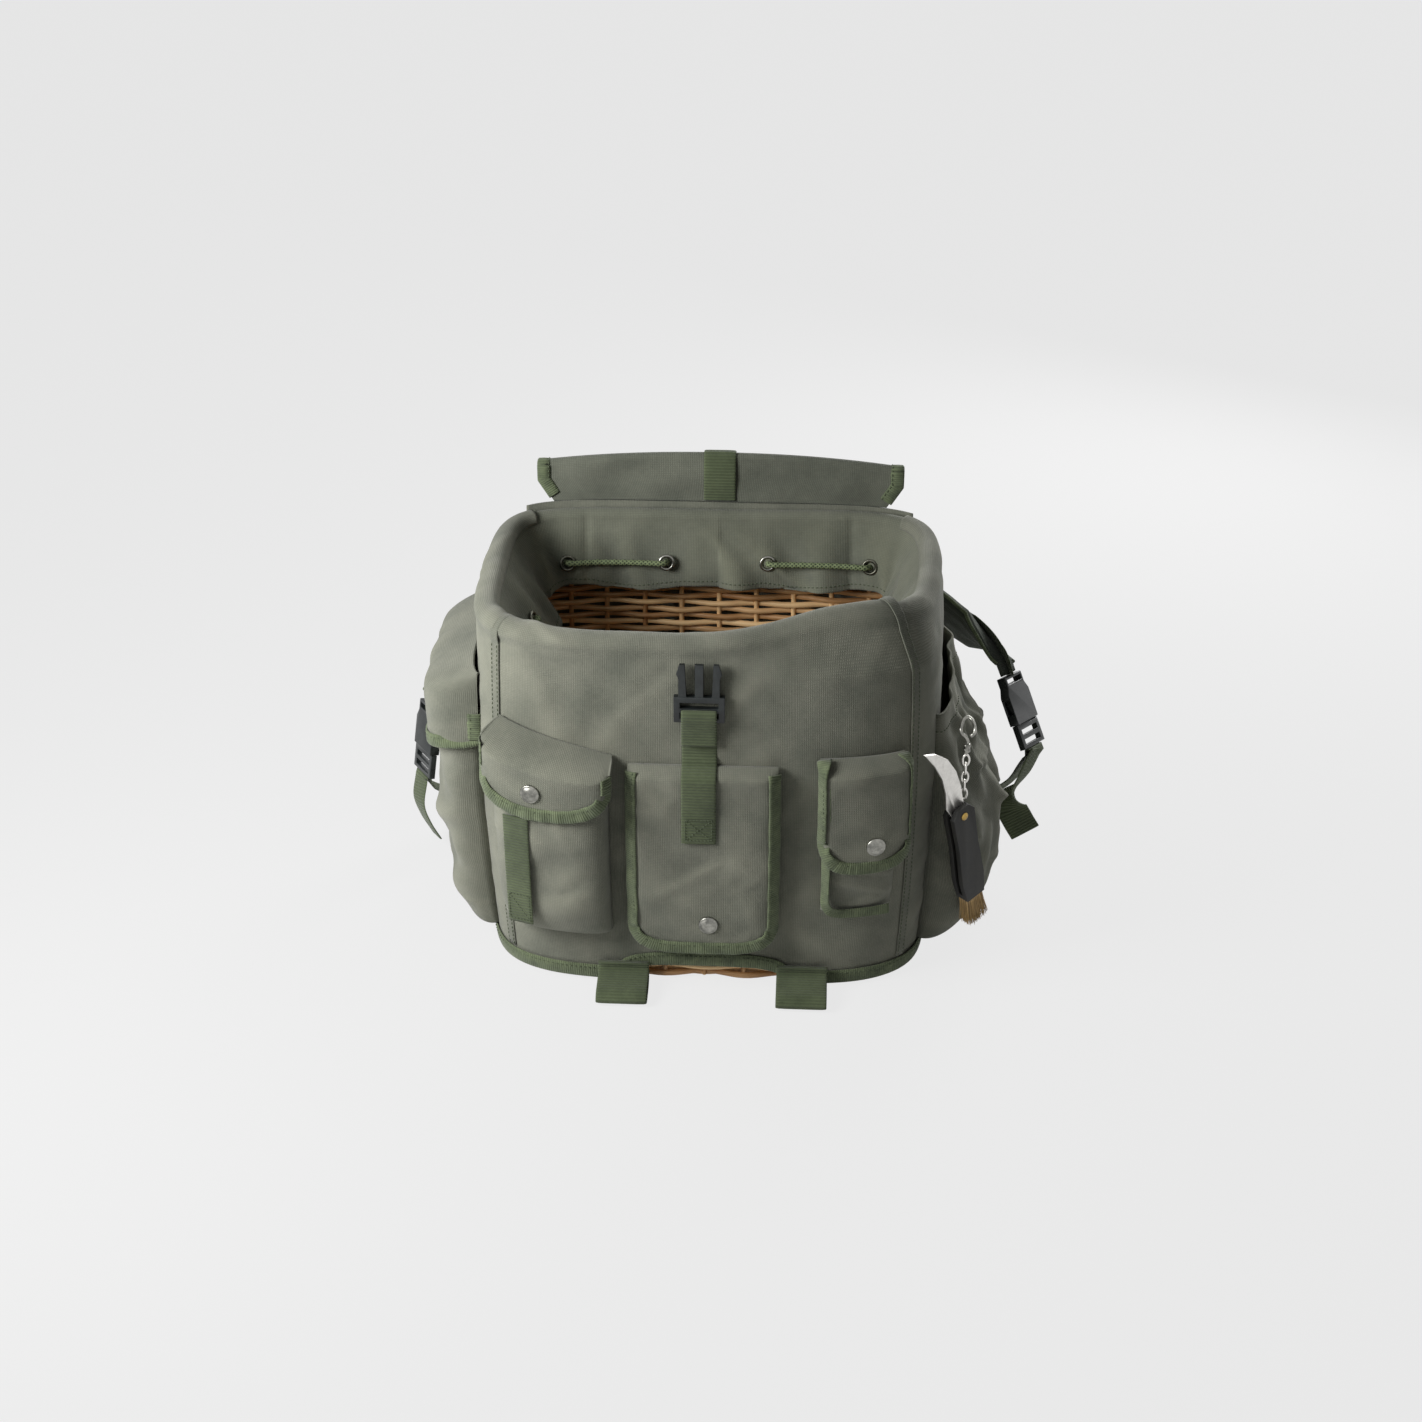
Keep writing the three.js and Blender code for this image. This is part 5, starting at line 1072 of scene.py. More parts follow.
def make_corner_seam(number, angle):
    """One corner's raised strip, up the cover and over its rim; returns its two rows of stitches."""
    z = np.linspace(SEAM_FOOT, float(rim_at(angle)) - COVER_ROLL, 40)
    face = cover(np.full(40, angle), z, 0)
    path = cover(np.full(40, angle), z, COVER_EASE + CLOTH + SEAM_THICKNESS)
    across = unit(cover(np.full(40, angle + 0.01), z, 0) - face)
    over = np.linspace(0.0, RIM_TURN[1] if abs(angle) == FRONT_SEAM else 0.08, 14)[1:]
    rim = collar_place(angle, over, CLOTH / 2 + 1.6 + 1.4 * np.sin(over * 9))
    strip = np.concatenate([path, rim])
    made = ribbon(f"corner_seam_{number}", strip, across[20], SEAM_WIDTH, SEAM_THICKNESS, CANVAS)
    stands_for(made, "root", "canvas")
    normal = unit(cover(np.full(40, angle), z, 1) - face)
    return [(path + across * side + normal * 0.7, normal) for side in (-SEAM_STITCH, SEAM_STITCH)]


def make_seams():
    """Flat-felled seams down the cover's four corners, their stitches as one piece."""
    lines = []
    for number, angle in enumerate((-FRONT_SEAM, FRONT_SEAM, -BACK_SEAM, BACK_SEAM)):
        lines += make_corner_seam(number, angle)
    stands_for(stitches("seam_stitches", lines, THREAD), "root", "binding_tape")


def make_hem():
    """Binding tape folded round the cover's lower edge: its section carried round the wall."""
    angle = np.linspace(-math.pi, math.pi, 240, endpoint=False)[:, None]
    edge = hem_at(angle)
    section = np.array([(1.4, -2.2), (3.4, -2.5), (5.4, -2.3), (6.2, -1.2), (6.25, 4), (6.15, 9.2),
                        (5.6, 9.9), (4.95, 9.6), (4.9, 4), (4.85, -0.7), (3.2, -1.0), (1.4, -1.0)])
    wave = 0.35 * ripples(np.degrees(angle) * 4, edge, 60, 8)
    grid = wall(angle, edge + section[:, 1] + 0.5 * wave, section[:, 0] + wave)
    made = outward_faces(surface("hem_tape", grid, TAPE_CLOTH, around=True, along=True))
    stands_for(made, "root", "binding_tape", "hem_binding")
    ring = np.linspace(-math.pi, math.pi, 400)
    line = wall(ring, hem_at(ring) + 7.2, 6.35)
    normal = unit(wall(ring, hem_at(ring), 7) - wall(ring, hem_at(ring), 6))
    stands_for(stitches("hem_stitches", [(line, normal)], THREAD), "root", "binding_tape")


# Collar, eyelets, drawcord

def collar_place(angle, v, stand_off=0.0):
    """Up the cover's edge, over the rim in a half circle and down inside, leaning in with gathers."""
    angle, v = np.broadcast_arrays(np.asarray(angle, float), np.asarray(v, float))
    top = rim_at(angle)
    start = COVER_EASE + CLOTH / 2
    centre = start - COLLAR_ROLL
    rise, arc, fall = COVER_ROLL - COLLAR_ROLL, math.pi * COLLAR_ROLL, COLLAR_DROP - COLLAR_ROLL
    along = v * (rise + arc + fall)
    radius = COLLAR_ROLL + stand_off
    turn = np.clip((along - rise) / COLLAR_ROLL, 0, math.pi)
    t = np.clip((along - rise - arc) / fall, 0, 1)
    lean = COLLAR_LEAN * t * (1.3 - 0.3 * t)
    gather = COLLAR_FOLD * np.sin(COLLAR_FOLDS * angle) * t * t
    slack_at = hump(angle, -SLACK_ANGLE) + hump(angle, SLACK_ANGLE)
    shift = CORNER_LEAN * hump(angle, CORNER_ANGLE) * (1 - 0.6 * t) + SLACK_LEAN * slack_at * t
    up = cover(angle, top - COVER_ROLL + along, start + stand_off)
    over = cover(angle, top - COLLAR_ROLL + radius * np.sin(turn), centre + radius * np.cos(turn))
    down = wall(angle, top - COLLAR_ROLL - t * fall, centre - radius - lean + gather - shift)
    return np.where((along < rise)[..., None], up, np.where((along < rise + arc)[..., None], over, down))


def collar_share(drop):
    """The share of the collar's length at a drop below the rim."""
    before = COVER_ROLL - COLLAR_ROLL + math.pi * COLLAR_ROLL
    return (before + drop - COLLAR_ROLL) / (before + COLLAR_DROP - COLLAR_ROLL)


def collar_frame(angle):
    """Place, across, normal and up directions on the hanging collar at the cord's height."""
    v, step = collar_share(CORD_DROP), 0.01
    place = collar_place(angle, v)
    across = unit(collar_place(angle + step, v) - collar_place(angle - step, v))
    down = unit(collar_place(angle, v + step) - collar_place(angle, v - step))
    inwards = wall(angle, COVER_RIM, 0) - wall(angle, COVER_RIM, 1)
    normal = turned_to(unit(np.cross(across, down)), inwards)
    return place, across, normal, np.cross(across, normal)


def collar_rest(angle, v):
    """The frame's collar, its back longer and shorter by turns, and the directions off its seen face."""
    reach = np.interp(wall(angle, COVER_RIM, 0)[..., 0], *np.transpose(COLLAR_EDGE_SHARES))
    reach = np.where(np.abs(angle) > COLLAR_BACK, reach, 1)
    share = np.where(v > COLLAR_EDGE_FROM, COLLAR_EDGE_FROM + (v - COLLAR_EDGE_FROM) * reach, v)
    grid = collar_place(angle, share)
    around = np.roll(grid, -1, 1) - np.roll(grid, 1, 1)
    normal = unit(np.cross(around, np.gradient(grid, axis=0)))
    inside = grid * (-1, -1, 0)
    return grid, normal * np.sign((normal[-5] * inside[-5]).sum())


def collar_unrest(angle, v, lengths):
    """The depth of the collar's finer folds, which deepen downwards, and of its seams, and its wear."""
    tall, fall = v * COLLAR_LENGTH, smooth_step(0.2, 1, v)
    gather = 2.2 * np.sin(lengths / 8.2 + 2.4 * ripples(lengths, tall, 110, 21))
    gather = gather + 1.6 * ripples(lengths, tall * 0.35, 36, 22)
    slant = creases(lengths + 0.9 * tall, tall * 0.6, 78, 23)
    seam = sum(np.exp(-((angle - place) / 0.014) ** 2) for place in COLLAR_SEAMS)
    depth = (gather * 0.8 + 2.6 * slant - 1.0) * fall - 0.5 * (1 - fall)
    depth = depth - 1.6 * seam * smooth_step(0.2, 0.4, v)
    worn = 0.45 * slant * fall + 0.2 * np.clip(gather * fall, 0, 1)
    return depth, worn + 0.3 * smooth_step(0.08, 0.16, v) * (1 - fall)


def make_collar():
    """The collar's cloth with its folds, and the stitches above its lower edge."""
    angle = np.linspace(-math.pi, math.pi, 420, endpoint=False)[None]
    v = np.concatenate([np.linspace(0, 0.2, 14), np.linspace(0.2, 1, 44)[1:]])[:, None]
    lengths = np.interp(angle, GIRTH_ANGLES, GIRTH) + 0 * v
    depth, worn = collar_unrest(angle, v, lengths)
    grid, normal = collar_rest(angle, v)
    grid = grid + normal * depth[..., None]
    # The collar's cloth takes the darker canvas colours: painted shade.
    made = thicken(surface("collar_cloth", grid, CANVAS_SHADED, around=True, worn=worn), 1.2, 0)
    stands_for(made, "root", "canvas", "collar")
    hem = grid[-4] + normal[-4] * 0.75
    stands_for(stitches("collar_hem_stitches", [(hem, normal[-4])], THREAD), "root", "binding_tape")


def make_eyelets():
    """Pressed rings with a rolled lip in the collar's holes."""
    profile = [(EYELET_HOLE, 0.2), (EYELET_HOLE - 0.3, 1.6), (EYELET_HOLE + 0.3, 2.5), (5.3, 2.9), (6.2, 2.5),
               (EYELET_RIM, 1.7), (EYELET_RIM - 0.2, 1.2), (EYELET_HOLE, 0.2)]
    profile = [(radius, height + CLOTH / 2 - 0.2) for radius, height in profile]
    for place, degrees in EYELET_ANGLES.items():
        centre, _, normal, _ = collar_frame(math.radians(degrees))
        metal = NICKEL if place.endswith("inner") else RING_BRASS
        made = lathe(f"eyelet_ring_{place}", profile, 36, centre, normal, metal)
        stands_for(made, "root", "nickel", f"eyelet_{place}")


def cord_place(angle, side):
    """The cord's place: on the collar's visible face for side 1, behind it for -1."""
    place, _, normal, _ = collar_frame(angle)
    return place + normal * side * CORD_STAND_OFF


def cord_between(start, end, side, count):
    """Places evenly between two eyelets, without the eyelets, on one side of the collar."""
    return [cord_place(angle, side) for angle in np.linspace(start, end, count + 1)[1:-1]]


def cord_through(angle, side):
    """The cord's way through an eyelet, out on the side that is given."""
    place, across, normal, _ = collar_frame(angle)
    return [place - across * CORD_CROSSING - normal * side * CORD_STAND_OFF, place,
            place + across * CORD_CROSSING + normal * side * CORD_STAND_OFF]


def cord_end(side):
    """One end's way from the front eyelets down through the lock, and its stopper knot's stretch below."""
    start = cord_place(0.0, 1)
    x, y = side * CORD_END_SPACING, start[1] + CORD_END_INSET
    drops = ((2.2 * x, start[1] + CORD_END_INSET / 3, 0.02), (x, y, 0.16), (x, y, 0.5), (x, y, 0.92))
    fall = [np.array((a, b, start[2] - CORD_END_DROP * share)) for a, b, share in drops]
    return fall + [fall[3] - (0, 0, share * KNOT_RADIUS) for share in (0.6, 1, 1.5, 2, 2.4)]


def cord_route():
    """The drawcord's route: in and out of the eyelets round the collar, its ends down through the lock."""
    e = {name: math.radians(value) for name, value in EYELET_ANGLES.items()}
    right = [*cord_through(e["back_right_inner"], -1)[::-1],
             *cord_between(e["back_right_inner"], e["back_right_outer"], 1, 4),
             *cord_through(e["back_right_outer"], 1)[::-1],
             *cord_between(e["back_right_outer"], e["front_right"], -1, 15),
             *cord_through(e["front_right"], -1)[::-1]]
    left = [*cord_through(e["back_left_inner"], 1),
            *cord_between(e["back_left_inner"], e["back_left_outer"], 1, 4),
            *cord_through(e["back_left_outer"], -1),
            *cord_between(e["back_left_outer"], e["left_back"], -1, 6),
            *cord_through(e["left_back"], 1),
            *cord_between(e["left_back"], e["left_front"], 1, 4),
            *cord_through(e["left_front"], -1),
            *cord_between(e["left_front"], e["front_left"], -1, 8),
            *cord_through(e["front_left"], 1)]
    middle = cord_between(e["back_right_inner"], TURN + e["back_left_inner"], -1, 4)
    return np.array([*cord_end(1)[::-1], *right[::-1], *middle, *left, *cord_end(-1)])


def make_drawcord():
    """A braided cord along its route, with a stopper knot at each end, and the cord lock."""
    path = smooth_path(cord_route(), 1300)
    length = float(np.linalg.norm(np.diff(path, axis=0), axis=1).sum())
    s = np.linspace(0, length, len(path))
    knot = np.exp(-((np.minimum(s, length - s) - 6) / 3.4) ** 2)
    radius = CORD_RADIUS * (1 + 0.06 * np.sin(s / 1.1)) \
        + (KNOT_RADIUS - CORD_RADIUS) * knot * (1 + 0.15 * np.sin(s * 2.2))
    grid = sweep(path, (0.2, 0.1, 1), circle(1, 10)[None] * radius[:, None, None])
    made = outward_faces(surface("drawcord_braid", grid, BRAID, around=True, caps=True))
    stands_for(made, "root", "cord_yarn", "drawcord")
    made = softened("cord_lock", "cord_lock_barrel", 1.0, ACETAL, 40, 3)
    stands_for(made, "cord_stop", "buckle_plastic", "cord_lock")


# Pockets and flaps

def box_rise(share, power=4):
    """How far a box-like form has risen: (1 - |2s - 1|^p)^(1/p)."""
    return np.maximum(0, 1 - np.abs(2 * share - 1) ** power) ** (1 / power)


def pocket_grid(centre, half, bottom, top, depth, sag=0, droop=0, rows=80, cols=100):
    """A pocket's outer face: a box-like swell off the wall, with u round it and its height by share."""
    u = np.linspace(0, 1, cols)[None]
    w = np.linspace(0, 1, rows)[:, None]
    across = 0.5 - 0.5 * np.cos(math.pi * u)
    up = w * w * (1.6 - 0.6 * w)
    swell = box_rise(across) * box_rise(up / 2)
    full = depth + sag * np.sin(math.pi * np.sqrt(up)) ** 2
    z = bottom + up * (top - bottom) - droop * swell * (1 - up) ** 2
    lengths = centre + (2 * across - 1) * half + 0 * z
    return lengths, z, swell, full, across + 0 * z, up + 0 * across


def make_pocket(node, centre, half, bottom, top, depth, seed, sag=0, droop=0, soft=1.0, gather=0.0, hem=14,
                drawn=0.0):
    """A sewn pocket: swells, fold ridges and, under its hem, gathers as the hem draws in."""
    lengths, z, swell, full, across, up = pocket_grid(centre, half, bottom, top, depth, sag, droop)
    swell = swell * (1 - drawn * smooth_step(0.5, 1, up))
    broad = ripples(lengths, z, 46, seed)
    ridge = creases(lengths * 0.7 + z * 0.5, z, 54, seed + 1)
    pleat = np.sin(lengths / 5.2 + 2.2 * ripples(lengths, z, 60, seed + 2))
    pleat = pleat * gather * smooth_step(0.45, 1, up)
    free = box_rise(across, 8) * smooth_step(0, 0.12, up)
    unrest = soft * (1.2 * broad + 2.0 * ridge - 0.5) + pleat
    hemmed = 0.8 * smooth_step(top - hem, top - hem + 1.5, z)
    unrest = unrest * free * (1 - 0.4 * hemmed) + hemmed
    grid = on(lengths, z, POCKET_STAND_OFF + swell * full + unrest * np.minimum(1, swell * 2))
    worn = 0.5 * ridge * free + 0.3 * hemmed + 0.25 * np.clip(broad, 0, 1) * free
    made = thicken(surface(node + "_cloth", grid, CANVAS, worn=worn), 1.6)
    stands_for(made, "root", "canvas", node)
    row = int(np.argmin(np.abs(z[:, 50] - (top - hem + 2.5))))
    normal = unit(np.cross(np.gradient(grid[row], axis=0), grid[row + 1] - grid[row]))
    normal = turned_to(normal, grid[row] * (1, 1, 0))
    line = grid[row] + normal * 0.2
    stands_for(stitches(node + "_stitches", [(line, normal)], THREAD), "root", "binding_tape")


def flap_place(flap, across, w, out):
    """A flap's face: from its hinge out over the pocket along a quarter sine and down its front."""
    hinge = flap["hinge"] - flap["rise"] * across
    bend = np.maximum(0, 1 - np.minimum(1, np.abs(across)) ** flap["squareness"])
    drop_share = 1 - flap["round"] * (1 - np.sqrt(bend))
    drop = (hinge - flap["bottom"] - flap["slant"] * (1 + across) / 2) * drop_share * w
    lift = flap["depth"] * np.sin(np.minimum(1, w / flap["shoulder"]) * math.pi / 2)
    lift = lift * (1 - flap["curl"] * np.minimum(1, np.abs(across)) ** 12)
    return on(flap["centre"] + across * flap["half"], hinge - drop, POCKET_STAND_OFF + lift + out)


def flap_normal(flap, across, w):
    """The direction off a flap's face, from the cross product of its two slopes."""
    step = 0.01
    side = flap_place(flap, across + step, w, 0) - flap_place(flap, across - step, w, 0)
    fall = flap_place(flap, across, w + step, 0) - flap_place(flap, across, np.maximum(w - step, 0), 0)
    normal = unit(np.cross(side, fall))
    place = flap_place(flap, across, w, 0)
    return normal * np.sign((normal * place * (1, 1, 0)).sum(-1, keepdims=True) + 1e-9)


CENTRE_FLAP = {
    "node": "centre_pocket_flap", "body": "centre_flap", "binding": ("centre_flap_binding",),
    "snap": "centre_snap", "snap_at": (0.08, 0.84),
    "centre": 0, "half": 54, "hinge": 195, "rise": 0, "bottom": 40, "slant": 0, "depth": 10 + FLAP_EASE,
    "shoulder": 0.05, "round": 0.14, "squareness": 4.0, "curl": 0.55,
    "tape_from": 0.03, "soft": 1.0, "strapped": 1, "seed": 61,
}
LEFT_FLAP = {
    "node": "left_pocket_flap", "body": "left_flap", "binding": ("left_flap_binding",),
    "snap": "left_snap", "snap_at": (-0.2, 0.62),
    "centre": -106, "half": 41, "hinge": 211, "rise": 10, "bottom": 160, "slant": 0, "depth": 27 + FLAP_EASE,
    "shoulder": 0.33, "round": 0.55, "squareness": 2.6, "curl": 0.3,
    "tape_from": 0.36, "soft": 0.8, "strapped": 0, "seed": 64,
}
RIGHT_FLAP = {
    "node": "right_pouch_flap", "body": "right_flap", "binding": ("right_flap_binding",),
    "snap": "right_snap", "snap_at": (0.2, 0.76),
    "centre": 113, "half": 30, "hinge": 202, "rise": 0, "bottom": 115, "slant": 0, "depth": 15 + FLAP_EASE,
    "shoulder": 0.11, "round": 0.3, "squareness": 3.2, "curl": 0.45,
    "tape_from": 0.02, "soft": 0.8, "strapped": 0, "seed": 67,
}
SIDE_FLAP = {
    "node": "left_side_pocket_flap", "body": "left_side_flap", "binding": (),
    "snap": None, "snap_at": None,
    "centre": -SIDE_CENTRE, "half": 77, "hinge": 240, "rise": 0, "bottom": 152, "slant": 24,
    "depth": 36 + FLAP_EASE, "shoulder": 0.3, "round": 0.12, "squareness": 5.0, "curl": 1.0,
    "tape_from": 0.6, "soft": 1.2, "strapped": 0, "seed": 70,
}


def flap_unrest(flap, across, w):
    """A flap's dents and ridges in millimetres, still at its edges and under a strap, and its wear."""
    u, v = across * flap["half"], w * (flap["hinge"] - flap["bottom"])
    calm = (1 - across ** 4) * smooth_step(0, flap["shoulder"], w) * (1 - smooth_step(0.86, 1, w))
    strap = np.exp(-((u - STRAP_SHIFT) / 18) ** 4) * (1 - smooth_step(60, 80, v))
    calm = calm * (1 - flap["strapped"] * strap)
    ridge = creases(u + 0.4 * v, v, 70, flap["seed"])
    broad = ripples(u, v, 48, flap["seed"] + 1)
    worn = 0.5 * ridge * calm + 0.25 * np.clip(broad, 0, 1) * calm
    return flap["soft"] * calm * (0.8 * broad + 1.2 * ridge), worn


def hinge_blend(flap):
    """The two points between which a flap's cloth turns: just over its hinge seam and a little below it."""
    spot = flap_place(flap, 0.0, 0.0, 0)
    return (spot[0], spot[1], spot[2] + 3), (spot[0], spot[1], spot[2] - 9)


def flap_edge(flap):
    """A flap's taped edge as (across, down) shares: down one side, along its foot and up the other."""
    sides = np.linspace(flap["tape_from"], 1, 40)
    foot = np.sin(np.linspace(-1, 1, 90)[1:-1] * math.pi / 2)
    across = np.concatenate([-np.ones(40), foot, np.ones(40)])
    return across, np.concatenate([sides, np.ones(88), sides[::-1]])


def flap_edge_frame(flap, across, w):
    """The line of a flap's edge, with the directions in over the cloth and off its face."""
    edge = flap_place(flap, across, w, CLOTH)
    along = unit(np.gradient(edge, axis=0))
    beside, below = np.abs(across) ** 8, smooth_step(0.75, 1, w) * (1 - np.abs(across) ** 12)
    inner = flap_place(flap, across * (1 - 0.1 * beside), w - 0.1 * below, CLOTH)
    inward = square_to(along, inner - edge)
    outward = flap_normal(flap, np.clip(across, -0.9, 0.9), np.clip(w, 0.02, 0.95))
    return edge, inward, turned_to(np.cross(along, inward), outward)


def folded_tape(edge, inward, normal, section):
    """A tape's section of (in over the cloth, off its face) points, carried along an edge."""
    return edge[:, None] + inward[:, None] * section[:, :1] + normal[:, None] * section[:, 1:]


def make_flap_tape(flap):
    """The tape folded round a flap's free edge, and its stitches."""
    section = np.array([(6, -2.6), (2.5, -3.1), (-0.6, -3.0), (-1.7, -2.2), (-2.0, -0.9), (-1.6, 0.5),
                        (-0.4, 1.25), (3, 1.45), (TAPE_WIDTH - 1.5, 1.4), (TAPE_WIDTH, 1.2),
                        (TAPE_WIDTH + 0.4, 0.4)])
    edge, inward, normal = flap_edge_frame(flap, *flap_edge(flap))
    tape = folded_tape(edge, inward, normal, section)
    uneven = ripples(np.arange(len(edge)) * 3.0, 0, 22, flap["seed"] + 3)
    tape += normal[:, None] * 0.25 * uneven[:, None, None]
    made = thicken(surface(flap["node"] + "_tape", tape, TAPE_CLOTH), 0.8, 0)
    stands_for(made, flap["body"], "binding_tape", *flap["binding"])
    line = edge + inward * (TAPE_WIDTH - 2) + normal * 1.65
    made = stitches(flap["node"] + "_stitches", [(line, normal)], THREAD)
    stands_for(made, flap["body"], "binding_tape")


def make_snap(flap):
    """A flap's pressed snap cap: a flat rim, a step and a dome."""
    profile = [(0, -1.2), (6.9, -1.2), (7.3, 0.1), (7.1, 0.9), (6.5, 1.35), (5.9, 1.25), (5.6, 1.5),
               (4.6, 2.3), (3.0, 2.85), (1.2, 3.05), (0, 3.1)]
    profile = [(radius, height + 0.8) for radius, height in profile]
    spot = flap_place(flap, *flap["snap_at"], CLOTH)
    made = lathe(flap["snap"] + "_cap", profile, 44, spot, flap_normal(flap, *flap["snap_at"]), NICKEL)
    stands_for(made, flap["body"], "nickel", flap["snap"])


def make_flap(flap):
    """A flap's cloth, its folded tape and its snap cap."""
    w = np.linspace(0, 1, 70)[:, None] ** 1.15
    across = np.sin(np.linspace(-1, 1, 80) * math.pi / 2)[None]
    unrest, worn = flap_unrest(flap, across, w)
    grid = flap_place(flap, across + 0 * w, w + 0 * across, CLOTH + unrest)
    made = thicken(surface(flap["node"] + "_cloth", grid, CANVAS, worn=worn), 1.7)
    start, end = hinge_blend(flap)
    bends(made, "root", flap["body"], start, end, "canvas", flap["node"])
    make_flap_tape(flap)
    if flap["snap"]:
        make_snap(flap)


def make_pouch_tape():
    """Tape over the right pouch's edge: down its left side, round its lower corner and along its foot."""
    turn = np.linspace(0, math.pi / 2, 16)
    corner, low = POUCH_TAPE_CORNER, POUCH_TAPE_FOOT
    left, right = POUCH_CENTRE - 23.5, POUCH_CENTRE + 21
    lengths = np.concatenate([np.full(40, left), left + corner * (1 - np.cos(turn)),
                              np.linspace(left + corner, right, 24)])
    z = np.concatenate([np.linspace(POUCH_TAPE_TOP, low + corner, 40), low + corner * (1 - np.sin(turn)),
                        np.full(24, low)])
    out = POCKET_STAND_OFF + 14.4 * np.minimum(1, ((z - 68) / 12) ** 0.5)
    path = resample(on(lengths, z, out), 80)
    middle = np.array((float(on(POUCH_CENTRE, 120, 20)[0]), 0, 130))
    inward = unit((middle - path) * (1, 0, 1))
    outward = unit(on(lengths[:1], 120, 20) - on(lengths[:1], 120, 19))
    foot = smooth_step(42, 60, np.arange(80))[:, None]
    path = path + outward * 1.6 * foot
    across = inward + 0.75 * (1 - foot) * outward
    made = ribbon("right_pouch_tape", path, across, TAPE_WIDTH, 1.0, TAPE_CLOTH)
    stands_for(made, "root", "binding_tape")


def make_tab():
    """The left pocket's webbing tab, with a stitched box and its diagonal."""
    z = np.linspace(158, 66, 60)
    path = on(TAB_CENTRE, z, POCKET_STAND_OFF + 28.6)
    side = unit(on(TAB_CENTRE + 1, z, 30) - on(TAB_CENTRE - 1, z, 30))
    made = ribbon("left_pocket_tab_webbing", path, side, 20, 1.6, WEBBING_CLOTH)
    stands_for(made, "root", "webbing", "left_pocket_tab")
    normal = unit(on(TAB_CENTRE, z, 30) - on(TAB_CENTRE, z, 29))
    low, high = 43, 57
    a, b = path[low] - side[low] * 8, path[low] + side[low] * 8
    c, d = path[high] + side[high] * 8, path[high] - side[high] * 8
    corners = [a, b, c, d, a, c]
    box = np.concatenate([np.linspace(p, q, 10) for p, q in zip(corners, corners[1:])]) + normal[50] * 0.95
    made = stitches("left_tab_stitches", [(box, normal[50])], THREAD, 2.6, 2.0)
    stands_for(made, "root", "binding_tape")


def make_pockets():
    """The five pockets, the left one's webbing tab and the right pouch's edge tape."""
    make_pocket("centre_pocket_body", 0, 49, 44, 186, 10, seed=81, soft=0.5, hem=10)
    make_pocket("left_pocket_body", -106, 38, 50, 185, 27, seed=84, soft=0.7)
    make_pocket("right_pouch_body", POUCH_CENTRE, 25, 72, 192, 15, seed=87, soft=0.6, hem=10)
    make_pocket("left_side_pocket_body", -SIDE_CENTRE, 72, 16, 208, 36, seed=90, droop=9, soft=1.5,
                gather=1.4, hem=18)
    make_pocket("right_side_pocket_body", SIDE_CENTRE, 75, 16, 214, 40, seed=93, sag=13, droop=9, soft=3.0,
                gather=4.2, hem=18, drawn=0.78)
    make_pouch_tape()
    make_tab()


# Webbing on the front

def box_stitch(path, side, normal, first, last, half, lift):
    """A stitched box with its two diagonals between two rows of a webbing path."""
    a, b = path[first] - side[first] * half, path[first] + side[first] * half
    c, d = path[last] + side[last] * half, path[last] - side[last] * half
    corners = [a, b, c, d, a, c, d, b]
    line = np.concatenate([np.linspace(p, q, 14) for p, q in zip(corners, corners[1:])])
    return line + normal * lift, normal


def front_strap_face():
    """The strap's line from the buckle's bar, on the cover and then over the flap, to its stitched end."""
    fall = CENTRE_FLAP["hinge"] - CENTRE_FLAP["bottom"]
    shoulder = CENTRE_FLAP["hinge"] - CENTRE_FLAP["shoulder"] * fall
    z = np.concatenate([np.linspace(STRAP_TOP + 9, 202, 26), np.linspace(201, shoulder, 16),
                        np.linspace(shoulder - 1, STRAP_STITCH, 60)])
    share = np.clip((CENTRE_FLAP["hinge"] - z) / fall, 0, 1)
    climb = np.sin(np.minimum(1, share / CENTRE_FLAP["shoulder"]) * math.pi / 2)
    rest = np.full(len(z), POCKET_STAND_OFF + 1.4)
    over = POCKET_STAND_OFF + CENTRE_FLAP["depth"] * climb + CLOTH + 1.7
    blend = smooth_step(204, 194, z)
    lift = 2.6 * smooth_step(STRAP_TOP - 8, STRAP_TOP + 6, z)
    return on(STRAP_SHIFT + 0 * z, z, rest * (1 - blend) + over * blend + lift)


def make_front_strap():
    """One strip of webbing from the buckle's bar over the flap's top to its stitched end, and the plug."""
    path = front_strap_face()
    loop = [(STRAP_SHIFT, float(path[0, 1]) + y, z) for y, z in STRAP_LOOP]
    fold = smooth_path([*loop[::-1], tuple(path[0]), tuple(path[4])], 50)[:-6]
    path = resample(np.concatenate([fold, path[4:]]), 190)
    made = ribbon("front_strap_webbing", path, (1, 0, 0), WEBBING, WEBBING_THICKNESS, WEBBING_CLOTH)
    bends(made, "root", "centre_flap", (0, STRAP_HINGE, 203), (0, STRAP_HINGE, 187), "webbing", "front_strap",
          "front_strap_sewn")
    z = np.linspace(STRAP_STITCH + 3, STRAP_STITCH + 20, 20)
    line = on(STRAP_SHIFT + 0 * z, z, POCKET_STAND_OFF + CENTRE_FLAP["depth"] + CLOTH + 1.7)
    side = np.tile((1.0, 0, 0), (20, 1))
    box = box_stitch(line, side, np.array((0, -1.0, 0)), 0, 19, 9.5, 1.0)
    made = stitches("front_strap_stitches", [box], THREAD, 2.6, 2.0)
    stands_for(made, "centre_flap", "binding_tape")
    made = softened("front_buckle_plug", "front_plug_moulding", 0.7, ACETAL)
    stands_for(made, "front_plug", "buckle_plastic", "front_buckle_plug")


# Lid

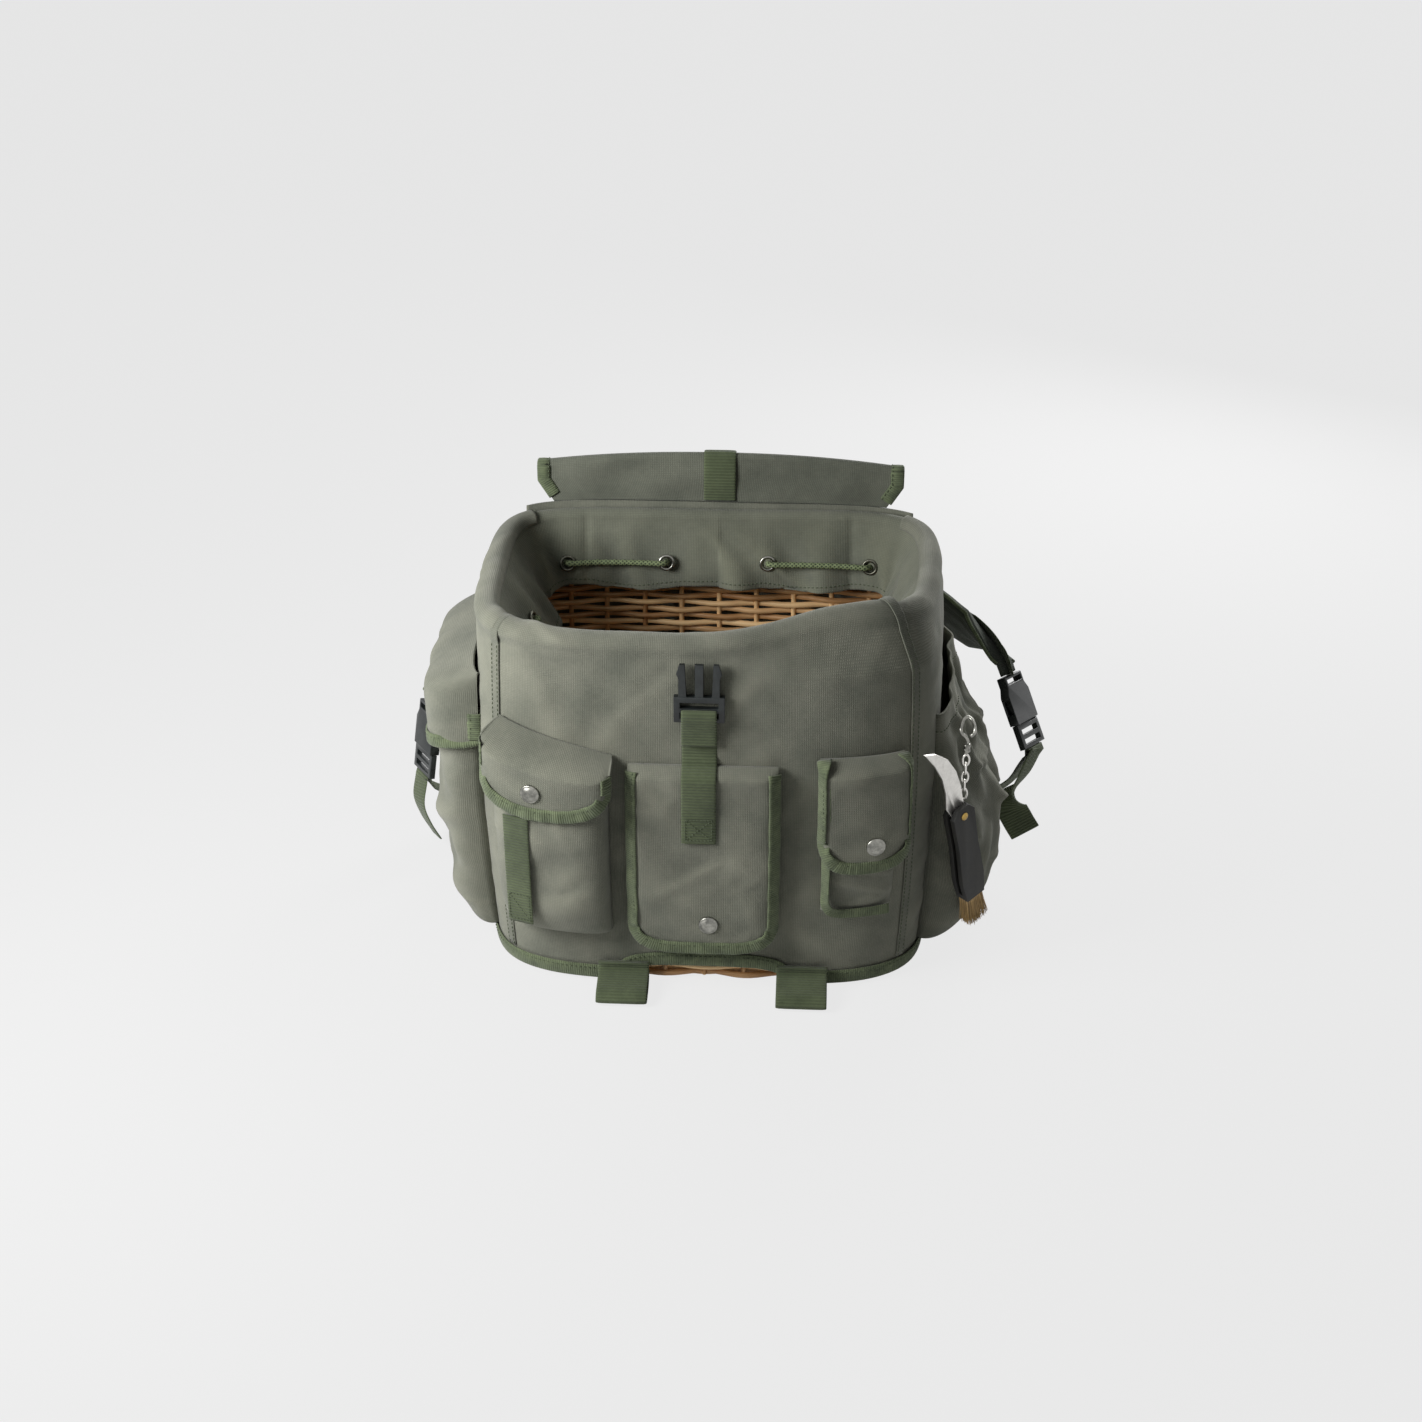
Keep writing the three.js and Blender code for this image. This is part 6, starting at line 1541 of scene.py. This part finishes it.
def lid_place(lean, origin, x, along, lift):
    """A place off a lid panel: x across, a distance along its lean from its origin, a lift to the front."""
    t = math.radians(lean)
    x, along, lift = np.broadcast_arrays(*(np.asarray(v, float) for v in (x, along, lift)))
    y = origin[0] - math.sin(t) * along - math.cos(t) * lift
    z = origin[1] + math.cos(t) * along - math.sin(t) * lift
    return np.stack([x, y, z], -1)


LID_FOLD = tuple(lid_place(-LID_LEAN, LID_HINGE, 0, LID_STAND, -LID_FOLD_GAP)[1:])
LID_OUTER_LEAN = LID_SLANT - 180


def lid_half_width(along):
    """Half the hanging lid's width: it narrows from its fold, and its lower corners are round."""
    from_end = np.clip(LID_LENGTH - along, 0, None)
    taper = np.minimum(1, along / LID_TAPER)
    plain = (LID_TOP_WIDTH + (LID_OUTER_WIDTH - LID_TOP_WIDTH) * taper) / 2
    miss = np.clip(LID_CORNER - from_end, 0, LID_CORNER)
    rounded = LID_OUTER_WIDTH / 2 - LID_CORNER + np.sqrt(np.maximum(0, LID_CORNER ** 2 - miss ** 2))
    return np.where(from_end >= LID_CORNER, plain, rounded)


def lid_sag(x_share):
    """How far the lid's fold hangs below its height, more towards its ends."""
    return LID_CREST - LID_SAG * np.abs(x_share) ** 2.2


def lid_standing(x_share, along, lift, soft):
    """A row of the standing panel, which spreads from its hinge, bows and sinks at its ends."""
    share = along / LID_STAND
    half = (LID_BASE_WIDTH + (LID_TOP_WIDTH - LID_BASE_WIDTH) * min(1, share / LID_SPREAD_SHARE)) / 2
    bow = 2.2 * soft * math.sin(math.pi * along / LID_STAND)
    dent = soft * 1.3 * ripples(x_share * half, along * 1.3, 70, 31)
    dent = dent * math.sin(math.pi * min(1, share * 0.9 + 0.05))
    crest = lid_sag(x_share) * along / LID_STAND - LID_DROP * np.abs(x_share) ** 5 * (1 - share)
    return lid_place(-LID_LEAN, LID_HINGE, x_share * half, along + crest, lift + bow * 0.4 + dent)


def lid_folding(x_share, share, lift):
    """A row of the fold's circle at a share of its way round."""
    start, end = math.radians(180 - LID_LEAN), math.radians(LID_SLANT)
    turn = start + (end - start) * share
    radius = LID_FOLD_GAP + lift
    y = LID_FOLD[0] + radius * math.cos(turn) + 0 * x_share
    z = LID_FOLD[1] + radius * math.sin(turn) + lid_sag(x_share)
    return np.stack([x_share * LID_TOP_WIDTH / 2, y, z], -1)


def lid_hanging(x_share, along, lift, soft):
    """A row of the hanging panel, which eases out of the fold's sag."""
    half = lid_half_width(along)
    ease = LID_FOLD_GAP * (1 - smooth_step(0, 60, along))
    dent = soft * 1.4 * ripples(x_share * half, along, 90, 33)
    dent = dent * min(1, along / 20) * min(1, (LID_LENGTH - along) / 16)
    crest = lid_sag(x_share) * (1 - smooth_step(0, 70, along))
    row = lid_place(LID_OUTER_LEAN, LID_FOLD, x_share * half, along, -lift - ease - dent)
    return row + crest[:, None] * (0, 0, 1)


def lid_rows(x_share, lift, soft=1.0):
    """Rows of the lid, up its stand, round its fold and down its back, for shares across from -1 to 1."""
    rows = [lid_standing(x_share, along, lift, soft) for along in np.linspace(0, LID_STAND, 26)]
    rows += [lid_folding(x_share, share, lift) for share in np.linspace(0, 1, 16)[1:-1]]
    rows += [lid_hanging(x_share, along, lift, soft) for along in np.linspace(0, LID_LENGTH, 110)]
    return np.stack(rows)


def lid_bend(made, slot, *nodes):
    """For pieces that cross the lid's fold, where the cloth turns from the standing panel to the hanging one:
    their placing is baked and the frame's plain pieces are hidden.
    """
    bends(made, "lid_panel", "lid_cover", (0, LID_FOLD[0] - LID_FOLD_GAP, LID_FOLD[1]),
          (0, LID_FOLD[0] + LID_FOLD_GAP * 0.95, LID_FOLD[1]), slot, *nodes)


def lid_edge():
    """The lid's taped edge: up its left side from over the hinge, round the fold, along the foot and back."""
    sides = lid_rows(np.array([-1.0, 1.0]), 0.0, 0.0)[LID_TAPE_ROW:]
    foot = lid_rows(np.linspace(-1, 1, 60)[1:-1], 0.0, 0.0)[-1]
    edge = np.concatenate([sides[:, 0], foot, sides[::-1, 1]])
    keep = np.r_[True, np.linalg.norm(np.diff(edge, axis=0), axis=1) > 1e-3]
    return edge[keep]


def lid_edge_frame(edge):
    """The directions in over the lid's cloth from its edge, and off its seen face."""
    along = unit(np.gradient(edge, axis=0))
    to_middle = edge * (0.3, 1, 1) - edge
    inward = np.where(edge[:, 2:] < LID_FOOT_HEIGHT, (0, -0.3, 1.0), to_middle) + to_middle * 0.05
    inward = square_to(along, unit(inward))
    seen = np.where(edge[:, 1:2] < LID_FOLD[0], (0, -1.0, 0), (0, 1.0, 0.3))
    near_fold = np.abs(edge[:, 2:] - LID_FOLD[1]) < 6
    seen = np.where(near_fold, unit(edge * (0, 1, 1) - np.array((0, *LID_FOLD))), seen)
    return inward, turned_to(unit(np.cross(along, inward)), seen)


def make_lid_tape():
    """The tape folded round the lid's edge, and its stitches."""
    section = np.array([(8, -1.6), (3, -1.9), (-0.4, -1.8), (-1.3, -1.1), (-1.6, 0), (-1.3, 1.1), (-0.4, 1.8),
                        (3, 1.95), (8, 1.9), (TAPE_WIDTH, 1.7), (TAPE_WIDTH + 0.4, 0.9)])
    edge = lid_edge()
    inward, normal = lid_edge_frame(edge)
    tape = folded_tape(edge, inward, normal, section)
    lid_bend(thicken(surface("lid_tape", tape, TAPE_CLOTH), 0.7, 0), "binding_tape", "lid_binding")
    lines = [(edge + inward * 7.5 + normal * 2.3, normal)]
    lid_bend(stitches("lid_stitches", lines, THREAD), "binding_tape")


def make_lid_webbing():
    """The webbing down the lid's middle, its loose tail and the buckle's socket."""
    middle = np.array([0.0])
    path = resample(lid_rows(middle, LID_WEBBING_LIFT)[1:-3, 0], 260)
    made = ribbon("lid_webbing", path, (1, 0, 0), WEBBING, WEBBING_THICKNESS, WEBBING_CLOTH)
    lid_bend(made, "webbing", "lid_strap_lower", "lid_strap_upper")
    end = lid_place(LID_OUTER_LEAN, LID_FOLD, 0, LID_LENGTH + LID_FOLD_GAP + GAP, 0)
    last = lid_rows(middle, LID_WEBBING_LIFT, 0.0)[-6:, 0]
    tail = smooth_path([*last[::2], end + (0, 0.8, -4), end - (0, 0, 20), end - (0, 0, LID_TAIL - 6),
                        end - (0, 0.4, LID_TAIL + 3)], 90)
    made = ribbon("lid_tail_webbing", tail, (1, 0, 0), WEBBING, WEBBING_THICKNESS, WEBBING_CLOTH)
    bends(made, "lid_cover", "lid_tail", (0, end[1], end[2] + 4), (0, end[1], end[2] - 8), "webbing",
          "lid_strap_tail")
    made = softened("lid_buckle_socket", "lid_socket_moulding", 0.8, ACETAL)
    stands_for(made, "lid_tail", "buckle_plastic", "lid_buckle_socket")


def make_lid():
    """The lid: one cloth folded back on itself, its tape, and its webbing."""
    grid = lid_rows(np.sin(np.linspace(-1, 1, 110) * math.pi / 2), 0.0)
    # The lid's cloth takes the darker canvas colours: painted shade.
    made = thicken(surface("lid_cloth", grid, CANVAS_SHADED), 1.7, 0)
    lid_bend(made, "canvas", "lid_inner", "lid_outer")
    make_lid_tape()
    make_lid_webbing()


# Shoulder straps

def strap_axes(strap):
    """The buckle's foot, its up direction, and the direction of its bars."""
    bottom = np.array(strap["bottom"], float)
    up = unit(np.array(strap["top"], float) - bottom)
    face = np.array((strap["sign"], -BUCKLE_TURN, 0.0))
    return bottom, up, unit(np.cross(face, up)) * strap["sign"]


def pad_path(strap):
    """The padded strap's middle line: sewn on the back, round the side and down to the buckle's bar."""
    bottom, up, bar = strap_axes(strap)
    top = bottom + up * (PLUG_BAR + GAP + SOCKET + SOCKET_BAR)
    stand = PAD_THICKNESS / 2 + PAD_CROWN + GAP
    points = []
    for number, (x, y, z) in enumerate(strap["pad"]):
        angle = math.pi - math.atan2(x, HALF_DEPTHS[2])
        sewn = float(off_back(angle, z - PAD_WIDTH / 2, stand)[1])
        points.append((x, sewn if number < 2 else y, z))
    neck = top + up * PAD_NECK
    path = np.concatenate([smooth_path([*points, neck], 110), [top + up * 6, top + up * 1.2]])
    share = np.linspace(0, 1, len(path))
    end = np.clip(share - PAD_TAPER, 0, None) / (1 - PAD_TAPER)
    worn = unit(np.stack([0 * share, -np.sin(PAD_TWIST * share), 1 - PAD_LEAN * share], -1))
    across = unit(worn * (1 - end[:, None]) + bar * end[:, None])
    return path, across, end


def pad_section(end):
    """Sections with a crown of 1 - u^2 and a stitched channel inside each edge, narrower to the buckle."""
    u = np.linspace(-1, 1, 25)
    groove = 1.5 * np.exp(-((np.abs(u) - 0.78) / 0.06) ** 2)
    rise = (PAD_THICKNESS / 2) * (1 - u ** 10) ** 0.5 + PAD_CROWN * (1 - u ** 2) - groove
    over = np.stack([u, rise], -1)
    under = np.stack([u, -rise * 0.85], -1)[::-1][1:-1]
    wide = PAD_WIDTH / 2 * (1 + (WEBBING / PAD_WIDTH - 1) * end)
    return np.concatenate([over, under])[None] * np.stack([wide, 1 + (PAD_END - 1) * end], -1)[:, None]


def make_pad_webbing(side, path, across, end):
    """The webbing on the pad's outer face, from its middle to the buckle's upper bar."""
    part = slice(60, -1, 3)
    strip = np.concatenate([path[part], [path[-1] + (path[-1] - path[-2]) * 0.6]])
    lift = unit(np.cross(across[part], np.gradient(path, axis=0)[part]))
    lift = turned_to(np.concatenate([lift, lift[-1:]]), strip * (1, 1, 0))
    high = np.concatenate([(PAD_THICKNESS / 2 + PAD_CROWN + 0.6) * (1 + (PAD_END - 1) * end[part]), [1.6]])
    line = smooth_path(strip + lift * high[:, None], 90)
    made = ribbon(f"{side}_pad_webbing", line, across[85], WEBBING, WEBBING_THICKNESS, WEBBING_CLOTH)
    stands_for(made, "root", "webbing")


def make_pad(side, strap):
    """A padded strap, the piping along its two edges and the webbing on it."""
    path, across, end = pad_path(strap)
    grid = sweep(path, across, pad_section(end))
    s = np.arange(len(path))[:, None] * 2.2
    unrest = 0.5 * ripples(s, np.arange(grid.shape[1])[None] * 3.0, 30, 51) * (1 - end[:, None])
    grid = grid + unit(grid - grid.mean(1, keepdims=True)) * unrest[..., None]
    made = outward_faces(surface(f"{side}_strap_pad", grid, PAD_CLOTH, around=True, caps=True))
    stands_for(made, "root", "strap_padding", f"{side}_shoulder_pad")
    for name, column in (("upper", 0), ("lower", 24)):
        rope = grid[None, :-2, column]
        made = strands(f"{side}_pad_piping_{name}", rope, 1.5, 8, (0.1, 0.3, 1), TAPE_CLOTH)
        stands_for(made, "root", "binding_tape")
    make_pad_webbing(side, path, across, end)


def make_strap(side, strap):
    """The webbing from the foot of the back, round the buckle's lower bar, and its loose tail."""
    bottom, up, bar = strap_axes(strap)
    sign = strap["sign"]
    outward = np.cross(up, bar) * sign
    turn = bottom - up * (WEBBING_THICKNESS / 2 + GAP)
    anchor = [off_back(ANCHOR_ANGLE * sign - sign * step, ANCHOR_HEIGHT, WEBBING_THICKNESS / 2 + 0.3)
              for step in (0.0, ANCHOR_STEP)]
    lower = smooth_path([*anchor, *strap["lower"], turn - outward * 2 - up * 3], 70)
    tail = smooth_path([turn + outward * 2 - up * 3, *strap["tail"]], 50)
    around = [turn - outward * 1.4, turn, turn + outward * 1.4]
    path = np.concatenate([lower, around, tail])
    wall_up = unit(off_back(ANCHOR_ANGLE, ANCHOR_HEIGHT + 1, 0) - off_back(ANCHOR_ANGLE, ANCHOR_HEIGHT, 0))
    t = np.clip((np.arange(len(path)) - 6) / 50, 0, 1)[:, None]
    across = unit(wall_up * (1 - t) + bar * t)
    if strap["tail_turn"]:
        t = smooth_step(0, 32, np.arange(len(path)) - len(lower) - 12)[:, None]
        across = unit(across * (1 - t) + np.array(strap["tail_turn"]) * t)
    made = ribbon(f"{side}_webbing_strip", path, across, WEBBING, WEBBING_THICKNESS, WEBBING_CLOTH)
    stands_for(made, "root", "webbing", f"{side}_strap_webbing")
    for part in ("socket", "plug"):
        made = softened(f"{side}_buckle_{part}", f"{side}_{part}_moulding", 0.8, ACETAL)
        stands_for(made, "root", "buckle_plastic", f"{side}_buckle_{part}")


def make_bottom_loops():
    """Two loops of wide webbing under the front: sewn behind the hem and lying on the floor."""
    out = COVER_EASE + CLOTH + 1.4 + TAPE + 0.4
    for side, sign in (("left", -1), ("right", 1)):
        x = 7 + sign * 67
        near = x - sign * WIDE_WEBBING / 2
        y0 = float(wall(math.atan2(near, HALF_DEPTHS[0]), 0, 0)[1]) - out - GAP - 0.8
        t = 1.6
        profile = [(y0, 21), (y0, 14), (y0, 9), (y0 - 4, 4), (y0 - 14, t), (y0 - 24, 0.7 * t),
                   (y0 - 29, 3 * t), (y0 - 25, 6 * t), (y0 - 14, 12), (y0 - t - GAP, 16), (y0 - t - GAP, 21)]
        path = smooth_path([(x, y, z) for y, z in profile], 90)
        path[:, 2] = np.maximum(path[:, 2], 0.9)
        made = ribbon(f"{side}_loop_webbing", path, (1, 0, 0), WIDE_WEBBING, t, WEBBING_CLOTH)
        stands_for(made, "root", "webbing", f"{side}_bottom_loop")


# Knife

def knife_frame():
    """The y of the pocket's face beside the knife, the y of the line it hangs on, and its pivot."""
    face = on(SIDE_CENTRE - 75, COVER_RIM / 2, POCKET_STAND_OFF + 20)
    y = float(face[1]) - HOOK_WIRE - KNIFE_FORWARD
    handle_top = HOOK_TOP - HOOK_LENGTH - CHAIN_LENGTH
    height = handle_top + HANDLE_TUCK - HANDLE_WIDTH * HANDLE_SHOULDER - PIVOT_OFFSET * math.sin(HANDLE_TILT)
    pivot = np.array((KNIFE_X - PIVOT_OFFSET * math.cos(KNIFE_YAW),
                      y - PIVOT_OFFSET * math.sin(KNIFE_YAW) - HANDLE_THICKNESS / 4, height))
    return float(face[1]), y, pivot


def make_hook():
    """A wire snap hook whose ring passes behind the pocket's hem, with a swivel collar."""
    face, y, _ = knife_frame()
    back = face - HOOK_WIRE - GAP
    turn = np.linspace(-0.36 * math.pi, 1.36 * math.pi, 40)
    ring = np.stack([KNIFE_X + HOOK_RING * np.cos(turn), y + (back - y) * np.maximum(0, np.sin(turn)),
                     HOOK_TOP - HOOK_RING + HOOK_RING * np.sin(turn)], -1)
    shank = np.array([(KNIFE_X, y, HOOK_TOP - HOOK_LENGTH * share) for share in (0.55, 0.8, 1)])
    path = smooth_path(np.concatenate([ring[::3], shank]), 90)
    made = strands("snap_hook_wire", path[None], HOOK_WIRE, 12, (0.2, 1, 0.1), NICKEL)
    stands_for(made, "knife", "nickel", "knife_snap_hook")
    profile = [(0, 0), (2.3, 0), (2.7, 0.6), (2.4, 2.4), (1.9, 3.0), (2.5, 3.6), (2.6, 5.6), (2.0, 6.4),
               (0, 6.4)]
    foot = (KNIFE_X, y, HOOK_TOP - HOOK_LENGTH + 1.5)
    made = lathe("snap_hook_swivel", profile, 28, foot, (0, 0, 1), NICKEL)
    stands_for(made, "knife", "nickel")


def make_chain():
    """Oval links, turned a quarter from each other."""
    _, y, _ = knife_frame()
    pitch = (CHAIN_LENGTH - LINK_LENGTH) / (LINK_COUNT - 1)
    turn = np.linspace(0, TURN, 28, endpoint=False)
    across = (LINK_WIDTH / 2 - LINK_WIRE) * np.cos(turn)
    links = []
    for n in range(LINK_COUNT):
        middle = HOOK_TOP - HOOK_LENGTH - GAP - LINK_LENGTH / 2 - n * pitch
        z = middle + (LINK_LENGTH / 2 - LINK_WIRE) * np.sin(turn)
        wide, deep = (0, across) if n % 2 else (across, 0)
        links.append(np.stack(np.broadcast_arrays(KNIFE_X + wide, y + deep, z), -1))
    made = strands("knife_chain_links", np.stack(links), LINK_WIRE, 8, (0.57, 0.57, 0.57), STEEL, True)
    stands_for(made, "knife", "blade_steel", "knife_chain")


def turned(points, pivot):
    """Points turned about the pivot's upright by the knife's yaw."""
    c, s = math.cos(KNIFE_YAW), math.sin(KNIFE_YAW)
    x, y = points[..., 0] - pivot[0], points[..., 1] - pivot[1]
    return np.stack([pivot[0] + c * x - s * y, pivot[1] + s * x + c * y, points[..., 2]], -1)


def make_knife():
    """Handle and blade with eased edges, a brass rivet and a brush of bristles."""
    _, _, pivot = knife_frame()
    made = softened("knife_handle", "knife_grip", 1.6, GRIP, 40, 3)
    stands_for(made, "knife", "knife_grip", "knife_handle")
    made = softened("knife_blade", "knife_blade_ground", 0.7, STEEL, 50, 2)
    stands_for(made, "blade", "blade_steel", "knife_blade")
    normal = turned(pivot + (0, -1.0, 0), pivot) - pivot
    profile = [(0, 0), (3.2, 0), (3.1, 0.6), (2.2, 1.2), (0, 1.4)]
    centre = pivot + normal * (HANDLE_THICKNESS / 2 - 0.1)
    made = lathe("knife_rivet_head", profile, 28, centre, normal, BRASS)
    stands_for(made, "knife", "nickel")
    make_brush(pivot)


def make_brush(pivot):
    """Bristles in rows across the handle's end: they flare, bend a little and end in a low arch."""
    sin, cos = math.sin(HANDLE_TILT), math.cos(HANDLE_TILT)
    down, side = np.array((sin, 0, -cos)), np.array((cos, 0, sin))
    start = pivot + down * (HANDLE_LENGTH - HANDLE_SHOULDER * HANDLE_WIDTH + GAP)
    half_side, half_depth = 0.38 * HANDLE_WIDTH, 0.38 * HANDLE_THICKNESS
    rng = np.random.default_rng(77)
    u, v = (m.ravel() for m in np.meshgrid(np.linspace(-1, 1, 34), np.linspace(-1, 1, 16)))
    u, v = u + rng.normal(0, 0.02, u.size), v + rng.normal(0, 0.04, v.size)
    t = np.linspace(0, 1, 5)
    reach = (BRUSH_COLLAR + BRISTLE_LENGTH * (1 - 0.12 * u * u) * rng.uniform(0.9, 1.02, u.size))[:, None] * t
    flare = 1 + 0.28 * t ** 1.6
    bend = rng.normal(0, 0.5, (u.size, 2, 1)) * t ** 2
    spots = start + side * (u[:, None] * (half_side - 0.6) * flare + bend[:, 0])[..., None] \
        + np.array((0, 1.0, 0)) * (v[:, None] * (half_depth - 0.6) * flare + bend[:, 1])[..., None] \
        + down * reach[..., None]
    radius = np.broadcast_to(0.34 * (1 - 0.55 * t), (u.size, 5))
    shades = rng.uniform(0.1, 0.8, u.size)
    paths = turned(spots, pivot)
    made = strands("knife_brush_bristles", paths, radius, 4, (0.6, 0.7, 0.1), HAIR, shades=shades)
    stands_for(made, "knife", "bristle", "knife_brush")


make_camera()
make_drawcord()
make_light()
make_floor()
make_basket_wall()
make_basket_rim()
make_basket_base()
make_panel("front_panel", -FRONT_SEAM, FRONT_SEAM, seed=41, cols=220)
make_panel("right_side_panel", FRONT_SEAM, BACK_SEAM, seed=44, cols=130)
make_panel("left_side_panel", -BACK_SEAM, -FRONT_SEAM, seed=47, cols=130)
make_back_panel()
make_seams()
make_hem()
make_collar()
make_eyelets()
make_pockets()
for each_flap in (CENTRE_FLAP, LEFT_FLAP, RIGHT_FLAP, SIDE_FLAP):
    make_flap(each_flap)
make_front_strap()
make_lid()
for side_name, strap_route in STRAPS.items():
    make_pad(side_name, strap_route)
    make_strap(side_name, strap_route)
make_bottom_loops()
make_hook()
make_chain()
make_knife()

bpy.context.scene.view_settings.view_transform = "Standard"
